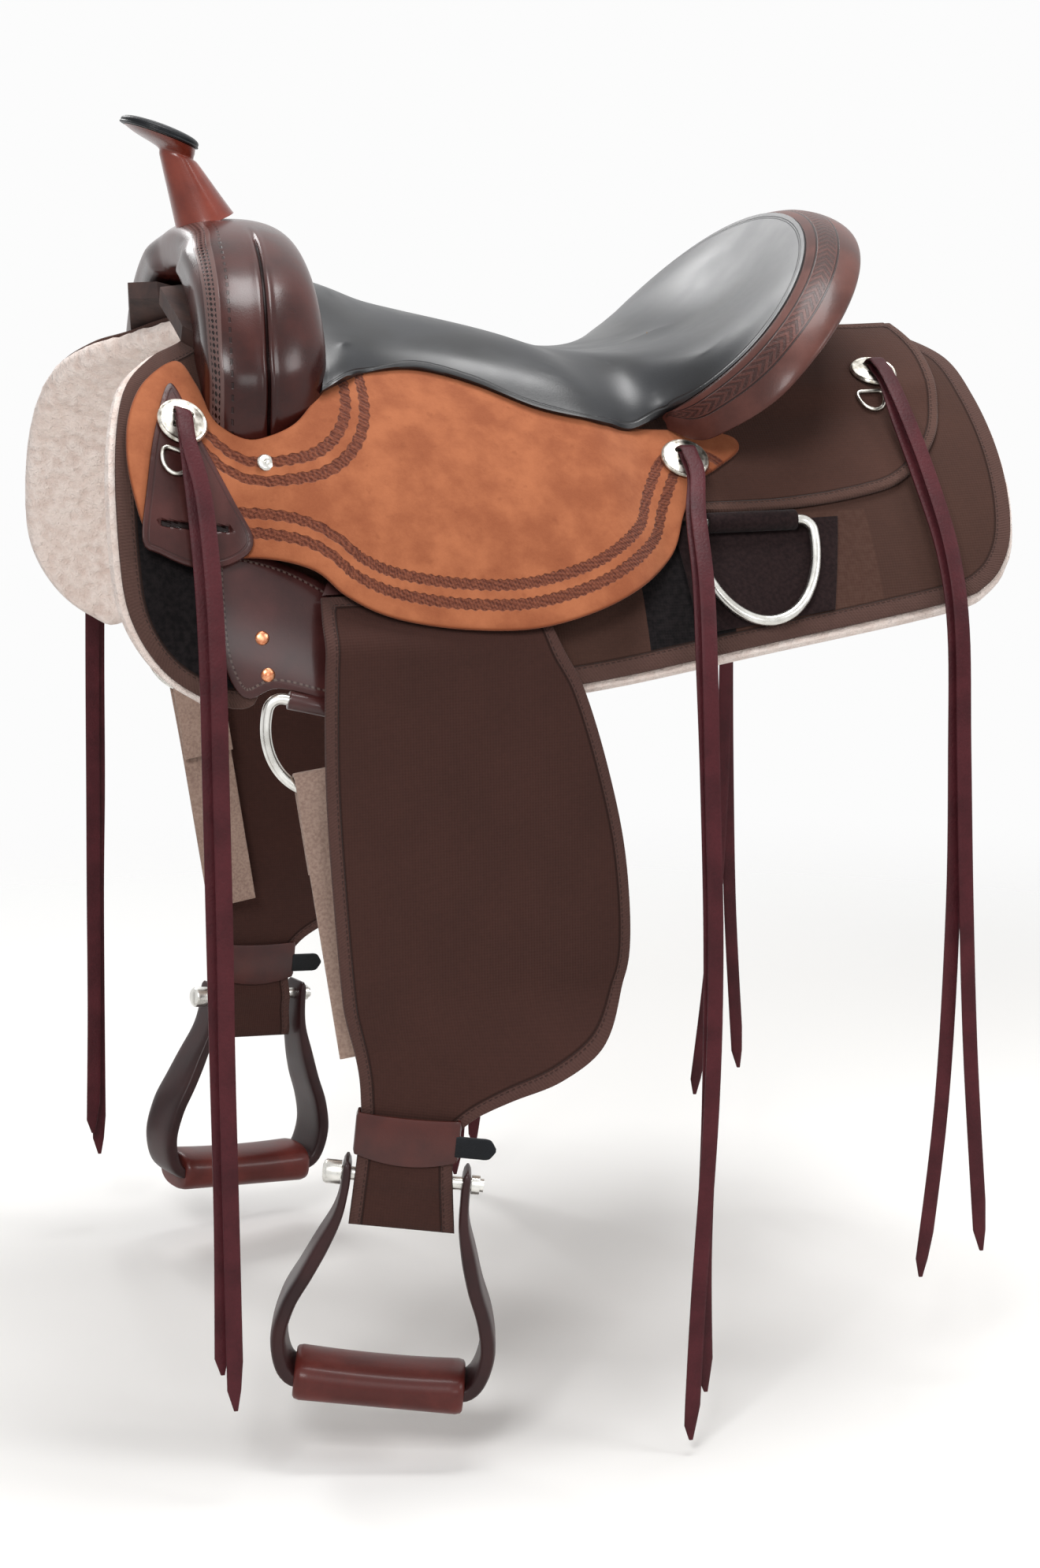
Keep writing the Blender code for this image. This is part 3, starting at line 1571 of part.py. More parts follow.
def bell_path():
    """The stirrup's side view from the front eye down round the bottom to the rear eye."""
    ear = EAR_OUTER - EAR_THICKNESS / 2
    wide = STIRRUP_WIDTH / 2 - FRAME_THICKNESS / 2
    foot = STIRRUP_HEIGHT - TREAD_HEIGHT / 2
    half = [
        (ear, 0.012),
        (ear, -0.010),
        (ear + 0.006, -0.040),
        (wide - 0.022, -0.075),
        (wide - 0.004, -0.108),
        (wide, -0.132),
        (wide - 0.010, -foot + 0.004),
        (wide - 0.030, -foot),
        (0.0, -foot),
    ]
    right = spline([(x, 0, z) for x, z in half], 0.026)
    left = [Vector((-p.x, 0, p.z)) for p in reversed(right[:-1])]
    return right + left


def build_stirrup(name, side):
    frame = stirrup_frame(side)
    path = bell_path()
    rings = []
    for i, point in enumerate(path):
        before = path[max(i - 1, 0)]
        after = path[min(i + 1, len(path) - 1)]
        along = (after - before).normalized()
        across = Vector((along.z, 0, -along.x))
        share = smoothstep(-point.z / 0.10)
        depth = mix(EAR_DEPTH, FRAME_DEPTH, share) / 2
        thick = mix(EAR_THICKNESS, FRAME_THICKNESS, smoothstep((-point.z - 0.012) / 0.05)) / 2
        ring = []
        for u, v in ((-1, -0.6), (-0.6, -1), (0.6, -1), (1, -0.6), (1, 0.6), (0.6, 1), (-0.6, 1), (-1, 0.6)):
            y = depth * (1 if abs(v) == 1 else 0.92) * (1 if v > 0 else -1)
            ring.append(frame @ (point + across * thick * u + Vector((0, y, 0))))
        rings.append(ring)
    bell = loft("stirrup_" + name, rings, DARK)
    bore = BOLT_RADIUS + 0.0003
    cut(bell, bar_loop("eye_bore_" + name, frame, EAR_OUTER + 0.03, bore, DARK, 16))

    foot = frame @ Matrix.Translation((0, 0, -(STIRRUP_HEIGHT - TREAD_HEIGHT / 2)))
    half = TREAD_LENGTH / 2
    tread_rings = []
    for x, share in ((-half, 0.90), (-half + 0.004, 1.0), (half - 0.004, 1.0), (half, 0.90)):
        ring = []
        for k in range(12):
            turn = 2 * math.pi * k / 12
            c, s = math.cos(turn), math.sin(turn)
            y = math.copysign(abs(c) ** 0.8, c) * TREAD_DEPTH / 2 * share
            z = math.copysign(abs(s) ** 0.8, s) * TREAD_HEIGHT / 2 * share
            ring.append(foot @ Vector((x, y, z)))
        tread_rings.append(ring)
    tread = loft("stirrup_tread_" + name, tread_rings, RUST)
    hollow = []
    for ring in rings:
        centre = sum(ring, Vector()) / len(ring)
        hollow.append([point + (point - centre).normalized() * 0.0006 for point in ring])
    cut(tread, loft("tread_hollow_" + name, hollow, RUST))

    reach = EAR_OUTER + GAP
    profile = [
        (0.0, reach + 0.014),
        (BOLT_HEAD * 0.8, reach + 0.014),
        (BOLT_HEAD, reach + 0.011),
        (BOLT_HEAD, reach),
        (BOLT_RADIUS, reach),
        (BOLT_RADIUS, -reach),
        (BOLT_HEAD * 0.8, -reach),
        (BOLT_HEAD * 0.8, -reach - 0.006),
        (BOLT_RADIUS, -reach - 0.006),
        (BOLT_RADIUS, -reach - 0.009),
        (0.0, -reach - 0.009),
    ]
    turned("stirrup_bolt_" + name, frame @ Matrix.Rotation(-math.pi / 2, 4, "Y"), profile, STEEL, 12)


# The whole saddle
build_fork()
build_horn()
build_seat()
build_ground_seat()
build_cantle()
for side_name, side_sign in SIDES:
    build_skirt(side_name, side_sign)
    build_bar(side_name, side_sign)
    build_seat_jockey(side_name, side_sign)
    build_rear_jockey(side_name, side_sign)
    build_front_rigging(side_name, side_sign)
    build_rear_rigging(side_name, side_sign)
    build_keeper(side_name, side_sign)
    for place in CONCHOS:
        build_concho(place, side_name, side_sign)
        build_string(place, side_name, side_sign)
    for place in ("front", "rear"):
        build_small_ring(place, side_name, side_sign)
    build_leather(side_name, side_sign)
    build_wrap(side_name, side_sign)
    build_fender(side_name, side_sign)
    build_hobble(side_name, side_sign)
    build_stirrup(side_name, side_sign)
build_strap("left", -1, "latigo_")
build_strap("right", 1, "off_billet_")


# Moving pieces turn about their joints: each hangs from an empty that stands on its joint
def hang_from(name, frame, pieces, parent=None):
    pivot = bpy.data.objects.new(name, None)
    parts.objects.link(pivot)
    pivot.empty_display_size = 0.03
    pivot.matrix_world = frame
    for made in pieces:
        made.parent = pivot
        made.matrix_parent_inverse = frame.inverted()
    if parent:
        pivot.parent = parent
        pivot.matrix_parent_inverse = parent.matrix_world.inverted()
    return pivot


bpy.context.view_layer.update()
for side_name, side_sign in SIDES:
    piece = {made.name: made for made in parts.objects}
    leather = hang_from(
        "leather_pivot_" + side_name, pivot_frame(side_sign), [piece["stirrup_leather_" + side_name]]
    )
    bpy.context.view_layer.update()
    fender = hang_from(
        "fender_pivot_" + side_name,
        hinge_frame(side_sign),
        [piece["fender_" + side_name], piece["hobble_strap_" + side_name]],
        leather,
    )
    bpy.context.view_layer.update()
    hang_from(
        "stirrup_pivot_" + side_name,
        stirrup_frame(side_sign),
        [piece[name + side_name] for name in ("stirrup_", "stirrup_tread_", "stirrup_bolt_")],
        fender,
    )
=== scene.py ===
import math

import bmesh
import bpy
import numpy as np
from mathutils import Matrix, Vector
from mathutils.geometry import delaunay_2d_cdt


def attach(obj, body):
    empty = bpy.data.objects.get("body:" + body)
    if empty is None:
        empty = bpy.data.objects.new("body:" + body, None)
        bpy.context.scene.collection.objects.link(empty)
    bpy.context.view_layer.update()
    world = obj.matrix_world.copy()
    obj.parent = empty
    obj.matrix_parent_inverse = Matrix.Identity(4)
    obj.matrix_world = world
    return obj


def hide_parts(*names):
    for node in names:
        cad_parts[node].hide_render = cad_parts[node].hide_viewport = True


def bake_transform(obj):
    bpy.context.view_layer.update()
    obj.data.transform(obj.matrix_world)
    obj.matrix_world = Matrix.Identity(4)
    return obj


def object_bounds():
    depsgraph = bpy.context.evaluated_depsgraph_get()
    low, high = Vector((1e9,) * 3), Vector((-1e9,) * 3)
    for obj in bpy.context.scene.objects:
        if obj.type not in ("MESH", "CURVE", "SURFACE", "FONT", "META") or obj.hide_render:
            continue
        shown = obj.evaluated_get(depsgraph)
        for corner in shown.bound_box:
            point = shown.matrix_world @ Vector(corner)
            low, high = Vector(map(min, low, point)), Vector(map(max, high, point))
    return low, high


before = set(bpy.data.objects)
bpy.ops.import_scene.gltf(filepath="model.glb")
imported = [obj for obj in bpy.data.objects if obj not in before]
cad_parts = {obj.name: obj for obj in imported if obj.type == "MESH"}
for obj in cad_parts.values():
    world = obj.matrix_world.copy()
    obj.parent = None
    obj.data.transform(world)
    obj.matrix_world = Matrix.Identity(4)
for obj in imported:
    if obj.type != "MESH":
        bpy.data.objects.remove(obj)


# Camera
# It stands a little to the front of the near side and slightly above, with a long lens,
# as the photograph was taken.
AIM = np.array((0.0, -0.138, -0.310))
CAMERA_DISTANCE = 2.3
CAMERA_TURN, CAMERA_RISE = math.radians(-17), math.radians(11)
SENSOR_WIDTH, LENS = 36, 67.84
level = np.array((math.sin(CAMERA_TURN), -math.cos(CAMERA_TURN), 0.0))
towards = level * math.cos(CAMERA_RISE) + np.array((0.0, 0.0, math.sin(CAMERA_RISE)))
sideways = np.array((math.cos(CAMERA_TURN), math.sin(CAMERA_TURN), 0.0))
stand = np.eye(4)
stand[:3, :3] = np.array((sideways, np.cross(towards, sideways), towards)).T
stand[:3, 3] = AIM + towards * CAMERA_DISTANCE
camera_data = bpy.data.cameras.new("camera")
camera_data.sensor_width = SENSOR_WIDTH
camera_data.lens = LENS
camera = bpy.data.objects.new("camera", camera_data)
bpy.context.scene.collection.objects.link(camera)
camera.matrix_world = Matrix(stand.tolist())
bpy.context.scene.camera = camera
bpy.context.scene.view_settings.view_transform = "Standard"


# Floor and lamps
# A plain pale studio: a floor just under the strings that fades into a white surround, a big
# soft lamp in front and weaker ones on the near side, at the tail, on the far side and above.
# What looks at the surround, or mirrors it, sees it white, while its light is weaker.
FLOOR_DROP, FLOOR_FADE, FLOOR_SIZE = 0.012, 0.9, 2.2
SURROUND_LIGHT = 0.28
LAMPS_AIM = Vector((0, 0, -0.15))
cad_box = [list(corner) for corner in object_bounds()]


def dye(red, green, blue):
    """A colour given as the eye reads it, 0 to 255, turned into light."""
    share = np.array((red, green, blue)) / 255
    light = np.where(share <= 0.04045, share / 12.92, ((share + 0.055) / 1.055) ** 2.4)
    return (*[round(float(part), 5) for part in light], 1.0)


class Wire:
    """One output of a node, so that shader maths reads as plain arithmetic."""

    def __init__(self, nodes, socket):
        self.nodes, self.socket = nodes, socket

    def maths(self, kind, *others):
        """One step of a Math node on this value and others."""
        return self.nodes.node("ShaderNodeMath", {"operation": kind}, dict(enumerate((self, *others))))

    def __add__(self, other):
        return self.maths("ADD", other)

    __radd__ = __add__

    def __mul__(self, other):
        return self.maths("MULTIPLY", other)

    __rmul__ = __mul__

    def __sub__(self, other):
        return self.maths("SUBTRACT", other)

    def __rsub__(self, other):
        return (self * -1) + other

    def rise(self, low, high):
        """0 below low, 1 above high and an eased step between them."""
        settings = {"interpolation_type": "SMOOTHSTEP"}
        values = {"Value": self, "From Min": low, "From Max": high}
        return self.nodes.node("ShaderNodeMapRange", settings, values)

    def near(self, middle, reach, soft):
        """1 within reach of the middle value, and 0 a soft margin further off."""
        return 1 - (self - middle).maths("ABSOLUTE").rise(reach, reach + soft)

    def wave(self, length):
        """A sine of this value, from -1 to 1."""
        return (self * (2 * math.pi / length)).maths("SINE")

    def either(self, other):
        """The larger of two values."""
        return self.maths("MAXIMUM", other)


class Nodes:
    """The nodes of a material or of the world."""

    def __init__(self, tree):
        self.tree = tree

    def put(self, socket, value):
        """Links a wire to a socket, or sets a plain value on it."""
        if isinstance(value, Wire):
            self.tree.links.new(value.socket, socket)
        else:
            socket.default_value = value

    def node(self, kind, settings=None, values=None, output=0):
        """Adds a node: first its settings, then the values or links of its sockets."""
        made = self.tree.nodes.new(kind)
        for name, value in (settings or {}).items():
            setattr(made, name, value)
        for name, value in (values or {}).items():
            self.put(made.inputs[name], value)
        return Wire(self, made.outputs[output])


class Finish(Nodes):
    """A material, with short ways to add the nodes that colour and roughen it."""

    def __init__(self, name, **fixed):
        self.material = bpy.data.materials.new(name)
        self.material.use_nodes = True
        super().__init__(self.material.node_tree)
        self.shader = self.tree.nodes["Principled BSDF"]
        self.set(**fixed)

    def set(self, **values):
        """Sets or links sockets of the shader, named with _ for a space."""
        for name, value in values.items():
            self.put(self.shader.inputs[name.replace("_", " ")], value)

    def place(self):
        """Where a point of the surface lies, in metres."""
        return self.node("ShaderNodeTexCoord", output=3)

    def parts(self, vector):
        """The first two numbers of a vector."""
        return [self.node("ShaderNodeSeparateXYZ", None, {0: vector}, output=k) for k in (0, 1)]

    def uv(self, name):
        """The two numbers of one of the piece's own maps, in metres."""
        return self.parts(self.node("ShaderNodeUVMap", {"uv_map": name}))

    def noise(self, size, detail=2.0, where=None, roughness=0.5):
        """Soft random clouds of about one size, in metres."""
        values = {"Vector": where or self.place(), "Scale": 1 / size}
        values |= {"Detail": detail, "Roughness": roughness}
        return self.node("ShaderNodeTexNoise", None, values)

    def cells(self, size):
        """Pebbles of one size: the distance from the nearest of many scattered points."""
        return self.node("ShaderNodeTexVoronoi", None, {"Vector": self.place(), "Scale": 1 / size})

    def mix(self, first, second, share):
        """The first colour where share is 0 and the second where it is 1."""
        return self.node("ShaderNodeMix", {"data_type": "RGBA"}, {0: share, 6: first, 7: second}, output=2)

    def relief(self, height, depth, under=None):
        """A bump: a height of 1 stands up by depth, in metres."""
        values = {"Height": height, "Distance": depth, "Strength": 1.0}
        if under is not None:
            values["Normal"] = under
        return self.node("ShaderNodeBump", None, values)


floor_finish = Finish("studio_floor", Roughness=0.9, Base_Color=dye(243, 242, 240))
floor_x, floor_y = floor_finish.parts(floor_finish.place())
floor_reach = (floor_x * floor_x + floor_y * floor_y).maths("SQRT")
floor_finish.set(Alpha=1 - floor_reach.rise(FLOOR_FADE, FLOOR_SIZE))
floor_height = cad_box[0][2] - FLOOR_DROP
floor_mesh = bpy.data.meshes.new("floor")
corners = [(x * FLOOR_SIZE, y * FLOOR_SIZE, floor_height) for x, y in ((-1, -1), (1, -1), (1, 1), (-1, 1))]
floor_mesh.from_pydata(corners, [], [(0, 1, 2, 3)])
floor_mesh.materials.append(floor_finish.material)
floor = bpy.data.objects.new("floor", floor_mesh)
bpy.context.scene.collection.objects.link(floor)

world = bpy.data.worlds.new("surround")
world.use_nodes = True
bpy.context.scene.world = world
surround = Nodes(world.node_tree)
backdrop = surround.tree.nodes["Background"]
backdrop.inputs["Color"].default_value = dye(252, 252, 252)
seen, mirrored, through = (
    surround.node("ShaderNodeLightPath", output=ray)
    for ray in ("Is Camera Ray", "Is Glossy Ray", "Is Transmission Ray")
)
levels = {"Value": seen.either(mirrored).either(through), "To Min": SURROUND_LIGHT, "To Max": 1.0}
surround.put(backdrop.inputs["Strength"], surround.node("ShaderNodeMapRange", None, levels))


def soft_lamp(name, place, size, power):
    """A square lamp of that size, turned towards the saddle."""
    lamp = bpy.data.lights.new(name, "AREA")
    lamp.size = size
    lamp.energy = power
    stand = bpy.data.objects.new(name, lamp)
    bpy.context.scene.collection.objects.link(stand)
    stand.location = place
    stand.rotation_mode = "QUATERNION"
    stand.rotation_quaternion = (Vector(place) - LAMPS_AIM).to_track_quat("Z", "Y")


soft_lamp("front_lamp", (-1.5, -2.6, 1.7), 1.1, 63)
soft_lamp("near_lamp", (0.1, -3.0, 0.4), 0.8, 8)
soft_lamp("tail_lamp", (2.4, -1.8, 1.3), 1.0, 26)
soft_lamp("far_lamp", (-0.8, 2.6, 1.8), 1.2, 40)
soft_lamp("top_lamp", (0.35, -0.1, 2.3), 1.1, 50)


# Fleece
# Each skirt is lined with thick shorn wool, which lies on the blanket and shows as a pale,
# curly edge past the skirts and inside the arch. It is sewn to the skirt and trimmed by hand.
SIDES = (("left", -1), ("right", 1))
FLEECE, FLEECE_EDGE = 0.018, 0.0055
WOOL_CURL, WOOL_DIP, WOOL_SHOWN = 0.0030, 0.0022, 0.012
LAYER_GAP = 0.0005
SKIRT_FRONT, SKIRT_REAR = -0.319, 0.395
SKIRT_DROP_FRONT, SKIRT_DROP_REAR = 0.406, 0.306
HEM_FRONT_X, HEM_REAR_X = -0.253, 0.314
CHANNEL, CHANNEL_WAIST = 0.045, 0.062
RING_WIDTH, RING_WIRE, RING_DROP, RING_CORNER = 0.086, 0.008, 0.062, 0.010
LOOP_WALL, RING_PLAY = 0.0025, 0.0003
FRONT_RING_X = -0.178
SPINE_SLOPE, SPINE_SLOPE_GAIN = 10, 6
BACK_FRONT_RADIUS, BACK_REAR_RADIUS, CHANGE_FROM, CHANGE_TO = 0.287, 0.364, -0.300, 0.040
LOWEST_X, RISE_AHEAD, RISE_BEHIND, REACH_AHEAD, REACH_BEHIND = 0.080, 0.053, 0.004, 0.330, 0.265


def ease(share):
    """0 up to a share of 0, 1 from a share of 1, and a smooth step between."""
    share = np.clip(share, 0, 1)
    return share * share * (3 - 2 * share)


def back_arc(x):
    """The horse's back at x: its slope beside the spine and its curvature down the side, both
    eased from front to rear, and its height, which rises ahead and behind as a square."""
    rear = ease((x - CHANGE_FROM) / (CHANGE_TO - CHANGE_FROM))
    slope = np.radians(SPINE_SLOPE + SPINE_SLOPE_GAIN * rear)
    bend = 1 / BACK_FRONT_RADIUS + (1 / BACK_REAR_RADIUS - 1 / BACK_FRONT_RADIUS) * rear
    ahead = RISE_AHEAD * ((LOWEST_X - x) / REACH_AHEAD) ** 2
    behind = RISE_BEHIND * ((x - LOWEST_X) / REACH_BEHIND) ** 2
    return slope, bend, FLEECE + np.where(x < LOWEST_X, ahead, behind)


def side_point(x, s, lift, side):
    """A point over the horse's back: x along it, s down the side on an arc that starts at the
    spine with the back's slope and curvature, and lift outwards from it."""
    x, s, lift = np.broadcast_arrays(*(np.asarray(v, float) for v in (x, s, lift)))
    slope, bend, top = back_arc(x)
    angle = slope + bend * s
    y = (np.sin(angle) - np.sin(slope)) / bend + lift * np.sin(angle)
    z = top - (np.cos(slope) - np.cos(angle)) / bend + lift * np.cos(angle)
    return np.stack((x, side * np.maximum(y, 0.0004), z), -1)


def between(before, start, end, after, t):
    """The place at a share t of the way from start to end, on a cubic whose slope at both is
    half the step from one neighbour to the other."""
    cubic = 2 * start + (end - before) * t + (2 * before - 5 * start + 4 * end - after) * t**2
    return 0.5 * (cubic + (3 * start - before - 3 * end + after) * t**3)


def curve(points, step, closed=False):
    """A smooth line through the points, with pieces of about one step on each span. A point
    given twice stays a corner."""
    points = np.array(points, float)
    spans = len(points) if closed else len(points) - 1
    line = []
    for i in range(spans):
        start, end = points[i], points[(i + 1) % len(points)]
        before = points[i - 1] if closed or i else start
        after = points[(i + 2) % len(points)] if closed or i + 2 < len(points) else end
        length = np.linalg.norm(end - start)
        if length > 1e-9:
            pieces = max(1, round(length / step))
            line.append(between(before, start, end, after, np.arange(pieces)[:, None] / pieces))
    if not closed:
        line.append(points[-1:])
    return np.concatenate(line)


def hem(x):
    """How far down the side the skirt's lower edge lies at x."""
    share = (HEM_REAR_X - x) / (HEM_REAR_X - HEM_FRONT_X)
    return SKIRT_DROP_REAR + (SKIRT_DROP_FRONT - SKIRT_DROP_REAR) * (0.83 * share + 0.17 * share * share)


notch_reach = RING_WIDTH / 2 + RING_WIRE
notch_level = hem(FRONT_RING_X) - (RING_WIRE / 2 + RING_PLAY + LOOP_WALL + 0.001)
notch_front, notch_rear = FRONT_RING_X - notch_reach, FRONT_RING_X + notch_reach
skirt_points = [
    (SKIRT_FRONT + 0.104, CHANNEL), (SKIRT_FRONT + 0.104, CHANNEL), (SKIRT_FRONT + 0.071, 0.112),
    (SKIRT_FRONT + 0.041, 0.150), (SKIRT_FRONT + 0.016, 0.194), (SKIRT_FRONT + 0.003, 0.255),
    (SKIRT_FRONT, 0.325), (SKIRT_FRONT + 0.006, 0.368), (SKIRT_FRONT + 0.029, 0.396),
    (HEM_FRONT_X, SKIRT_DROP_FRONT), (notch_front - 0.004, hem(notch_front)),
    (notch_front, notch_level), (notch_front, notch_level), (notch_rear, notch_level),
    (notch_rear, notch_level), (notch_rear + 0.004, hem(notch_rear)), (0.012, hem(0.012)),
    (0.160, hem(0.160)), (HEM_REAR_X, SKIRT_DROP_REAR), (SKIRT_REAR - 0.043, 0.294),
    (SKIRT_REAR - 0.021, 0.270), (SKIRT_REAR - 0.009, 0.235), (SKIRT_REAR - 0.002, 0.180),
    (SKIRT_REAR, 0.110), (SKIRT_REAR - 0.002, 0.050), (SKIRT_REAR - 0.023, 0.0),
    (SKIRT_REAR - 0.023, 0.0), (0.270, 0.0), (0.270, 0.0), (0.225, 0.030),
    (0.170, CHANNEL_WAIST - 0.008), (0.100, CHANNEL_WAIST), (0.000, CHANNEL_WAIST),
    (-0.080, CHANNEL + 0.005),
]
skirt_border = curve(skirt_points, 0.005, closed=True)


def outward(line):
    """The unit direction out of a closed flat line at each of its points."""
    along = np.roll(line, -1, 0) - np.roll(line, 1, 0)
    across = np.stack((along[:, 1], -along[:, 0]), -1)
    across /= np.linalg.norm(across, axis=1, keepdims=True) + 1e-12
    following = np.roll(line, -1, 0)
    area = (line[:, 0] * following[:, 1] - following[:, 0] * line[:, 1]).sum()
    return across * np.sign(area)


def measure(points, line, closed=True):
    """Each point's distance from a line, and how far along the line its nearest place lies."""
    starts = line if closed else line[:-1]
    spans = (np.roll(line, -1, 0) - line) if closed else line[1:] - line[:-1]
    sizes = np.maximum((spans**2).sum(1), 1e-14)
    reach = np.concatenate(([0.0], np.cumsum(np.sqrt(sizes))[:-1]))
    distance, along = np.empty(len(points)), np.empty(len(points))
    for part in np.array_split(np.arange(len(points)), len(points) // 3000 + 1):
        gap = points[part, None] - starts
        share = np.clip((gap * spans).sum(2) / sizes, 0, 1)
        off = np.linalg.norm(gap - share[..., None] * spans, axis=2)
        best, row = off.argmin(1), np.arange(len(part))
        distance[part] = off[row, best]
        along[part] = reach[best] + share[row, best] * np.sqrt(sizes[best])
    return distance, along


def inside(points, line):
    """Whether each point lies inside a closed line, by counting the crossings beside it."""
    start, end = line, np.roll(line, -1, 0)
    x, y = points[:, :1], points[:, 1:]
    crosses = (start[:, 1] > y) != (end[:, 1] > y)
    height = np.where(end[:, 1] == start[:, 1], 1.0, end[:, 1] - start[:, 1])
    at = start[:, 0] + (y - start[:, 1]) * (end[:, 0] - start[:, 0]) / height
    return (crosses & (x < at)).sum(1) % 2 == 1


def add_piece(name, points, faces, finish, maps, sharp=40, weld=0.0):
    """Makes a closed mesh of points and groups of faces, with its maps, facing out."""
    mesh = bpy.data.meshes.new(name)
    mesh.from_pydata(points.tolist(), [], [face for group in faces for face in group.tolist()])
    corner = np.empty(len(mesh.loops), np.int32)
    mesh.loops.foreach_get("vertex_index", corner)
    for map_name, values in maps.items():
        layer = mesh.uv_layers.new(name=map_name)
        layer.data.foreach_set("uv", values[corner].astype(np.float32).ravel())
    shape = bmesh.new()
    shape.from_mesh(mesh)
    if weld:
        bmesh.ops.remove_doubles(shape, verts=shape.verts, dist=weld)
        bmesh.ops.dissolve_degenerate(shape, edges=shape.edges, dist=weld)
    bmesh.ops.recalc_face_normals(shape, faces=shape.faces)
    shape.to_mesh(mesh)
    shape.free()
    mesh.shade_smooth()
    mesh.set_sharp_from_angle(angle=math.radians(sharp))
    mesh.materials.append(finish.material)
    piece = bpy.data.objects.new(name, mesh)
    bpy.context.scene.collection.objects.link(piece)
    return piece


def panel(name, border, place, low, high, finish, spacing=0.005, edge=0.001, guide=None):
    """A sheet cut to a flat border: its points fill the border on a staggered grid, place bends
    each one at its lower and its upper lift, and the edges are rounded by a quarter circle.
    Its flat map holds the pattern's own place, and its rim map how far along the border (or a
    guide line) a point lies and how far from it."""
    out = outward(border)
    spots = [border - out * edge * share for share in (0.3, 1.0)]
    low_corner, high_corner = border.min(0), border.max(0)
    across = np.arange(low_corner[0], high_corner[0], spacing)
    down = np.arange(low_corner[1], high_corner[1], spacing * 0.87)
    grid = np.stack(np.meshgrid(across, down, indexing="ij"), -1)
    grid[:, 1::2, 0] += spacing / 2
    spots.append(grid.reshape(-1, 2))
    wanted = [0.25 * edge, 0.8 * edge, edge + 0.55 * spacing]
    kept = [border]
    for group, least in zip(spots, wanted):
        group = group[inside(group, border)]
        kept.append(group[measure(group, border)[0] > least])
    flat = np.concatenate(kept)
    count = len(border)
    loop = [(i, (i + 1) % count) for i in range(count)]
    found = delaunay_2d_cdt([Vector(spot) for spot in flat.tolist()], loop, [], 1, 1e-7)
    flat = np.array([spot[:] for spot in found[0]])
    triangles = np.array(found[2])
    distance, along = measure(flat, border)
    x, s = flat.T
    rounding = edge - np.sqrt(np.maximum(edge**2 - (edge - np.minimum(distance, edge)) ** 2, 0))
    upper = place(x, s, high(x, s, distance) - rounding)
    lower = place(x, s, low(x, s, distance) + rounding)
    size = len(flat)
    edges = np.concatenate((triangles[:, [0, 1]], triangles[:, [1, 2]], triangles[:, [2, 0]]))
    key = np.sort(edges, 1) @ np.array((size, 1))
    _, first, times = np.unique(key, return_index=True, return_counts=True)
    rim = edges[first[times == 1]]
    walls = np.stack((rim[:, 1], rim[:, 0], rim[:, 0] + size, rim[:, 1] + size), 1)
    if guide is not None:
        distance, along = measure(flat, guide, closed=False)
    maps = {"flat": np.tile(flat, (2, 1)), "rim": np.tile(np.stack((along, distance), -1), (2, 1))}
    faces = [triangles, triangles[:, ::-1] + size, walls]
    return add_piece(name, np.concatenate((upper, lower)), faces, finish, maps)


def side_panel(name, side, border, low, high, finish, **cut):
    """A panel on the horse's side between two lifts, each a number or a function of the place
    on the pattern and the distance from its border."""

    def lift(value):
        """A number becomes a function that gives it everywhere."""
        return value if callable(value) else lambda x, s, distance: value + 0 * x

    def place(x, s, lift):
        """The point over the horse's back on this side."""
        return side_point(x, s, lift, side)

    return panel(name, border, place, lift(low), lift(high), finish, **cut)


def dress(piece, body, slot, *nodes):
    """Fixes a finished piece to its body and hides the solids it stands for. The slot, its finish's name, is
    not used.
    """
    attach(piece, body)
    if nodes:
        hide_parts(*nodes)
    return piece


def hills(x, s, size, seed):
    """Random hills of one size: random heights on a lattice, eased between its corners."""
    heights = np.random.default_rng(seed).random((97, 89))
    u, v = x / size + 200, s / size + 200
    i, j = np.floor(u).astype(int), np.floor(v).astype(int)
    a, b = ease(u - i), ease(v - j)
    i, j, i1, j1 = i % 97, j % 89, (i + 1) % 97, (j + 1) % 89
    near = heights[i, j] * (1 - a) + heights[i1, j] * a
    far = heights[i, j1] * (1 - a) + heights[i1, j1] * a
    return near * (1 - b) + far * b


ahead = ease((-0.200 - skirt_border[:, 0]) / 0.060) * ease((skirt_border[:, 1] - 0.050) / 0.050)
cover_border = skirt_border + outward(skirt_border) * (0.0045 * ahead)[:, None]
grown = cover_border + outward(skirt_border) * FLEECE_EDGE
in_channel = (skirt_border[:, 1] < CHANNEL_WAIST + 0.001) & (skirt_border[:, 0] > SKIRT_FRONT + 0.09)
in_channel &= skirt_border[:, 0] < SKIRT_REAR - 0.03
at_ring = (abs(skirt_border[:, 0] - FRONT_RING_X) < notch_reach + 0.012) & (skirt_border[:, 1] > 0.3)
fleece_border = np.where((in_channel | at_ring)[:, None], skirt_border, grown)
fleece_border[:, 1] = np.maximum(fleece_border[:, 1], 0)
fleece_border = curve(fleece_border[::3], 0.006, closed=True)


def build_wool():
    """Cream wool: yellowed clouds, tufts painted lighter on top and darker in the hollows
    between them as painted light and shade, and a fine curl.
    """
    wool = Finish("wool", Roughness=1.0, Sheen_Weight=0.35, Sheen_Roughness=0.6, Specular_IOR_Level=0.06)
    tufts = wool.noise(0.009, 3.0)
    wide = wool.noise(0.060, 2.0)
    fibre = wool.noise(0.0016, 2.0)
    # Painted light and shade: the colour follows the tufts' height, lighter on their tops.
    shade = wool.mix(dye(222, 202, 192), dye(240, 226, 218), tufts.rise(0.30, 0.66))
    shade = wool.mix(shade, dye(231, 213, 203), wide.rise(0.35, 0.70) * 0.6)
    # Painted shade in the hollows between the tufts.
    wool.set(Base_Color=wool.mix(shade, dye(206, 182, 172), (1 - tufts).rise(0.60, 0.78) * 0.35))
    wool.set(Normal=wool.relief(fibre, 0.0012, wool.relief(tufts, 0.004)))
    return wool


wool = build_wool()


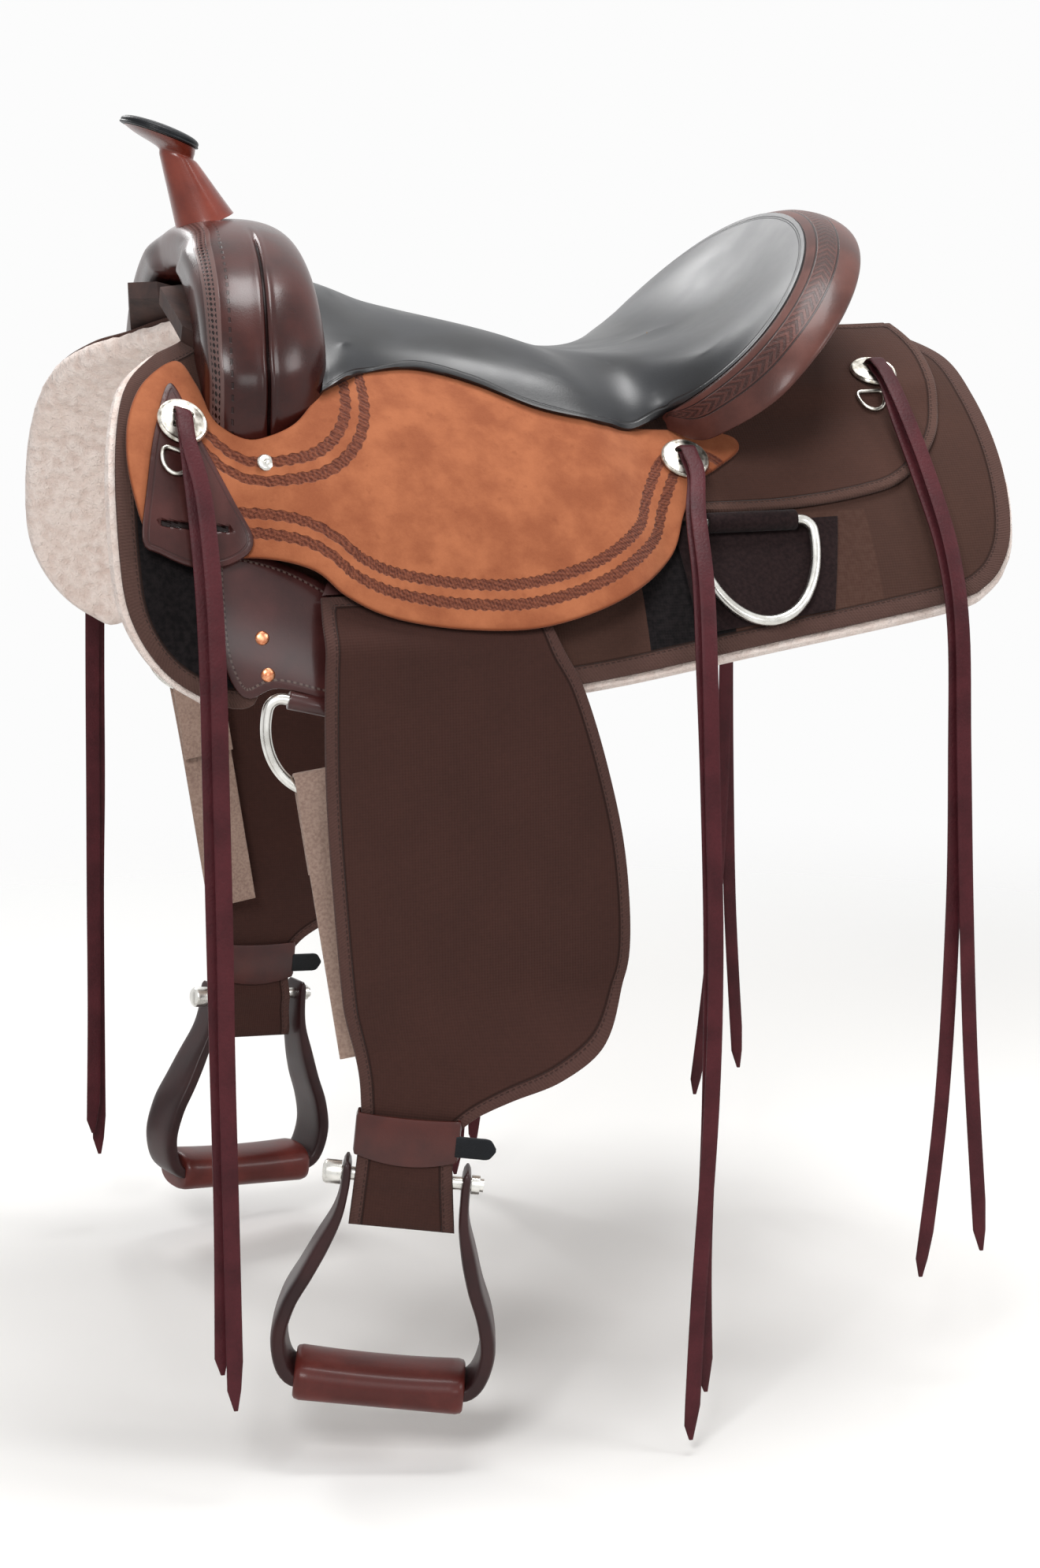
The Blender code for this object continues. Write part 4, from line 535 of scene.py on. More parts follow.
def wool_lift(x, s, distance):
    """The wool's lower face: random curls of two sizes, flat at the very edge."""
    curls = hills(x, s, 0.0065, 3) * 0.65 + hills(x, s, 0.013, 5) * 0.35
    return -FLEECE + 0.0012 - WOOL_CURL * (curls - 0.35) * ease(distance / 0.006)


def wool_top(x, s, distance):
    """The wool's upper face: flat below the skirt, with random dips where its edge shows."""
    return -LAYER_GAP - WOOL_DIP * hills(x, s, 0.006, 8) * (distance < WOOL_SHOWN)


for side_name, side in SIDES:
    name = f"wool_{side_name}"
    fleece = side_panel(name, side, fleece_border, wool_lift, wool_top, wool, spacing=0.0042, edge=0.0060)
    dress(fleece, "saddle", "fleece", f"fleece_{side_name}")


# Skirts
# The big side panels are closely woven nylon cloth over a stiff core, bound all round with a
# folded braid. Black suede shows in front, under the jockey, and in front of the rear ring a black painted
# shadow lies under the jockey's edge.
SKIRT, BRAID = 0.004, 0.0135


def shaded(tone, share):
    """The same dye at a share of its light."""
    return tuple(part * share for part in tone[:3]) + (1,)


def cloth(name, ground, braid_tone, braid=BRAID, suede=None):
    """Woven cloth with a bound edge: two crossing waves of thread, a braid along the rim with a
    ridge, painted shade in the crease at its inner edge, a line of stitches inside it, and dust
    and wear in broad soft patches."""
    made = Finish(name, Roughness=0.85, Sheen_Weight=0.08, Sheen_Roughness=0.5, Specular_IOR_Level=0.06)
    x, s = made.uv("flat")
    along, distance = made.uv("rim")
    threads = x.wave(0.0022) * 0.5 + s.wave(0.0022) * 0.5
    plain = made.noise(0.0035, 3.0).rise(0.25, 0.75) * 0.5 + made.noise(0.050, 2.0).rise(0.3, 0.7) * 0.5
    shade = made.mix(shaded(ground, 0.74), ground, plain * 0.7 + threads * 0.15 + 0.2)
    if suede is not None:
        tone, mask = suede(made, x, s)
        shade = made.mix(shade, tone, mask)
    on_braid = 1 - distance.rise(braid - 0.0006, braid)
    ribs = (along + distance * 0.5).wave(0.0024) * 0.5 + 0.5
    edge_tone = made.mix(shaded(braid_tone, 0.72), braid_tone, ribs * 0.45 + plain * 0.55)
    shade = made.mix(shade, edge_tone, on_braid)
    # Painted shade: a dark line in the crease where the braid meets the cloth.
    crease = distance.near(braid, 0.0004, 0.0012)
    shade = made.mix(shade, shaded(ground, 0.4), crease * 0.8)
    stitch = distance.near(braid - 0.0022, 0.0003, 0.0003) * along.wave(0.0046).rise(-0.45, -0.15)
    shade = made.mix(shade, shaded(braid_tone, 0.45), stitch * 0.8)
    made.set(Base_Color=shade, Roughness=0.80 + plain * 0.15)
    weave = made.relief(threads * 0.5 + 0.5, 0.00022)
    made.set(Normal=made.relief(on_braid - stitch * 0.5 + ribs * on_braid * 0.2, 0.0009, weave))
    return made


def skirt_suede_and_shadow(made, x, s):
    """Black suede at the front below the jockey, and a black painted shadow under the jockey's edge in front
    of the rear ring.
    """
    front = (1 - x.rise(-0.206, -0.203)) * s.rise(0.262, 0.266)
    # Painted shadow: the cloth in front of the rear ring is painted black where the jockey's edge shades it.
    rear = x.rise(0.070, 0.071) * (1 - x.rise(0.140, 0.141)) * s.rise(0.225, 0.227)
    strip = x.rise(0.105, 0.106) * (1 - x.rise(0.264, 0.2645)) * s.rise(0.222, 0.224)
    nap = made.noise(0.004, 3.0).rise(0.3, 0.7)
    tone = made.mix(dye(15, 13, 14), dye(28, 24, 25), nap)
    brown = made.mix(dye(74, 50, 42), dye(88, 64, 55), nap)
    mask = front.either(rear)
    return made.mix(brown, tone, mask), mask.either(strip * 0.4)


skirt_cloth = cloth("skirt_cloth", dye(72, 50, 43), dye(88, 65, 59), suede=skirt_suede_and_shadow)
for side_name, side in SIDES:
    name = f"skirt_cover_{side_name}"
    skirt = side_panel(name, side, cover_border, 0.0, SKIRT, skirt_cloth, spacing=0.006, edge=0.0018)
    dress(skirt, "saddle", "woven_cloth", f"skirt_{side_name}")


# Tree
# Under the leather a wooden tree carries everything: two bars along the horse's back in dark
# hide, the fork in front and the ground seat between them. They show only from below.
def build_wood():
    """Pale wood with a grain that is drawn out along the back."""
    wood = Finish("tree_wood", Roughness=0.6)
    stretched = wood.node("ShaderNodeMapping", None, {"Vector": wood.place(), "Scale": (0.12, 1.0, 1.0)})
    grain = wood.noise(0.004, 3.0, stretched)
    wood.set(Base_Color=wood.mix(dye(158, 124, 84), dye(200, 166, 120), grain.rise(0.3, 0.7)))
    wood.set(Normal=wood.relief(grain, 0.0004))
    return wood


def build_bar_hide():
    """Dark mottled hide, shrunk on to the bars."""
    hide = Finish("bar_hide", Roughness=0.7)
    mottle = hide.noise(0.012, 4.0)
    hide.set(Base_Color=hide.mix(dye(40, 24, 21), dye(64, 42, 36), mottle.rise(0.3, 0.7)))
    hide.set(Normal=hide.relief(mottle, 0.0006))
    return hide


wood, bar_hide = build_wood(), build_bar_hide()
for node in ("tree_fork", "tree_bar_left", "tree_bar_right", "ground_seat"):
    finish = bar_hide if "bar" in node else wood
    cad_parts[node].data.materials.clear()
    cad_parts[node].data.materials.append(finish.material)


# Front rigging
# A glossy leather plate is sewn low on each skirt, with two copper rivets, and folds round
# the bar of a big steel D. The cinch strap, flesh side out, hangs from the D's bow.
PLATE, PORES = 0.0030, 0.0011


def glossy_leather(name, dark, light, roughness, coat, seams=None, thread_tone=None):
    """Smooth hide: fine pebbled grain, soft cloudy colour and a wax coat. Seams, where given,
    return a mask of thread, a mask of what is sunk and darkened (painted shade in slits, slots
    and grooves, and the stamped leather's own darker colour), and a height to add."""
    made = Finish(name, Coat_Roughness=0.18, Specular_IOR_Level=0.2)
    cloud = made.noise(0.045, 3.0).rise(0.30, 0.72)
    pores = made.cells(PORES)
    fine = made.noise(0.0030, 3.0)
    shade = made.mix(dark, light, cloud * 0.75 + fine * 0.25)
    height = pores * 0.35 + fine * 0.4
    if seams is not None:
        thread, sunk, raised = seams(made)
        shade = made.mix(shade, thread_tone or shaded(dark, 0.50), thread * 0.8)
        # Sunk places are darkened: painted shade in slits, slots and stitch grooves, and the darker colour of
        # stamped and creased leather.
        shade = made.mix(shade, shaded(dark, 0.20), sunk * 0.9)
        height = height * 0.3 + raised - sunk * 2.0
    made.set(Base_Color=shade, Roughness=roughness + cloud * 0.10, Coat_Weight=coat)
    made.set(Normal=made.relief(height, 0.00035 if seams is not None else 0.00012))
    return made


def rim_stitches(inset, pitch=0.0042):
    """A row of stitches at one distance from the rim, in a shallow groove."""

    def seams(made):
        """Stitches are a wave along the rim, kept to a narrow band about that distance."""
        along, distance = made.uv("rim")
        groove = distance.near(inset, 0.0004, 0.0007)
        thread = groove * along.wave(pitch).rise(-0.35, 0.0)
        # The groove is returned as sunk, which darkens it with painted shade.
        return thread, groove * 0.35, thread * 0.9

    return seams


pale_thread = dye(120, 100, 92)
plate_leather = glossy_leather(
    "plate_leather", dye(46, 18, 17), dye(74, 36, 34), 0.32, 0.45, rim_stitches(0.006), pale_thread
)
steel = Finish("bright_steel", Metallic=1.0)
scuffs = steel.noise(0.012, 4.0)
steel.set(Base_Color=steel.mix(dye(196, 194, 188), dye(226, 225, 220), scuffs.rise(0.3, 0.7)))
steel.set(Roughness=0.20 + scuffs * 0.16, Normal=steel.relief(scuffs, 0.0002))
copper = Finish("copper", Metallic=1.0)
tarnish = copper.noise(0.003, 3.0)
copper.set(Base_Color=copper.mix(dye(188, 112, 78), dye(236, 172, 132), tarnish.rise(0.35, 0.65)))
copper.set(Roughness=0.25 + tarnish * 0.2)


def unit(vectors):
    """The same directions, each one unit long."""
    return vectors / np.linalg.norm(vectors, axis=-1, keepdims=True)


def full_turn(count):
    """That many even steps of angle round a circle."""
    return np.linspace(0, 2 * math.pi, count, endpoint=False)


def side_tangent(x, s, lift, side):
    """The unit direction along the saddle's side to the rear."""
    return unit(side_point(x + 0.01, s, lift, side) - side_point(x - 0.01, s, lift, side))


def stand_at(origin, x_axis, y_axis, z_axis):
    """A frame: three axes and an origin in one four by four table."""
    made = np.eye(4)
    made[:3, :3] = np.array((x_axis, y_axis, z_axis)).T
    made[:3, 3] = origin
    return made


def moved(points, stand):
    """Points of a frame's own measure, turned and carried to where it stands."""
    return np.asarray(points) @ stand[:3, :3].T + stand[:3, 3]


def hanging_frame(top, foot, rear):
    """X along rear, and -Z from the top towards the foot."""
    up = top - foot
    up = unit(up - rear * (up @ rear))
    return stand_at(top, rear, np.cross(up, rear), up)


def side_frame(x, s, lift, side):
    """On the saddle's side: X to the rear, Z straight out of the surface."""
    rear = side_tangent(x, s, lift, side)
    down = side_point(x, s + 0.01, lift, side) - side_point(x, s - 0.01, lift, side)
    out = unit(np.cross(rear, down) * side)
    out = out if out[2] > 0 else -out
    return stand_at(side_point(x, s, lift, side), rear, np.cross(out, rear), out)


def loft(name, rings, finish, closed=False, sharp=40):
    """A solid skinned over rings of points, row after row, with its ends closed by fans of
    faces about their middles. Its flat map runs along the rows and around the ring, in metres."""
    rings = np.concatenate((rings, rings[:, :1]), 1)
    if closed:
        rings = np.concatenate((rings, rings[:1]), 0)
    rows, columns = rings.shape[:2]
    lengths = np.linalg.norm(np.diff(rings, axis=0), axis=2).mean(1)
    widths = np.linalg.norm(np.diff(rings, axis=1), axis=2).max(0)
    u = np.concatenate(([0], np.cumsum(lengths)))
    v = np.concatenate(([0], np.cumsum(widths)))
    flat = np.stack(np.meshgrid(u, v, indexing="ij"), -1).reshape(-1, 2)
    points = rings.reshape(-1, 3)
    index = np.arange(rows * columns).reshape(rows, columns)
    quads = np.stack((index[:-1, :-1], index[1:, :-1], index[1:, 1:], index[:-1, 1:]), -1).reshape(-1, 4)
    faces = [quads]
    if not closed:
        for row, place in ((0, len(points)), (rows - 1, len(points) + 1)):
            ends = index[row]
            faces.append(np.stack((ends[:-1], ends[1:], np.full(columns - 1, place)), -1))
        points = np.concatenate((points, rings[[0, -1], :-1].mean(1)))
        flat = np.concatenate((flat, [(u[0], v.mean()), (u[-1], v.mean())]))
    return add_piece(name, points, faces, finish, {"flat": flat}, sharp, weld=2e-6)


def wire_ring(name, stand, width, drop, corner, wire, finish):
    """A bent wire D: a straight bar along X, two small corners and a half oval below."""
    half = width / 2
    turn = np.linspace(0, math.pi, 49)
    bow = np.stack((half * np.cos(turn), -corner - (drop - corner) * np.sin(turn)), -1)
    elbow = np.linspace(0, math.pi / 2, 8)[1:-1]
    right = np.stack((half - corner + corner * np.sin(elbow), corner * (np.cos(elbow) - 1)), -1)
    left = right[::-1] * (-1, 1)
    bar = np.stack((np.linspace(-half + corner, half - corner, 12), np.zeros(12)), -1)
    line = np.concatenate((bar, right, bow, left))
    along = unit(np.roll(line, -1, 0) - np.roll(line, 1, 0))
    turn = full_turn(24)
    across = np.stack((along[:, 1], -along[:, 0]), -1)[:, None] * np.cos(turn)[:, None] * wire / 2
    rings = np.empty((len(line), 24, 3))
    rings[..., [0, 2]] = line[:, None] + across
    rings[..., 1] = np.sin(turn) * wire / 2
    return loft(name, moved(rings, stand), finish, closed=True)


def sleeve(name, stand, half, radius, finish, soft=0.0008):
    """A short round roll along X with softened ends, for leather folded round a bar."""
    along = np.array((-half, -half + soft * 0.3, -half + soft, half - soft, half - soft * 0.3, half))
    size = radius - soft * np.array((1.0, 0.3, 0.0, 0.0, 0.3, 1.0))
    turn = full_turn(40)
    rings = np.empty((6, 40, 3))
    rings[..., 0] = along[:, None]
    rings[..., 1] = size[:, None] * np.cos(turn)
    rings[..., 2] = size[:, None] * np.sin(turn)
    return loft(name, moved(rings, stand), finish, sharp=60)


def turned(name, stand, profile, finish, steps, relief=None):
    """A round piece: a profile of (radius, height) carried round Z, with a height that relief
    may add at each place."""
    radius, height = np.array(profile).T
    turn = full_turn(steps)
    x, y = radius[:, None] * np.cos(turn), radius[:, None] * np.sin(turn)
    z = np.repeat(height[:, None], steps, 1)
    if relief is not None:
        z = z + relief(x, y)
    return loft(name, moved(np.stack((x, y, z), -1), stand), finish, sharp=50)


def front_ring_stand(side):
    """Where the front ring's bar lies in its fold, with the ring hanging plumb."""
    lift = SKIRT + LAYER_GAP + PLATE / 2
    s = hem(FRONT_RING_X) + 0.002
    top = side_point(FRONT_RING_X, s, lift, side)
    return hanging_frame(top, top - np.array((0, 0, RING_DROP)), side_tangent(FRONT_RING_X, s, lift, side))


ring_half = RING_WIDTH / 2 - RING_CORNER - 0.003
plate_foot = hem(FRONT_RING_X) - 0.004
plate_border = curve(
    [
        (-0.256, 0.306), (-0.257, 0.350), (-0.254, 0.376), (-0.246, 0.394),
        (FRONT_RING_X - notch_reach - 0.006, hem(-0.23) - 0.002),
        (FRONT_RING_X - ring_half - 0.006, plate_foot), (FRONT_RING_X, plate_foot),
        (FRONT_RING_X + ring_half + 0.004, plate_foot), (-0.120, 0.372), (-0.118, 0.340),
        (-0.150, 0.316), (-0.200, 0.297), (-0.246, 0.297),
    ],
    0.004,
    closed=True,
)
RIVETS = ((-0.2245, 0.3540), (-0.2215, 0.3790))
RIVET_DOME = [(0.0, 0.0022), (0.0022, 0.0020), (0.0042, 0.0013), (0.0052, 0.0004), (0.0052, 0.0), (0.0, 0.0)]
PLATE_UNDER, PLATE_OVER = SKIRT + LAYER_GAP, SKIRT + LAYER_GAP + PLATE
FOLD_RADIUS = RING_WIRE / 2 + RING_PLAY + LOOP_WALL
for side_name, side in SIDES:
    name = f"rigging_plate_{side_name}"
    plate = side_panel(
        name, side, plate_border, PLATE_UNDER, PLATE_OVER, plate_leather, spacing=0.004, edge=0.0010
    )
    dress(plate, "saddle", "glossy_leather", f"front_rigging_plate_{side_name}")
    stand = front_ring_stand(side)
    roll = sleeve(f"rigging_roll_{side_name}", stand, ring_half, FOLD_RADIUS, plate_leather)
    dress(roll, "saddle", "glossy_leather")
    ring = wire_ring(f"front_ring_{side_name}", stand, RING_WIDTH, RING_DROP, RING_CORNER, RING_WIRE, steel)
    dress(ring, f"front_dee_{side_name}", "steel", f"front_rigging_dee_{side_name}")
    for number, (x, s) in enumerate(RIVETS, 1):
        rivet_stand = side_frame(x, s, PLATE_OVER - 0.0003, side)
        rivet = turned(f"rivet_{number}_{side_name}", rivet_stand, RIVET_DOME, copper, 32)
        dress(rivet, "saddle", "steel")


# Cinch straps
# The latigo on the near side and the off billet on the other are one strap of thick
# latigo leather each, folded over the bow of the front ring, flesh side out.
STRAP, STRAP_WIDTH, STRAP_SLANT = 0.003, 0.044, math.radians(22)


def build_flesh():
    """The rough inner side of latigo leather: greyish nap in broad patches."""
    flesh = Finish("flesh_side_leather", Roughness=0.9, Sheen_Weight=0.2, Specular_IOR_Level=0.07)
    nap = flesh.noise(0.0022, 4.0)
    wide = flesh.noise(0.030, 3.0)
    shade = flesh.mix(dye(128, 104, 94), dye(176, 152, 138), nap.rise(0.28, 0.72) * 0.5 + wide * 0.5)
    flesh.set(Base_Color=shade, Normal=flesh.relief(nap, 0.0005))
    return flesh


flesh = build_flesh()


def strip(name, rows, thickness, finish, round_edge=0.0012, pieces=6):
    """A strap: rows of two end points smoothed along its length, given its thickness about
    that middle surface and thinned to a soft round at both edges."""
    rows = np.array(rows, float)
    smooth = np.stack([even_curve(rows[:, k], pieces) for k in (0, 1)], 1)
    width = np.linalg.norm(smooth[:, 1] - smooth[:, 0], axis=1).max()
    inset = round_edge / width
    shares = np.array((0, 0.3 * inset, inset, 0.25, 0.5, 0.75, 1 - inset, 1 - 0.3 * inset, 1))
    thin = np.array((0.45, 0.85, 1, 1, 1, 1, 1, 0.85, 0.45))
    middle = smooth[:, :1] + (smooth[:, 1:] - smooth[:, :1]) * shares[:, None]
    along = np.gradient(middle, axis=0)
    across = smooth[:, 1:] - smooth[:, :1]
    normal = np.cross(along, np.broadcast_to(across, along.shape))
    normal /= np.linalg.norm(normal, axis=2, keepdims=True) + 1e-12
    reach = normal * (thickness / 2 * thin)[:, None]
    rings = np.concatenate((middle + reach, (middle - reach)[:, ::-1]), 1)
    return loft(name, rings, finish, sharp=55)


def even_curve(points, pieces):
    """A smooth line through the points with the same number of pieces on every span."""
    count = len(points)
    before = points[np.maximum(np.arange(count - 1) - 1, 0)][:, None]
    start, end = points[:-1][:, None], points[1:][:, None]
    after = points[np.minimum(np.arange(count - 1) + 2, count - 1)][:, None]
    t = (np.arange(pieces) / pieces)[None, :, None]
    line = between(before, start, end, after, t)
    return np.concatenate((line.reshape(-1, points.shape[1]), points[-1:]))


for side_name, side, title in (("left", -1, "latigo"), ("right", 1, "off_billet")):
    stand = front_ring_stand(side)
    bow = moved((0.012, 0, 0.002 - RING_DROP), stand)
    turn = stand[:3, :3]
    across = turn @ np.array((math.cos(STRAP_SLANT), 0, math.sin(STRAP_SLANT)))
    down = turn @ np.array((math.sin(STRAP_SLANT), 0, -math.cos(STRAP_SLANT)))
    inward = turn @ np.array((0, 1, 0))
    inward = -inward if inward[1] * side > 0 else inward
    reach = RING_WIRE / 2 + STRAP / 2 + RING_PLAY
    line = [bow + inward * reach + down * 0.060, bow + inward * reach]
    for k in range(7):
        angle = math.pi * k / 6
        line.append(bow + inward * reach * math.cos(angle) - down * (0.0115 + reach * 0.8 * math.sin(angle)))
    line += [bow - inward * reach, bow - inward * (reach - 0.003) + down * 0.032]
    line += [bow - inward * 0.0012 + down * drop for drop in (0.070, 0.130, 0.200)]
    rows = [(point - across * STRAP_WIDTH / 2, point + across * STRAP_WIDTH / 2) for point in line]
    strap = strip(f"{title}_strap_{side_name}", rows, STRAP, flesh)
    dress(strap, f"front_dee_{side_name}", "flesh_side_leather", f"{title}_{side_name}")


# Rear rigging
# A dark suede patch below the rear jockey is folded round the bar of a second steel D, which
# lies flat on it. A rear cinch would buckle here.
REAR_RING_X, REAR_RING_S, REAR_RING_DROP, REAR_RING_WIDTH = 0.165, 0.2345, 0.082, 0.098
PATCH = 0.002
suede = Finish("dark_suede", Roughness=0.95, Sheen_Weight=0.08, Specular_IOR_Level=0.05)
nap = suede.noise(0.0028, 4.0)
worn = nap.rise(0.3, 0.7) * 0.6 + suede.noise(0.03, 2.0) * 0.4
suede.set(Base_Color=suede.mix(dye(26, 18, 19), dye(44, 32, 32), worn), Normal=suede.relief(nap, 0.0006))
patch_border = curve(
    [
        (0.104, 0.232), (0.104, 0.232), (0.240, 0.229), (0.240, 0.229), (0.222, 0.306), (0.222, 0.306),
        (0.110, 0.320), (0.110, 0.320),
    ],
    0.005,
    closed=True,
)
for side_name, side in SIDES:
    name = f"rigging_patch_{side_name}"
    patch = side_panel(name, side, patch_border, PLATE_UNDER, PLATE_UNDER + PATCH, suede, edge=0.0008)
    dress(patch, "saddle", "dark_suede", f"rear_rigging_panel_{side_name}")
    lift = PLATE_UNDER + PATCH + RING_WIRE / 2 + 0.0025
    top = side_point(REAR_RING_X, REAR_RING_S, lift, side)
    foot = side_point(REAR_RING_X - 0.005, REAR_RING_S + REAR_RING_DROP, lift, side)
    stand = hanging_frame(top, foot, side_tangent(REAR_RING_X, REAR_RING_S, lift, side))
    roll = sleeve(f"patch_roll_{side_name}", stand, ring_half + 0.006, FOLD_RADIUS + 0.001, suede)
    dress(roll, "saddle", "dark_suede")
    sizes = (REAR_RING_WIDTH, REAR_RING_DROP, RING_CORNER, RING_WIRE)
    ring = wire_ring(f"rear_ring_{side_name}", stand, *sizes, steel)
    dress(ring, f"rear_dee_{side_name}", "steel", f"rear_rigging_dee_{side_name}")


# Seat jockeys
# The wide orange panel under the rider's leg is rough-out hide, tooled with two lines of a
# stamped border below the swell and two along its lower edge. It bulges over the fender.
JOCKEY, JOCKEY_FRONT_LIFT, JOCKEY_REAR_LIFT, JOCKEY_BULGE = 0.0045, 0.0085, 0.0102, 0.0275
TOOLING, TOOL_WIDTH = (0.0170, 0.0310), 0.0088
SCREW_PLACE = (-0.212, 0.230)
jockey_points = [
    (-0.264, 0.152), (-0.291, 0.182), (-0.307, 0.216), (-0.313, 0.249), (-0.311, 0.280),
    (-0.302, 0.306), (-0.275, 0.312), (-0.226, 0.300), (-0.187, 0.303), (-0.165, 0.316),
    (-0.131, 0.325), (-0.073, 0.326), (-0.013, 0.319), (0.051, 0.296), (0.094, 0.262), (0.112, 0.227),
    (0.127, 0.200), (0.150, 0.185), (0.172, 0.168), (0.168, 0.154), (0.140, 0.148), (0.085, 0.144),
    (0.050, 0.146), (0.009, 0.136), (-0.036, 0.115), (-0.077, 0.106), (-0.122, 0.116), (-0.146, 0.134),
    (-0.158, 0.154), (-0.173, 0.178), (-0.188, 0.197), (-0.206, 0.208), (-0.224, 0.211),
    (-0.243, 0.198), (-0.252, 0.170),
]
jockey_border = curve(jockey_points, 0.004, closed=True)
lower_guide = [(-0.275, 0.310)] + jockey_points[7:17]
swell_guide = [
    (-0.243, 0.198), (-0.224, 0.212), (-0.206, 0.212), (-0.186, 0.204),
    (-0.170, 0.188), (-0.161, 0.168), (-0.158, 0.140), (-0.158, 0.080),
]
lower_line, swell_line = curve(lower_guide, 0.004), curve(swell_guide, 0.004)


def jockey_lift(x, s=None, distance=None):
    """The jockey lies on the skirt, and stands off it where the fender passes beneath."""
    bulge = ease((x + 0.245) / 0.060) * (1 - ease((x - 0.045) / 0.055))
    plain = np.where(x < -0.1, JOCKEY_FRONT_LIFT, JOCKEY_REAR_LIFT)
    return plain + (JOCKEY_BULGE - plain) * bulge


def build_rough_out():
    """Orange nap in soft clouds. The border's tool is stamped along two guide lines in two rows
    each: a scalloped band of twisted leaves, pressed in and darkened, and the rim is burnished."""
    hide = Finish("rough_out_hide", Roughness=0.82, Sheen_Weight=0.08, Specular_IOR_Level=0.10)
    nap = hide.noise(0.0016, 4.0)
    cloud = hide.noise(0.035, 4.0, roughness=0.6)
    shade = hide.mix(dye(134, 74, 48), dye(170, 104, 70), cloud.rise(0.30, 0.70) * 0.7 + nap * 0.3)
    shade = hide.mix(shade, dye(122, 66, 42), hide.noise(0.009, 3.0).rise(0.62, 0.75) * 0.3)
    tooled = None
    for guide in ("lower", "swell"):
        along, distance = hide.uv(guide)
        scallop = along.wave(0.0070) * 0.0005
        for middle in TOOLING:
            band = (distance + scallop).near(middle, TOOL_WIDTH / 2 - 0.0010, 0.0008)
            band = band * along.rise(0.001, 0.004)
            tooled = band if tooled is None else tooled.either(band)
    along, distance = hide.uv("lower")
    swirl = (along + distance * 0.9).wave(0.0044) * (along - distance * 0.6).wave(0.0070)
    stamp = hide.noise(0.0022, 3.0).rise(0.35, 0.65) * 0.5 + swirl.rise(-0.35, 0.35) * 0.5
    ink = hide.mix(dye(70, 34, 28), dye(122, 70, 52), stamp)
    _, edge = hide.uv("rim")
    shade = hide.mix(shade, ink, tooled * 0.92)
    shade = hide.mix(shade, dye(120, 60, 34), (1 - edge.rise(0.0002, 0.0022)) * 0.7)
    hide.set(Base_Color=shade, Roughness=0.78 + nap * 0.12)
    hide.set(Normal=hide.relief(nap * 0.3 - tooled * (1.6 - stamp * 1.2), 0.0006))
    return hide


def jockey_top(x, s=None, distance=None):
    """The jockey's outer face."""
    return jockey_lift(x) + JOCKEY


rough_out = build_rough_out()
SCREW_HEAD = [(0.0, 0.0011), (0.0012, 0.0012), (0.0024, 0.0026), (0.0052, 0.0023), (0.0068, 0.0010)]
SCREW_HEAD += [(0.0070, 0.0), (0.0, 0.0)]
for side_name, side in SIDES:
    name = f"seat_jockey_hide_{side_name}"
    jockey = side_panel(
        name, side, jockey_border, jockey_lift, jockey_top, rough_out, spacing=0.004, edge=0.0016
    )
    flat = np.empty(len(jockey.data.loops) * 2, np.float32)
    jockey.data.uv_layers["flat"].data.foreach_get("uv", flat)
    flat = flat.reshape(-1, 2).astype(float)
    for guide, line in (("lower", lower_line), ("swell", swell_line)):
        distance, along = measure(flat, line, closed=False)
        layer = jockey.data.uv_layers.new(name=guide)
        layer.data.foreach_set("uv", np.stack((along, distance), -1).astype(np.float32).ravel())
    dress(jockey, "saddle", "rough_out_leather", f"seat_jockey_{side_name}")
    screw_stand = side_frame(*SCREW_PLACE, float(jockey_top(np.array(SCREW_PLACE[0]))) - 0.0006, side)
    dress(turned(f"jockey_screw_{side_name}", screw_stand, SCREW_HEAD, steel, 40), "saddle", "steel")


# Rear jockeys
# Behind the cantle two panels of the skirts' cloth meet on the back. A corded roll runs
# round their edge and a stitched line inside it.
REAR_JOCKEY, REAR_BRAID = 0.0045, 0.0085
BAR_FRONT, BAR_REAR = 0.0183, 0.0090
rear_jockey_border = curve(
    [
        (0.118, 0.150), (0.118, 0.222), (0.118, 0.222), (0.199, 0.221), (0.267, 0.212), (0.304, 0.199),
        (0.338, 0.166), (0.357, 0.123), (0.367, 0.060), (0.364, 0.0), (0.364, 0.0), (0.300, 0.0),
        (0.300, 0.0), (0.240, 0.050), (0.180, 0.100),
    ],
    0.004,
    closed=True,
)


def over_bar(x, s, distance=None):
    """The panel lies over the bar's thin rear end and then steps down on the skirt."""
    thick = BAR_FRONT + (BAR_REAR - BAR_FRONT) * ease((x - 0.150) / 0.185)
    on_bar = 1 - ease((s - 0.100) / 0.035)
    return SKIRT + LAYER_GAP + (thick - SKIRT) * on_bar


def rear_jockey_top(x, s, distance):
    """The outer face, with a corded roll at its edge: half a sine across the braid."""
    return over_bar(x, s) + REAR_JOCKEY + 0.0012 * np.sin(np.pi * np.clip(distance / REAR_BRAID, 0, 1))


jockey_cloth = cloth("rear_jockey_cloth", dye(76, 52, 45), dye(92, 68, 61), braid=REAR_BRAID)
for side_name, side in SIDES:
    name = f"rear_jockey_cover_{side_name}"
    cover = side_panel(
        name, side, rear_jockey_border, over_bar, rear_jockey_top, jockey_cloth, edge=0.0018
    )
    dress(cover, "saddle", "woven_cloth", f"rear_jockey_{side_name}")


# Fork cover
# The swells are one wet-moulded hide, waxed to a gloss. It closes in a laced seam on the front
# and a tight welt down the middle of each swell.
FORK_X, FORK_DEPTH, FORK_HEIGHT, FORK_WIDTH, GULLET_HEIGHT = -0.197, 0.088, 0.122, 0.376, 0.084
ARCH_STEPS, ARCH_ROUND = 14, 240
LACE_SHARE, WELT_TURN = 0.903, 0.12


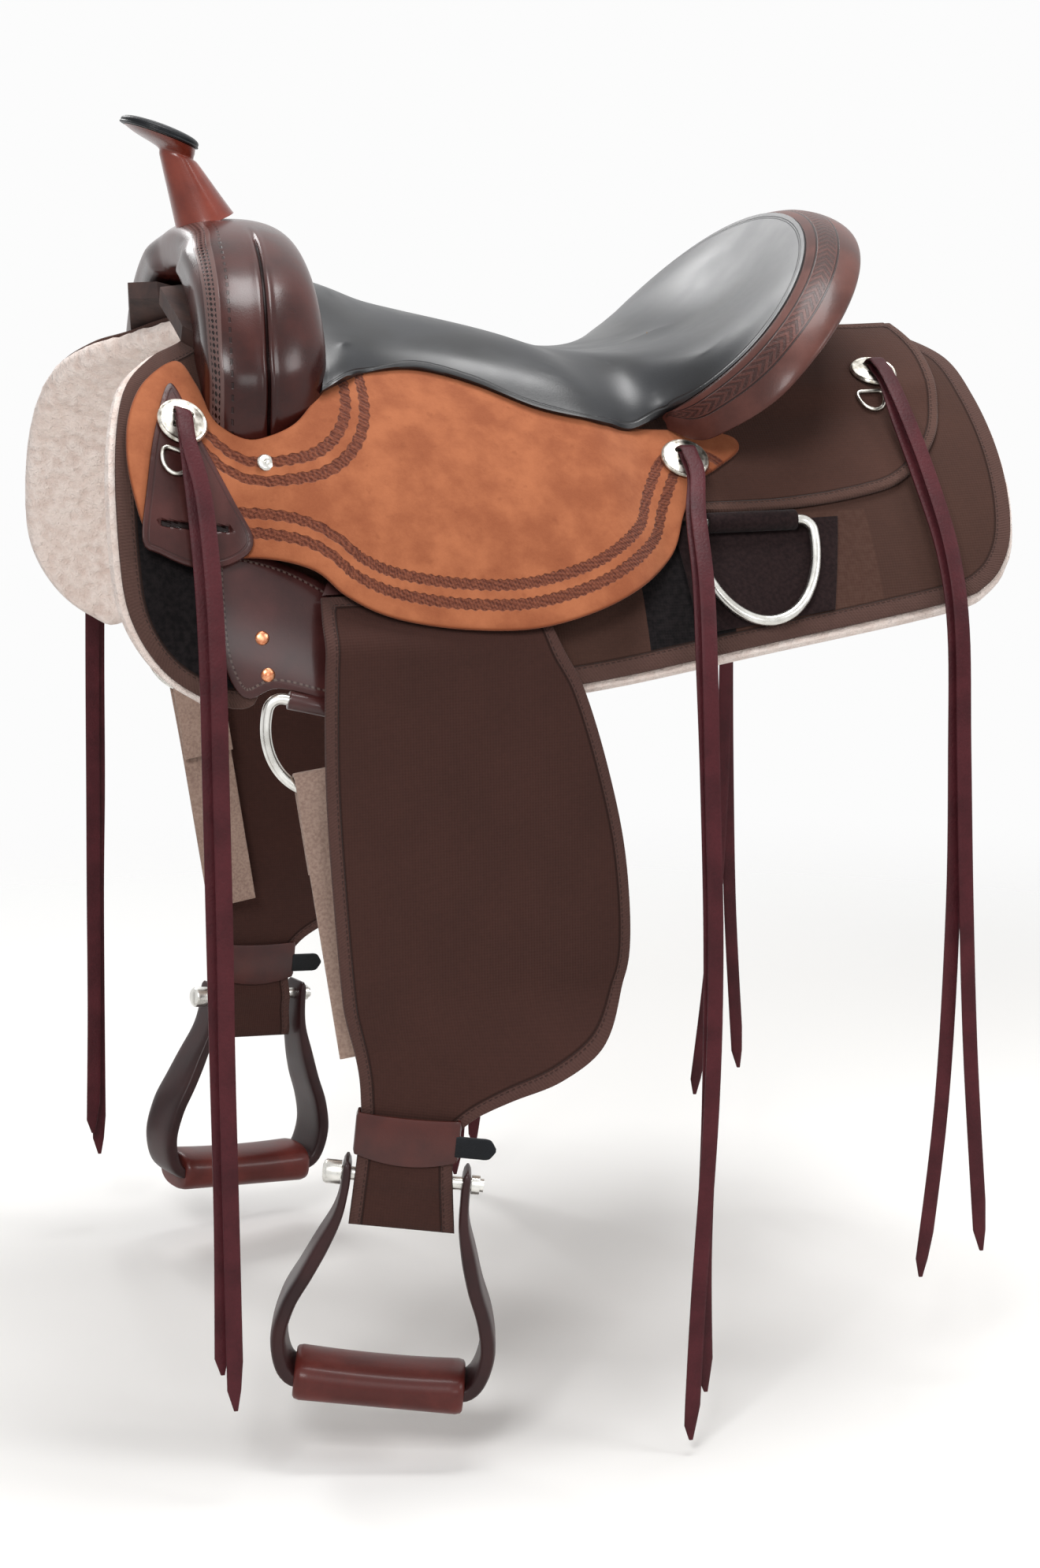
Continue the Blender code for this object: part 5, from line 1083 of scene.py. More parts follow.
def arch_lines():
    """The arch's inner and outer line, from the near foot over the top to the far one."""
    half = FORK_WIDTH / 2
    inner = [(0.100, 0.042), (0.089, 0.057), (0.062, 0.071), (0.034, 0.078), (0.0, GULLET_HEIGHT - 0.004)]
    outer = [(half - 0.003, -0.034), (half + 0.002, 0.016), (half - 0.034, 0.072), (half - 0.103, 0.109)]
    outer.append((0.0, FORK_HEIGHT))
    lines = []
    for points in (inner, outer):
        points = np.array(points)
        both = np.concatenate((points * (-1, 1), points[-2::-1]))
        lines.append(even_curve(both, ARCH_STEPS))
    return lines


def squared(wave, power):
    """A sine or cosine raised to a power with its sign kept, which squares a circle's corners."""
    return np.sign(wave) * abs(wave) ** power


def hump(value, middle, reach):
    """A bell curve: 1 at the middle and about a third at the reach."""
    return np.exp(-(((value - middle) / reach) ** 2))


# Across the arch the hide is full and round behind, and flatter with a firm edge in front.
inner_line, outer_line = arch_lines()
arch_middle, arch_half = (inner_line + outer_line) / 2, (outer_line - inner_line) / 2
turn = full_turn(ARCH_ROUND)
corners = np.where(np.sin(turn) < 0, np.where(np.cos(turn) < 0, 4.4, 2.8), 2.4)
reach_u, reach_v = squared(np.cos(turn), 2 / corners), squared(np.sin(turn), 2 / corners)
spread = np.minimum(1, abs(outer_line[:, 0]) / (FORK_WIDTH / 2))[:, None]
flank = ease((spread - 0.30) / 0.25)
signed = np.where(turn > math.pi, turn - 2 * math.pi, turn)[None]
slit = hump(signed, WELT_TURN, 0.022) * 0.0035
lips = hump(abs(signed - WELT_TURN), 0.075, 0.040) * 0.0012
out_reach = reach_u[None] - (slit - lips) * flank / np.linalg.norm(arch_half, axis=1)[:, None]
fork_rings = np.empty((len(arch_middle), ARCH_ROUND, 3))
fork_rings[..., 1:] = arch_middle[:, None] + arch_half[:, None] * out_reach[..., None]
fork_rings[..., 0] = FORK_X - 0.016 * np.maximum(reach_u, 0) ** 2 * spread**2 + (FORK_DEPTH / 2) * reach_v
fork_rings[..., 0] -= 0.006 * np.maximum(-reach_v, 0) * flank
fork_rounds = np.concatenate((fork_rings, fork_rings[:, :1]), 1)
round_length = np.linalg.norm(np.diff(fork_rounds, axis=1), axis=2).max(0)
lace_place = float(round_length[: int(ARCH_ROUND * LACE_SHARE)].sum())
welt_place = float(round_length[: round(WELT_TURN / (2 * math.pi) * ARCH_ROUND) % ARCH_ROUND].sum())
arch_length = float(np.linalg.norm(np.diff(fork_rings, axis=0), axis=2).mean(1).sum())


def fork_seams(made):
    """A laced seam down the front of each swell, pale and rough with dark crossed stitches,
    and the slit of the welt on its side, darkened with painted shade."""
    along, around = made.uv("flat")
    middle = (along - arch_length / 2).maths("ABSOLUTE")
    off = around - lace_place
    lace = off.near(0.0, 0.0068, 0.0008)
    crossed = (off + middle).wave(0.0074) * (middle - off).wave(0.0074)
    stitches = off.near(0.0, 0.0034, 0.0006) * crossed.rise(0.10, 0.30)
    side_seam = off.near(0.0140, 0.0006, 0.0006) * middle.wave(0.0060).rise(-0.2, 0.2)
    # Painted shade: the welt's slit is darkened as the gap's shadow.
    gap = around.near(welt_place, 0.0011, 0.0010) * middle.rise(0.060, 0.075)
    return lace * 0.75 - stitches * 0.75, gap.either(stitches).either(side_seam * 0.7), lace * 0.9


lace_tone = dye(112, 88, 84)
fork_leather = glossy_leather(
    "fork_leather", dye(36, 11, 9), dye(68, 25, 19), 0.25, 0.24, fork_seams, lace_tone
)
fork_cover = loft("fork_cover_hide", fork_rings, fork_leather, sharp=60)
dress(fork_cover, "saddle", "glossy_leather", "fork_cover")


# Horn
# The post is wrapped in rust leather, drawn tight so that it falls in long folds and flares
# into the cap's underside. The cap is bound in black, with a hard polished edge.
HORN_BASE_X, HORN_TOP_X, HORN_TOP_Z = -0.212, -0.238, 0.180
CAP_RADIUS, CAP_THICKNESS, CAP_TILT = 0.031, 0.0085, math.radians(20)
FOLDS, HORN_ROUND = 5, 80
horn_foot = np.array((HORN_BASE_X, 0, FORK_HEIGHT - 0.006))
horn_axis = np.array((HORN_TOP_X, 0, HORN_TOP_Z)) - horn_foot
horn_height = float(np.linalg.norm(horn_axis))
horn_axis = horn_axis / horn_height
horn_stand = stand_at(horn_foot, np.cross((0, 1, 0), horn_axis), (0, 1, 0), horn_axis)


def leaning(origin, angle):
    """A frame turned about Y, so that its Z leans to the rear by that angle."""
    level, tilt = math.cos(angle), math.sin(angle)
    return stand_at(origin, (level, 0, -tilt), (0, 1, 0), (tilt, 0, level))


def round_ring(stand, height, radius_x, radius_y, shift=0.0):
    """An oval at a height in a frame, moved along its X by the shift."""
    turn = full_turn(HORN_ROUND)
    flat = np.stack((radius_x * np.cos(turn) + shift, radius_y * np.sin(turn), 0 * turn + height), -1)
    return moved(flat, stand)


key_rings = [round_ring(horn_stand, 0.002, 0.0238, 0.0250)]
for share, radius, lean in ((0.10, 0.0222, -22), (0.35, 0.0188, -12), (0.60, 0.0162, 0), (0.80, 0.0146, 12)):
    level = leaning(horn_foot + horn_axis * horn_height * share, math.radians(lean))
    key_rings.append(round_ring(level, 0.0, radius, radius * 1.04))
cap_stand = leaning((HORN_TOP_X - 0.0095, 0, HORN_TOP_Z + 0.0045), CAP_TILT)
key_rings += [
    round_ring(cap_stand, -0.0078, 0.0146, 0.0150, 0.0162),
    round_ring(cap_stand, -0.0034, CAP_RADIUS * 0.78, CAP_RADIUS * 0.78, 0.0062),
    round_ring(cap_stand, -0.0004, CAP_RADIUS * 0.92, CAP_RADIUS * 0.92, 0.0012),
]
neck_rings = even_curve(np.array(key_rings).reshape(len(key_rings), -1), 10).reshape(-1, HORN_ROUND, 3)
centres = neck_rings.mean(1, keepdims=True)
up_share = np.linspace(0, 1, len(neck_rings))[:, None]
fold = np.cos(FOLDS * full_turn(HORN_ROUND) + up_share) * np.sin(np.pi * np.clip(up_share * 1.15, 0, 1))
crease = 1 - 0.022 * np.maximum(-fold, 0) ** 2 + 0.030 * np.maximum(fold, 0)
neck_rings = centres + (neck_rings - centres) * crease[..., None]
rust_leather = glossy_leather("rust_leather", dye(92, 32, 22), dye(134, 58, 42), 0.26, 0.45)
dress(loft("horn_neck_wrap", neck_rings, rust_leather, sharp=70), "saddle", "rust_leather", "horn_neck")


def black_leather(name, seams=None, shine=0.15):
    """Soft black hide with a dull sheen: small pebbles, faint creases and greyer where worn."""
    made = Finish(name, Specular_IOR_Level=shine)
    pebbles = made.cells(0.0014)
    cloud = made.noise(0.050, 3.0).rise(0.3, 0.7)
    creases = made.noise(0.010, 4.0, roughness=0.7)
    shade = made.mix(dye(12, 13, 15), dye(29, 31, 35), cloud * 0.7 + pebbles * 0.3)
    height = pebbles * 0.45 + creases * 0.55
    if seams is not None:
        thread, sunk, raised = seams(made)
        # Thread and sunk seams are darkened: the piping's own black, and painted shade in the stitched
        # groove.
        shade = made.mix(shade, dye(14, 14, 16), thread.either(sunk) * 0.8)
        height = height * 0.3 + raised - sunk * 2
    made.set(Base_Color=shade, Roughness=0.32 + cloud * 0.10)
    made.set(Normal=made.relief(height, 0.00018))
    return made


cap_leather = black_leather("cap_leather")
cap_shares = np.array((0.0, 0.92, 1, 0.97, 0.80, 0.40, 0.0))
cap_heights = np.array((0.0, 0.0, 0.0022, 0.0050, CAP_THICKNESS - 0.0015, CAP_THICKNESS, CAP_THICKNESS))
cap_profile = even_curve(np.stack((cap_shares * CAP_RADIUS, cap_heights), -1), 6)
dress(turned("horn_cap_cover", cap_stand, cap_profile, cap_leather, 72), "saddle", "seat_leather", "horn_cap")


# Seat
# One padded sheet of soft black leather runs from the fork, over the ground seat, down both
# flanks and up the dish of the cantle. Foam beneath it swells just inside its sewn edge.
CANTLE_TIP_X, CANTLE_TOP_X, CANTLE_TIP_Z, CANTLE_TOP_Z = 0.107, 0.258, -0.024, 0.127
CANTLE_WIDTH, CANTLE_TURN, CANTLE_TUCK = 0.368, math.radians(114), 0.030
SEAT_SHARE, SEAT_PAD, SEAT_EDGE = 0.52, 0.009, 0.0035
EDGE_TUCK, POLE_SWELL = 0.0125, 0.0018


def rim_point(t, side):
    """The cantle's rim: a slanting arc from its tip (t = 0) up to the middle (t = 1)."""
    turn = CANTLE_TURN * (1 - t)
    y = CANTLE_WIDTH / 2 * np.sin(turn)
    drop = (1 - np.cos(turn)) / (1 - math.cos(CANTLE_TURN))
    z = CANTLE_TOP_Z + (CANTLE_TIP_Z - CANTLE_TOP_Z) * drop
    x = CANTLE_TIP_X + (CANTLE_TOP_X - CANTLE_TIP_X) * np.maximum(np.cos(math.pi / 2 * (1 - t)), 0) ** 0.92
    tuck = CANTLE_TUCK * np.maximum(1 - t / 0.3, 0) ** 2
    return np.stack((x + 0.35 * tuck, side * (y - tuck), z), -1)


def on_curve(line, place):
    """Points of a smooth line read at fractional places along its own points."""
    i = np.clip(np.floor(place).astype(int), 0, len(line) - 2)
    u = (place - i)[..., None]
    before, after = line[np.maximum(i - 1, 0)], line[np.minimum(i + 2, len(line) - 1)]
    return between(before, line[i], line[i + 1], after, u)


seat_flank = np.array(
    [
        (-0.162, 0.166), (-0.139, 0.147), (-0.117, 0.131), (-0.077, 0.117), (-0.036, 0.124),
        (0.009, 0.145), (0.050, 0.155), (0.068, 0.154), (0.088, 0.151),
    ]
)
seat_spine = curve(
    [
        (-0.147, 0, 0.081), (-0.100, 0, 0.062), (-0.036, 0, 0.044), (0.016, 0, 0.026),
        (0.062, 0, 0.018), (0.105, 0, 0.019), (0.130, 0, 0.024), (0.150, 0, 0.031),
    ],
    0.012,
)


def seat_top(t, r, side):
    """The seat's upper face: t runs round its border and r out from its middle line to the
    border. Each crosswise line rises from the middle as a power of r, rounder in the dish.
    Its front edge is tucked under the fork's back."""
    over = JOCKEY + LAYER_GAP + SEAT_EDGE + 0.0015
    x, s = seat_flank.T
    edge = np.concatenate((side_point(x, s, jockey_lift(x) + over, side), rim_point(np.zeros(1), side)))
    low = on_curve(edge, np.minimum(t / SEAT_SHARE, 1) * (len(edge) - 1))
    high = rim_point(np.maximum((t - SEAT_SHARE) / (1 - SEAT_SHARE), 0), side)
    border = np.where((t <= SEAT_SHARE)[..., None], low, high)
    place = np.minimum(t / 0.94, 1) ** 0.85 * (len(seat_spine) - 1)
    i = np.minimum(place.astype(int), len(seat_spine) - 2)
    middle = seat_spine[i] + (seat_spine[i + 1] - seat_spine[i]) * (place - i)[..., None]
    power = np.where(t < SEAT_SHARE, 2.2 + 0.8 * ease(t / 0.35), 3.0 - (t - SEAT_SHARE) / 0.2)
    power = np.maximum(power, 2.0)
    bulge = 0.013 * np.sin(math.pi * r) * np.maximum(1 - 5 * t, 0) ** 2
    bulge = bulge - EDGE_TUCK * (1 - ease(t / 0.08)) * (1 - ease((r - 0.55) / 0.40))
    x = middle[..., 0] + (border[..., 0] - middle[..., 0]) * r + bulge
    z = middle[..., 2] + (border[..., 2] - middle[..., 2]) * np.maximum(r, 0) ** power
    return np.stack((x, border[..., 1] * r, z), -1)


def seat_below(t, r, side, depth):
    """A point at a depth under the seat's upper face, along its normal: the cross product of
    two small steps on it, or the middle line's own where both steps are nothing."""
    step = 0.004
    along = seat_top(np.minimum(t + step, 1), r, side) - seat_top(np.maximum(t - step, 0), r, side)
    across = seat_top(t, r + step, side) - seat_top(t, np.maximum(r - step, 0), side)
    normal = np.cross(along, across)
    size = np.linalg.norm(normal, axis=-1, keepdims=True)
    normal = np.where(size < 1e-9, (-0.25, 0, 0.97), normal / np.maximum(size, 1e-9))
    normal = np.where(normal[..., 2:] < 0, -normal, normal)
    point = seat_top(t, r, side) - normal * np.asarray(depth)[..., None]
    point[..., 1] = np.where((r < 1e-6) | (t > 1 - 1e-6), 0, point[..., 1])
    return point


def seat_pad(r):
    """The padding's depth: full inside, and eased to the thin sewn edge."""
    return SEAT_EDGE + (SEAT_PAD - SEAT_EDGE) * ease((0.93 - r) / 0.20)


def seat_swell(t, r):
    """How far the face sinks below the plain seat (less than 0: stands above it): a soft roll
    inside the sewn edge, and a padded roll with slack folds behind the fork."""
    edge_sink = 0.0012 * ease((r - 0.93) / 0.05)
    roll = 0.0016 * hump(r, 0.84, 0.09) * ease(t / 0.10)
    front_roll = 0.0048 * hump(t, 0.050, 0.024) - 0.0016 * hump(t, 0.105, 0.022)
    folds = 0.0020 * np.sin(r * 11 + t * 26) * hump(t, 0, 0.10) * ease(r / 0.3)
    return edge_sink - roll - front_roll + folds


def relaxed(face, rounds=160, most=0.008, sink=0.0045):
    """Draws each inner point towards the mean of its neighbours again and again, by at most
    8 mm up and 4.5 mm down in all, as the stretched leather evens out what lies beneath. The
    lines meet in a pole at the dish's foot, which takes its neighbours' mean and swells a little."""
    mirror = np.array((1, -1, 1))
    drawn = face.copy()
    pole = np.linalg.norm(face[:, 0] - face[-1, 0], axis=1) < 1e-6
    for _ in range(rounds):
        wide = np.concatenate((drawn[:, 1:2] * mirror, drawn), 1)
        tall = np.concatenate((drawn, drawn[-2:-1] * mirror), 0)
        mean = (wide[1:, :-2] + wide[1:, 2:] + tall[:-2, :-1] + tall[2:, :-1]) / 4
        drawn[1:, :-1] += (mean - drawn[1:, :-1]) * 0.5
        shift = drawn - face
        reach = np.linalg.norm(shift, axis=2, keepdims=True)
        limit = np.where(shift[..., 2:] > 0, most, sink)
        drawn = face + shift * np.minimum(1, limit / np.maximum(reach, 1e-9))
        drawn[pole, 0] = drawn[pole, 2].mean(0) * (1, 0, 1)
    drawn[:, 0, 1], drawn[-1, :, 1] = 0, 0
    drawn[..., 2] += POLE_SWELL * hump(np.linalg.norm(drawn - drawn[-1, 0], axis=2), 0, 0.022)
    return drawn


def seat_piece():
    """The cover's upper and lower skins on both sides, joined by a wall along the border and
    the front. Its rim map holds how far along the border a point lies, and how far from it."""
    t = np.linspace(0, 1, 181)
    r = np.concatenate((np.linspace(0, 0.84, 46), np.linspace(0.84, 1, 23)[1:]))
    t, r = np.meshgrid(t, r, indexing="ij")
    points, faces, maps, start = [], [], [], 0
    index = np.arange(t.size).reshape(t.shape)
    quads = np.stack((index[:-1, :-1], index[1:, :-1], index[1:, 1:], index[:-1, 1:]), -1).reshape(-1, 4)
    for side in (-1, 1):
        upper = relaxed(seat_below(t, r, side, seat_swell(t, r)))
        lower = seat_below(t, r, side, seat_pad(r))
        away = np.linalg.norm(seat_top(t, np.ones_like(r), side) - upper, axis=-1)
        steps = np.linalg.norm(np.diff(upper[:, -1], axis=0), axis=1)
        along = np.broadcast_to(np.concatenate(([0], np.cumsum(steps)))[:, None], t.shape)
        flat = np.stack((along, away), -1).reshape(-1, 2)
        for skin in (upper, lower):
            points.append(skin.reshape(-1, 3))
            maps.append(flat)
            faces.append(quads + start)
            start += t.size
        first = start - 2 * t.size
        for line in (index[:, -1], index[0, :]):
            line = line + first
            faces.append(np.stack((line[:-1], line[1:], line[1:] + t.size, line[:-1] + t.size), -1))
    rim = {"rim": np.concatenate(maps)}
    return add_piece("seat_pad_cover", np.concatenate(points), faces, seat_leather, rim, 60, weld=2e-5)


def seat_seams(made):
    """Piping along the border, and a stitched groove just inside it, darkened with painted shade."""
    along, away = made.uv("rim")
    piping = (1 - away.rise(0.0022, 0.0034)).either(1 - along.rise(0.003, 0.006))
    # The groove is darkened as painted shade.
    groove = away.near(0.0046, 0.0003, 0.0010)
    return groove * 0.6, groove.either(piping * 0.5), piping * 0.8


seat_leather = black_leather("seat_leather", seat_seams, 0.5)
seat = seat_piece()
dress(seat, "saddle", "seat_leather", "seat_cushion")


# Cantle
# A wide band of rust leather is rolled over the cantle's rim, creased along both edges and
# stamped with a leaf border in its middle. Its back is a plain moulded panel.
ROLL_WIDTH, ROLL_THICKNESS, ROLL_CENTRE_X = 0.048, 0.013, 0.060
LEAF_PLACE = 0.0225


def roll_seams(made):
    """Leaves stamped along the band's middle between two creased lines."""
    along, around = made.uv("flat")
    off = around - LEAF_PLACE
    band = off.near(0.0, 0.0064, 0.0008)
    leaf = (along + off.maths("ABSOLUTE") * 1.3).wave(0.0084)
    vein = made.noise(0.0020, 3.0).rise(0.40, 0.60)
    stamped = band * (leaf.rise(-0.20, 0.25) * 0.75 + vein * 0.25)
    lines = off.maths("ABSOLUTE").near(0.0088, 0.0004, 0.0007)
    lines = lines.either(around.near(0.0042, 0.0006, 0.0008))
    return stamped * 0.7, lines.either(stamped * 0.45), band * 0.3 - stamped * 0.6


def resting(points, least):
    """Lifts points that would lie lower than that over the horse's back up to it, straight
    away from the middle of the back's arc."""
    x, y, z = points[..., 0], abs(points[..., 1]), points[..., 2]
    slope, bend, top = back_arc(x)
    middle_y, middle_z = -np.sin(slope) / bend, top - np.cos(slope) / bend
    reach = np.hypot(y - middle_y, z - middle_z)
    grow = np.maximum(1, (1 / bend + least) / reach)
    y, z = middle_y + (y - middle_y) * grow, middle_z + (z - middle_z) * grow
    return np.stack((x, np.where(points[..., 1] < 0, -y, y), z), -1)


def roll_rings():
    """Rings of a flat crowned band: each leans out level from the seat's rim and droops."""
    share = np.linspace(0, 1, 91)
    rings = []
    for side in (-1, 1):
        point = rim_point(share, side)
        level = unit((point - (ROLL_CENTRE_X, 0, 0)) * (1, 1, 0))
        droop = (0.1 + 0.5 * (1 - share) + 0.25 * (1 - ease(share / 0.35)))[:, None]
        up_axis = np.array((0, 0, 1.0))
        out = level * np.cos(droop) - up_axis * np.sin(droop)
        up = level * np.sin(droop) + up_axis * np.cos(droop)
        width = (ROLL_WIDTH * (0.74 + 0.26 * ease(share / 0.25)))[:, None]
        width = width * np.sqrt(np.clip(1 - (1 - np.minimum(share / 0.07, 1)) ** 2, 0.12, 1))[:, None]
        thick = (ROLL_THICKNESS * (0.75 + 0.25 * ease(share / 0.25)))[:, None]
        turn = math.pi - full_turn(56)
        a = width / 2 * (1 + squared(np.cos(turn), 0.7)) + 0.0005
        b = thick / 2 * (squared(np.sin(turn), 0.7) - 1) + 0.001 + 0.003 * np.sin(math.pi * a / width)
        ring = point[:, None] + out[:, None] * a[..., None] + up[:, None] * b[..., None]
        rings.append(resting(ring, JOCKEY_REAR_LIFT + JOCKEY + LAYER_GAP))
    return np.concatenate((rings[0], rings[1][-2::-1]))


roll_leather = glossy_leather("roll_leather", dye(62, 32, 27), dye(98, 58, 50), 0.36, 0.16, roll_seams)
rim_roll = loft("cantle_roll", roll_rings(), roll_leather, sharp=60)
dress(rim_roll, "saddle", "rust_leather", "cantle_binding")


def back_rings():
    """The cantle's back: from under the seat, down behind it to a foot on the rear jockeys."""
    share = np.linspace(0.46, 1, 36)
    rings = []
    for side in (-1, 1):
        t = SEAT_SHARE + (1 - SEAT_SHARE) * share
        front = [seat_below(t, r + 0 * t, side, SEAT_PAD + 0.0016 + 0 * t) for r in (0.84, 0.75, 0.66)]
        turn = math.pi / 2 * (1 - share)
        x, s = 0.118 + 0.150 * np.cos(turn), 0.160 * np.sin(turn)
        lift = over_bar(x, s) + REAR_JOCKEY + 0.0024
        foot, ahead = side_point(x, s, lift, side), side_point(x - 0.012, s, lift, side)
        foot[:, 1] = np.where(share < 1, foot[:, 1], 0)
        ahead[:, 1] = np.where(share < 1, ahead[:, 1], 0)
        level = unit((front[0] - (ROLL_CENTRE_X, 0, 0)) * (1, 1, 0))
        back = front[0] + level * 0.010 - (0, 0, 0.004)
        half_way = (back + foot) / 2 + level * 0.002
        rings.append(np.stack([*front, ahead, foot, half_way, back], 1))
    return np.concatenate((rings[0], rings[1][-2::-1]))


back_panel = loft("cantle_back_panel", back_rings(), roll_leather, sharp=50)
dress(back_panel, "saddle", "rust_leather", "cantle_back")


# Latigo keepers
# A dark leather tab lies on the jockey below each front concho. It widens to a rounded foot
# and is cut with one slanting slot, which takes the cinch strap's end.
KEEPER, SLOT_DEPTH = 0.0035, 0.0028
keeper_border = curve(
    [
        (-0.273, 0.181), (-0.290, 0.224), (-0.301, 0.270), (-0.308, 0.312), (-0.296, 0.3175),
        (-0.270, 0.319), (-0.243, 0.308), (-0.228, 0.290), (-0.239, 0.262), (-0.258, 0.220),
    ],
    0.003,
    closed=True,
)
SLOT_START, SLOT_END = np.array((-0.2935, 0.2955)), np.array((-0.2445, 0.2850))


def slot_mask(x, s):
    """1 inside the keeper's slot: a capsule about the line between its ends."""
    spot = np.stack((x, s), -1) - SLOT_START
    span = SLOT_END - SLOT_START
    share = np.clip(spot @ span / (span @ span), 0, 1)
    return 1 - ease((np.linalg.norm(spot - share[:, None] * span, axis=1) - 0.0016) / 0.0010)


def keeper_seams(made):
    """The slot is painted dark inside as shade, and a creased line follows the tab's edge."""
    x, s = made.uv("flat")
    _, distance = made.uv("rim")
    (start_x, start_s), (end_x, end_s) = SLOT_START.tolist(), SLOT_END.tolist()
    slope = (end_s - start_s) / (end_x - start_x)
    level = s - (x * slope + (start_s - slope * start_x))
    # Painted shade inside the slot, which is also sunk in the tab.
    cut = level.near(0.0, 0.0018, 0.0006) * x.near((start_x + end_x) / 2, 0.0240, 0.0008)
    line = distance.near(0.0040, 0.0003, 0.0006)
    return cut, cut.either(line * 0.35), cut * 0.0


def keeper_under(x, s=None, distance=None):
    """The tab's inner face, just off the jockey."""
    return jockey_lift(x) + JOCKEY + LAYER_GAP


def keeper_over(x, s, distance):
    """The tab's outer face, sunk in its slot."""
    return keeper_under(x) + KEEPER - SLOT_DEPTH * slot_mask(x, s)


keeper_leather = glossy_leather("keeper_leather", dye(46, 19, 17), dye(76, 38, 35), 0.42, 0.12, keeper_seams)
for side_name, side in SIDES:
    name = f"strap_keeper_{side_name}"
    keeper = side_panel(
        name, side, keeper_border, keeper_under, keeper_over, keeper_leather, spacing=0.0017, edge=0.0010
    )
    dress(keeper, "saddle", "dark_leather", f"latigo_keeper_{side_name}")


# Conchos and their small rings
# Slotted silver-plated discs, domed and worn dull in the hollows, hold the strings. A small
# ring hangs below the front and the rear ones for gear.
CONCHOS = {"front": (-0.270, 0.214), "seat": (0.124, 0.178), "rear": (0.312, 0.088)}
CONCHO_RADIUS, CONCHO_HEIGHT = 0.019, 0.005
SMALL_WIDTH, SMALL_DROP, SMALL_CORNER, SMALL_WIRE = 0.022, 0.019, 0.004, 0.003


def on_rear_jockey(x, s):
    """The lift of the rear jockey's outer face inside its braid."""
    return float(over_bar(np.array(x), np.array(s))) + REAR_JOCKEY


def concho_lift(which):
    """How high a disc lies: on the keeper in front, then on the seat or the rear jockey."""
    x, s = CONCHOS[which]
    if which == "front":
        return float(keeper_under(np.array(x))) + KEEPER + 0.0006
    if which == "seat":
        return float(jockey_top(np.array(x))) + 0.0008
    return on_rear_jockey(x, s) + 0.0012


def concho_relief(x, y):
    """Two slots sunk side by side across the dome."""
    flat_y = abs(abs(y) - 0.0062)
    sunk = (1 - ease((abs(x) - 0.0062) / 0.0008)) * (1 - ease((flat_y - 0.0016) / 0.0007))
    return -0.0034 * sunk


silver = Finish("silver_plate", Metallic=1.0)
dull = silver.noise(0.006, 4.0)
silver_shade = silver.mix(dye(150, 144, 132), dye(230, 226, 216), dull.rise(0.30, 0.62))
from_middle, _ = silver.uv("flat")
hollow = (1 - from_middle.rise(0.0095, 0.0120)) * 0.72
silver.set(Base_Color=silver.mix(silver_shade, dye(84, 74, 66), hollow))
silver.set(Roughness=0.22 + dull * 0.22, Normal=silver.relief(dull, 0.0003))
plated = Finish("plated_wire", Metallic=1.0)
plated_dull = plated.noise(0.006, 4.0)
plated.set(Base_Color=plated.mix(dye(170, 166, 156), dye(224, 221, 212), plated_dull.rise(0.30, 0.62)))
plated.set(Roughness=0.22 + plated_dull * 0.2)
dome_radius = np.concatenate((np.linspace(0, 0.52, 26), np.linspace(0.52, 1, 14)[1:]))
dome_height = np.interp(dome_radius, (0, 0.34, 0.74, 0.86, 0.93, 1.0), (1.0, 0.93, 0.66, 0.56, 0.62, 0.30))
concho_profile = np.stack((dome_radius * CONCHO_RADIUS, dome_height * CONCHO_HEIGHT), -1).tolist()
concho_profile += [(CONCHO_RADIUS, 0.0006), (CONCHO_RADIUS * 0.97, 0.0)]
for side_name, side in SIDES:
    for which, (x, s) in CONCHOS.items():
        stand = side_frame(x, s, concho_lift(which), side)
        disc = turned(f"{which}_disc_{side_name}", stand, concho_profile, silver, 96, concho_relief)
        dress(disc, "saddle", "steel", f"{which}_concho_{side_name}")
    for which, shift, drop in (("front", -0.006, 0.0245), ("rear", -0.012, 0.0235)):
        x, s = CONCHOS[which][0] + shift, CONCHOS[which][1] + drop
        lift = lower = concho_lift(which) - 0.0002 + SMALL_WIRE / 2
        if which == "rear":
            lift = on_rear_jockey(x, s) + 0.0002 + SMALL_WIRE / 2
            lower = on_rear_jockey(x, s + 0.020) + 0.0006 + SMALL_WIRE / 2
        top, foot = side_point(x, s, lift, side), side_point(x, s + 0.020, lower, side)
        stand = hanging_frame(top, foot, side_tangent(x, s, lift, side))
        sizes = (SMALL_WIDTH, SMALL_DROP, SMALL_CORNER, SMALL_WIRE)
        ring = wire_ring(f"{which}_small_ring_{side_name}", stand, *sizes, plated)
        dress(ring, f"{which}_small_dee_{side_name}", "steel", f"{which}_string_dee_{side_name}")


# Saddle strings
# Long thongs of burgundy latigo leather, two to a concho: each comes out of a slot, passes
# over the disc and hangs free to a slanting cut end. They tie bedrolls and coats.
STRING_WIDTH, STRING, STRING_SPACE = 0.012, 0.0026, 0.0064
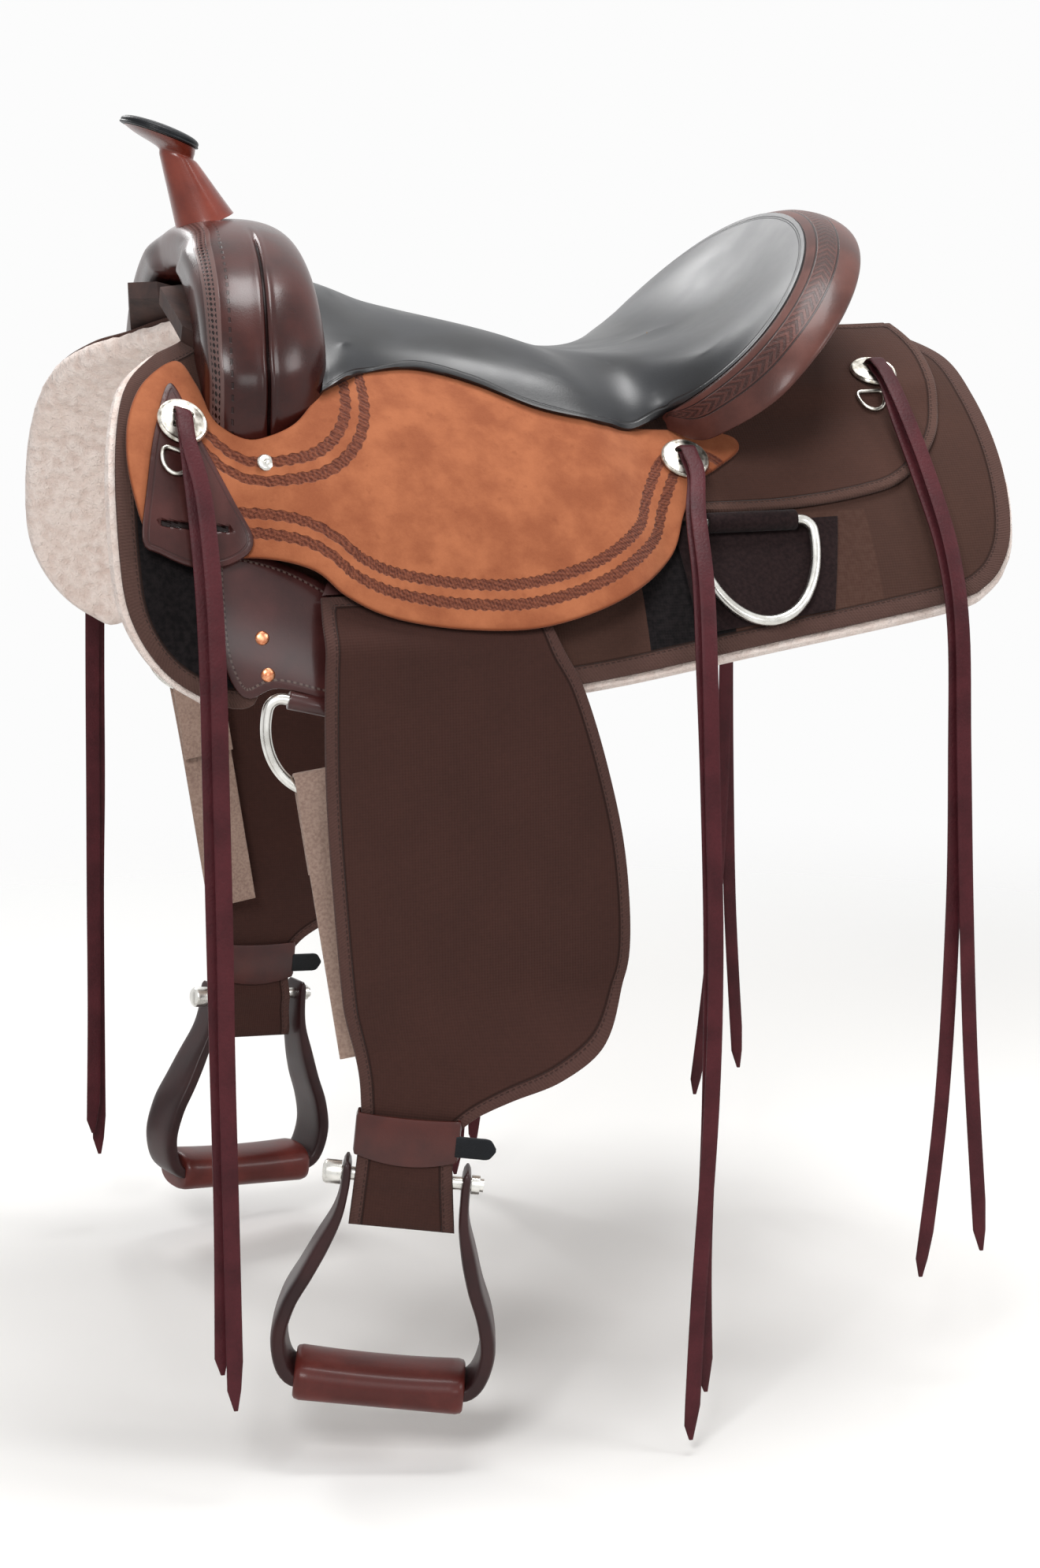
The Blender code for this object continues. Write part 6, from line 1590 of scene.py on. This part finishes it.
# Each tail's points run from its tip up, as (x, distance from the middle plane, z).
STRING_TAILS = {
    "front": (
        [
            (-0.275, 0.300, -0.701), (-0.272, 0.293, -0.587), (-0.271, 0.284, -0.472),
            (-0.270, 0.276, -0.375), (-0.269, 0.268, -0.273), (-0.268, 0.261, -0.195),
            (-0.268, 0.249, -0.129), (-0.269, 0.231, -0.075),
        ],
        [
            (-0.268, 0.311, -0.725), (-0.267, 0.302, -0.587), (-0.266, 0.293, -0.472),
            (-0.264, 0.284, -0.375), (-0.263, 0.276, -0.272), (-0.262, 0.269, -0.195),
            (-0.262, 0.257, -0.129), (-0.264, 0.238, -0.070),
        ],
    ),
    "seat": (
        [
            (0.093, 0.316, -0.752), (0.092, 0.312, -0.649), (0.097, 0.306, -0.528),
            (0.099, 0.300, -0.408), (0.098, 0.292, -0.290), (0.097, 0.283, -0.203),
            (0.102, 0.260, -0.142), (0.112, 0.217, -0.097),
        ],
        [
            (0.077, 0.328, -0.784), (0.084, 0.322, -0.676), (0.096, 0.3135, -0.527),
            (0.100, 0.307, -0.408), (0.099, 0.299, -0.289), (0.099, 0.291, -0.203),
            (0.104, 0.268, -0.142), (0.113, 0.225, -0.094),
        ],
    ),
    "rear": (
        [
            (0.296, 0.258, -0.703), (0.311, 0.256, -0.562), (0.318, 0.252, -0.404),
            (0.318, 0.248, -0.280), (0.317, 0.243, -0.188), (0.316, 0.222, -0.131),
            (0.313, 0.182, -0.078), (0.310, 0.1445, -0.0335),
        ],
        [
            (0.344, 0.267, -0.683), (0.332, 0.263, -0.530), (0.326, 0.259, -0.403),
            (0.322, 0.255, -0.279), (0.320, 0.250, -0.186), (0.319, 0.229, -0.127),
            (0.317, 0.189, -0.073), (0.313, 0.1515, -0.0285),
        ],
    ),
}


def build_string_leather():
    """Burgundy latigo leather with a fine fibre."""
    thong = Finish("string_leather", Specular_IOR_Level=0.18)
    cloud = thong.noise(0.030, 3.0).rise(0.3, 0.7)
    fibre = thong.noise(0.0020, 3.0)
    shade = thong.mix(dye(48, 14, 19), dye(80, 31, 37), cloud * 0.5 + fibre * 0.5)
    thong.set(Base_Color=shade, Roughness=0.42 + fibre * 0.18, Normal=thong.relief(fibre, 0.0004))
    return thong


string_leather = build_string_leather()


def thong(name, line, centre, tangent, finish):
    """A flat thong along a line: its width lies level, or along the saddle near its concho, and
    its end is cut slanting. Its rings are thinned to a soft round at both edges."""
    near = ease(1.6 - np.linalg.norm(line - centre, axis=1) / 0.030)[:, None]
    across = np.array((1.0, 0, 0)) * (1 - near) + tangent * near
    across /= np.linalg.norm(across, axis=1, keepdims=True)
    length = np.concatenate(([0], np.cumsum(np.linalg.norm(np.diff(line, axis=0), axis=1))))
    left_half = np.minimum(1, 0.25 + (length[-1] - length) / 0.016)
    right_half = np.minimum(1, 0.25 + (length[-1] - length) / 0.034)
    start = line - across * (STRING_WIDTH / 2 * left_half)[:, None]
    end = line + across * (STRING_WIDTH / 2 * right_half)[:, None]
    rows = np.stack((start, end), 1)
    shares = np.array((0, 0.08, 0.22, 0.5, 0.78, 0.92, 1))
    thin = np.array((0.45, 0.85, 1, 1, 1, 0.85, 0.45))
    middle = rows[:, :1] + (rows[:, 1:] - rows[:, :1]) * shares[:, None]
    along = np.gradient(line, axis=0)[:, None]
    normal = np.cross(along, across[:, None])
    normal /= np.linalg.norm(normal, axis=2, keepdims=True)
    reach = normal * (STRING / 2 * thin)[:, None]
    rings = np.concatenate((middle + reach, (middle - reach)[:, ::-1]), 1)
    return loft(name, rings, finish, sharp=60), float(length[-1])


for side_name, side in SIDES:
    for which, tails in STRING_TAILS.items():
        x, s = CONCHOS[which]
        low = concho_lift(which) + CONCHO_HEIGHT + STRING / 2 + 0.0004
        high = low + STRING_SPACE
        centre = side_point(x, s, concho_lift(which), side)
        tangent = side_tangent(x, s, concho_lift(which), side)
        under = [(-0.0030, low - 0.0030), (0.0, low + 0.0003), (0.006, low), (0.024, low + 0.001)]
        over = [(-0.0075, low - 0.0020), (-0.0040, low + 0.0030), (0.0, high - 0.0008)]
        over += [(0.006, high), (0.024, high + 0.002)]
        for title, fold, tail in (("under", under, tails[0]), ("over", over, tails[1])):
            points = [side_point(x, s + down, lift, side) for down, lift in fold]
            points += [np.array((a, side * y, z)) for a, y, z in reversed(tail)]
            line = even_curve(np.array(points), 6)
            piece, length = thong(f"{which}_thong_{title}_{side_name}", line, centre, tangent, string_leather)
            dress(piece, "saddle", "string_leather", f"{which}_string_{side_name}")
            line[::3].tolist() + [line[-1].tolist()]


# Stirrup leathers
# Each leather loops over the tree's bar and comes out under the seat jockey, where the
# fender's cloth is sewn to its end. The whole leg swings on the bar.
HINGE_X, HINGE_Y, HINGE_Z, HINGE_YAW = -0.100, 0.260, -0.178, math.radians(4.5)
UPPER_SLOPE, LOWER_LEAN, PIVOT_UP = math.radians(56), math.radians(1.5), 0.150
LEATHER, LEATHER_WIDTH, WRAP = 0.003, 0.070, 0.0025
BAR_TOP, BAR_INNER, BAR_OUTER = 0.0183, 0.048, 0.132


def hinge_axes(side):
    """Along the hinge at the jockey's lower edge, straight out from it, and its middle."""
    rear = np.array((math.cos(HINGE_YAW), -side * math.sin(HINGE_YAW), 0))
    out = np.array((math.sin(HINGE_YAW), side * math.cos(HINGE_YAW), 0))
    return rear, out, np.array((HINGE_X, side * HINGE_Y, HINGE_Z))


def hinge_plane(a, up, off, side, slope):
    """A plane through the hinge at a slope from level: a along the hinge, up the slope towards
    the saddle, off outwards."""
    rear, out, middle = hinge_axes(side)
    sky = np.array((0, 0, 1.0))
    rise = sky * math.sin(slope) - out * math.cos(slope)
    normal = out * math.sin(slope) + sky * math.cos(slope)
    a, up, off = (np.asarray(v, float)[..., None] for v in np.broadcast_arrays(a, up, off))
    return middle + rear * a + rise * up + normal * off


def upper_point(a, up, off, side):
    """The leather's plane above the hinge, which slopes up towards the bar."""
    return hinge_plane(a, up, off, side, UPPER_SLOPE)


dark_leather = glossy_leather("dark_leather", dye(44, 22, 22), dye(72, 40, 38), 0.40, 0.20)
half = LEATHER_WIDTH / 2
# The leather's outline as (height over the hinge, front edge, rear edge), with a round end.
leather_edge = [(0.042, -0.079, 0.083), (0.056, -0.070, 0.068), (0.070, -0.050, 0.044)]
leather_edge += [(0.084, -half, half), (PIVOT_UP - 0.022, -half, half)]
for degrees in (25, 50, 70):
    reach = half * math.cos(math.radians(degrees))
    leather_edge.append((PIVOT_UP - 0.022 + half * math.sin(math.radians(degrees)), -reach, reach))
front_edge = [(front, up) for up, front, rear in leather_edge]
rear_edge = [(rear, up) for up, front, rear in reversed(leather_edge)]
leather_border = curve([front_edge[0]] + front_edge + rear_edge + [rear_edge[-1]], 0.006, closed=True)


def wrap_rows(side):
    """The loop: out over the bar, round its upper edge and back through the groove below."""
    off = LEATHER / 2 + WRAP / 2 + LAYER_GAP
    over, under = BAR_TOP + 2 * LAYER_GAP + WRAP / 2, SKIRT + 2 * LAYER_GAP + WRAP / 2
    rise = (over - under) / 2
    pivot_x = float(upper_point(0, PIVOT_UP, 0, side)[0])
    shares = np.array((-0.5, 0.5)) * LEATHER_WIDTH
    rows = [upper_point(shares, PIVOT_UP + up, off, side) for up in (-0.014, 0.016)]
    rows += [side_point(pivot_x + shares, s, over, side) for s in (BAR_OUTER, 0.105, 0.080, BAR_INNER)]
    for degrees in (45, 90, 135):
        angle = math.radians(degrees)
        s, lift = BAR_INNER - 0.004 * math.sin(angle) - 0.001, under + rise + rise * math.cos(angle)
        rows.append(side_point(pivot_x + shares, s, lift, side))
    back = (BAR_INNER, 0.080, 0.105, BAR_OUTER + 0.004)
    rows += [side_point(pivot_x + shares, s, under, side) for s in back]
    rows += [upper_point(shares, PIVOT_UP + up, -off, side) for up in (0.016, -0.014)]
    return rows


for side_name, side in SIDES:
    leather = panel(
        f"swinging_leather_{side_name}",
        leather_border,
        lambda a, up, off: upper_point(a, up, off, side),
        lambda a, up, distance: -LEATHER / 2 + 0 * a,
        lambda a, up, distance: LEATHER / 2 + 0 * a,
        dark_leather,
        spacing=0.007,
        edge=0.0010,
    )
    dress(leather, f"stirrup_leather_{side_name}", "dark_leather", f"stirrup_leather_{side_name}")
    loop = strip(f"bar_loop_{side_name}", wrap_rows(side), WRAP, dark_leather, pieces=4)
    dress(loop, "saddle", "dark_leather", f"leather_wrap_{side_name}")


# Fenders
# The fender is a broad leg shield of the skirts' cloth with a bound edge. It narrows to a
# neck that is turned towards the stirrup and folded round the stirrup's bolt.
FENDER, NECK, NECK_WIDTH, TWIST_START, FENDER_DROP = 0.005, 0.010, 0.079, 0.260, 0.345
BOLT_DOWN, BOLT_SHIFT, STIRRUP_YAW, STIRRUP_ROLL = 0.397, -0.030, math.radians(16), math.radians(6)
BEND, NECK_BLEND, BOLT_SWELL, FOOT_THIN, FOOT_BLEND = 0.018, 0.040, 0.0032, 0.0022, 0.008
neck_front, neck_rear = BOLT_SHIFT - NECK_WIDTH / 2, BOLT_SHIFT + NECK_WIDTH / 2
neck_foot = BOLT_DOWN + 0.039


def lower_point(a, down, off, side):
    """The fender's plane below the hinge, which leans out a little from plumb."""
    return hinge_plane(a, -down, off, side, math.pi / 2 - LOWER_LEAN)


def stirrup_stand(side):
    """At the bolt's middle: X along the bolt to the rear, -Z down the stirrup."""
    centre = lower_point(BOLT_SHIFT, BOLT_DOWN, 0, side)
    flat = np.array((math.cos(STIRRUP_YAW), side * math.sin(STIRRUP_YAW), 0))
    along = flat * math.cos(STIRRUP_ROLL) - np.array((0, 0, math.sin(STIRRUP_ROLL)))
    up = np.array((0, 0, 1.0))
    up = unit(up - along * (up @ along))
    return stand_at(centre, along, np.cross(up, along), up)


def fender_point(a, down, off, side):
    """A fender's point: on the leather's slope above the hinge, bent over it into the fender's
    plane, and turned into the stirrup's plane below."""
    bent = ease((down + BEND) / (2 * BEND))[..., None]
    flat = upper_point(a, -down, off, side) * (1 - bent) + lower_point(a, down, off, side) * bent
    stand = stirrup_stand(side)
    a, down, off = np.broadcast_arrays(a, down, off)
    turned_to = moved(np.stack((a - BOLT_SHIFT, side * off, BOLT_DOWN - down), -1), stand)
    share = ease((down - TWIST_START) / (FENDER_DROP - TWIST_START))[..., None]
    return flat * (1 - share) + turned_to * share


fender_border = curve(
    [
        (-0.080, -0.0405), (-0.080, -0.0405), (-0.084, 0.0008), (-0.086, 0.100), (-0.080, 0.216),
        (-0.073, 0.300), (neck_front, 0.338), (neck_front + 0.0015, 0.352),
        (neck_front + 0.0015, 0.382), (neck_front, neck_foot), (neck_front, neck_foot),
        (neck_rear, neck_foot), (neck_rear, neck_foot), (neck_rear - 0.0065, 0.384),
        (neck_rear - 0.0065, 0.360), (neck_rear - 0.0065, 0.360), (0.018, 0.345), (0.044, 0.331),
        (0.082, 0.317), (0.121, 0.297), (0.143, 0.268), (0.151, 0.232), (0.147, 0.164), (0.133, 0.098),
        (0.114, 0.038), (0.094, 0.0008), (0.084, -0.0405), (0.084, -0.0405),
    ],
    0.005,
    closed=True,
)


def fender_half(a, down, distance):
    """Half the thickness: thin above, doubled in the neck and swollen over the bolt."""
    plain = FENDER / 2 + (NECK / 2 - FENDER / 2) * ease((down - FENDER_DROP) / NECK_BLEND)
    over_bolt = BOLT_SWELL * hump(down, BOLT_DOWN, 0.0085)
    return plain + over_bolt - FOOT_THIN * ease((down - neck_foot + FOOT_BLEND) / FOOT_BLEND)


fender_cloth = cloth("fender_cloth", dye(66, 43, 38), dye(84, 60, 55), braid=0.0095)
foot_row = int(np.argmin(abs(fender_border - (neck_front, neck_foot)).sum(1)))
rear_row = int(np.argmin(abs(fender_border - (neck_rear, neck_foot)).sum(1)))
fender_guide = np.concatenate((fender_border[rear_row:], fender_border[: foot_row + 1]))
for side_name, side in SIDES:
    fender = panel(
        f"fender_cover_{side_name}",
        fender_border,
        lambda a, down, off: fender_point(a, down, off, side),
        lambda a, down, distance: -fender_half(a, down, distance),
        fender_half,
        fender_cloth,
        spacing=0.005,
        edge=0.0018,
        guide=fender_guide,
    )
    above, below = upper_point(0, 0.022, 0, side).tolist(), lower_point(0, 0.022, 0, side).tolist()
    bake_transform(fender)
    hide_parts(f"fender_{side_name}")


# Hobble straps
# A short polished strap buckles round each neck above the stirrup and holds its layers
# together. Its black end sticks out behind.
HOBBLE_UP, HOBBLE_HEIGHT, HOBBLE_WALL, HOBBLE_TAIL = 0.030, 0.032, 0.003, 0.028
HOBBLE_PINCH, HOBBLE_SHIFT = 0.0035, -0.0025
hobble_leather = glossy_leather("hobble_leather", dye(46, 14, 11), dye(76, 29, 22), 0.28, 0.4)


def rounded_box(half_x, half_y, corner, count):
    """A closed line round a box with round corners, spaced by angle on a squared circle."""
    turn = full_turn(count)
    c, s = np.cos(turn), np.sin(turn)
    x = np.clip(half_x * 1.6 * c, -(half_x - corner), half_x - corner)
    y = np.clip(half_y * 4.0 * s, -(half_y - corner), half_y - corner)
    return np.stack((x, y), -1) + np.stack((squared(c, 0.6), squared(s, 0.6)), -1) * corner


for side_name, side in SIDES:
    stand = stirrup_stand(side)
    inner_x, inner_y = NECK_WIDTH / 2 - HOBBLE_PINCH, NECK / 2 + LAYER_GAP
    thin = HOBBLE_WALL * 0.7
    walls = ((HOBBLE_WALL, 0.8), (HOBBLE_WALL, -0.8), (thin, -1), (0.0004, -1), (0.0004, 1), (thin, 1))
    rings = []
    for wall, level in walls:
        line = rounded_box(inner_x + wall, inner_y + wall, 0.0025 + wall, 120)
        sag = 0.0058 * (1 - np.clip(line[:, 0] / inner_x, -1, 1) ** 2)
        line[:, 0] += HOBBLE_SHIFT
        height = HOBBLE_UP + level * HOBBLE_HEIGHT / 2 - sag * (0.25 if level > 0 else 1.0) + 0.0030
        rings.append(moved(np.column_stack((line, height)), stand))
    strap = loft(f"hobble_band_{side_name}", np.array(rings), hobble_leather, closed=True, sharp=50)
    dress(strap, f"fender_{side_name}", "rust_leather", f"hobble_strap_{side_name}")
    tail_start, tail_y = inner_x + HOBBLE_SHIFT + HOBBLE_WALL - 0.003, inner_y + HOBBLE_WALL / 2
    rows = []
    for step in np.linspace(0, 1, 9):
        reach = HOBBLE_HEIGHT * 0.25 * math.sqrt(max(1 - max(0, (step - 0.72) / 0.28) ** 2, 0.02))
        x = tail_start + step * (HOBBLE_TAIL + 0.002)
        rows.append([moved((x, -tail_y, HOBBLE_UP + reach * k), stand) for k in (1, -1)])
    name = f"hobble_end_{side_name}"
    tail = strip(name, rows, HOBBLE_WALL * 0.85, cap_leather, round_edge=0.0009, pieces=3)
    dress(tail, f"fender_{side_name}", "rust_leather")


# Stirrups
# Each stirrup is a bell of steel-edged wood covered in dark leather, which turns on a plated
# bolt through the fender's neck. Its tread is padded and wrapped in rust leather.
EAR_OUTER, EAR_DEPTH, EAR_THICKNESS = 0.048, 0.030, 0.0068
STIRRUP_HEIGHT, STIRRUP_WIDTH, FRAME_DEPTH, FRAME_THICKNESS = 0.176, 0.168, 0.048, 0.012
TREAD_LENGTH, TREAD_DEPTH, TREAD_HEIGHT = 0.127, 0.058, 0.034
BOLT_RADIUS, BOLT_HEAD, BELL_SHIFT = 0.005, 0.009, -0.005
stirrup_leather = glossy_leather("stirrup_cover_leather", dye(32, 15, 16), dye(54, 28, 28), 0.38, 0.12)
tread_leather = glossy_leather("tread_leather", dye(66, 22, 18), dye(102, 43, 37), 0.40, 0.16)


def bell_line():
    """The stirrup's outline seen from the side, from the front ear round to the rear one."""
    ear, wide = EAR_OUTER - EAR_THICKNESS / 2, STIRRUP_WIDTH / 2 - FRAME_THICKNESS / 2
    foot = STIRRUP_HEIGHT - TREAD_HEIGHT / 2
    half = [(ear, 0.012), (ear, -0.008), (ear + 0.0025, -0.030), (ear + 0.0095, -0.052)]
    half += [(wide - 0.0150, -0.076), (wide - 0.0045, -0.101), (wide, -0.128)]
    half += [(wide - 0.008, -foot + 0.006), (wide - 0.028, -foot), (0.0, -foot)]
    right = curve([(x, 0, z) for x, z in half], 0.004)
    line = np.concatenate((right, right[-2::-1] * (-1, 1, 1)))
    line[:, 0] += BELL_SHIFT * ease(-line[:, 2] / 0.10)
    return line


def bell_rings(stand):
    """A squared oval section carried along the bell, deeper and thicker towards the foot."""
    line = bell_line()
    along = unit(np.gradient(line, axis=0))
    across = np.stack((along[:, 2], 0 * along[:, 0], -along[:, 0]), -1)
    depth = (EAR_DEPTH + (FRAME_DEPTH - EAR_DEPTH) * ease(-line[:, 2] / 0.10)) / 2
    thick = (EAR_THICKNESS + (FRAME_THICKNESS - EAR_THICKNESS) * ease((-line[:, 2] - 0.012) / 0.05)) / 2
    ends = np.minimum(np.arange(len(line)), np.arange(len(line))[::-1])
    soften = np.sqrt(np.clip(1 - (1 - np.minimum(ends / 2.5, 1)) ** 2, 0.12, 1))
    turn = full_turn(40)
    u, v = squared(np.cos(turn), 0.45), squared(np.sin(turn), 0.45)
    rings = line[:, None] + across[:, None] * (thick * soften)[:, None, None] * u[:, None]
    rings[..., 1] += (depth * (0.75 + 0.25 * soften))[:, None] * v
    return moved(rings, stand)


def tread_rings(stand):
    """A squared oval carried along the bell's foot: it draws in at its two round ends, and its
    top is dished along the middle."""
    foot = -(STIRRUP_HEIGHT - TREAD_HEIGHT / 2)
    end = np.cos(np.linspace(0, 1.2, 7))
    along = np.concatenate((-end, np.linspace(-0.30, 0.30, 9), end[::-1]))[:, None]
    ends = np.clip((1 - abs(along)) / 0.09, 0, 1)
    size = 0.86 + 0.14 * np.sqrt(1 - (1 - ends) ** 2)
    dish = 0.0022 * (along**2 - 0.5)
    c, s = np.cos(full_turn(56)), np.sin(full_turn(56))
    x = along * TREAD_LENGTH / 2 + BELL_SHIFT + 0 * c
    y = size * squared(c, 0.8) * TREAD_DEPTH / 2
    z = foot + size * squared(s, 0.8) * TREAD_HEIGHT / 2 + dish * (s > 0)
    return moved(np.stack((x, y, z), -1), stand)


reach = EAR_OUTER + 0.0004
bolt_profile = [
    (0.0, reach + 0.014), (BOLT_HEAD * 0.55, reach + 0.0138), (BOLT_HEAD * 0.85, reach + 0.0128),
    (BOLT_HEAD, reach + 0.0110), (BOLT_HEAD, reach), (BOLT_RADIUS, reach), (BOLT_RADIUS, -reach),
    (BOLT_HEAD * 0.8, -reach), (BOLT_HEAD * 0.8, -reach - 0.006), (BOLT_RADIUS, -reach - 0.006),
    (BOLT_RADIUS, -reach - 0.009), (0.0, -reach - 0.009),
]
for side_name, side in SIDES:
    stand = stirrup_stand(side)
    bell = loft(f"stirrup_bell_{side_name}", bell_rings(stand), stirrup_leather, sharp=60)
    dress(bell, f"stirrup_{side_name}", "dark_leather", f"stirrup_{side_name}")
    tread = loft(f"tread_wrap_{side_name}", tread_rings(stand), tread_leather, sharp=60)
    dress(tread, f"stirrup_{side_name}", "rust_leather", f"stirrup_tread_{side_name}")
    lying = stand_at(stand[:3, 3], stand[:3, 2], stand[:3, 1], -stand[:3, 0])
    bolt = turned(f"bolt_{side_name}", lying, bolt_profile, steel, 32)
    dress(bolt, f"stirrup_{side_name}", "steel", f"stirrup_bolt_{side_name}")
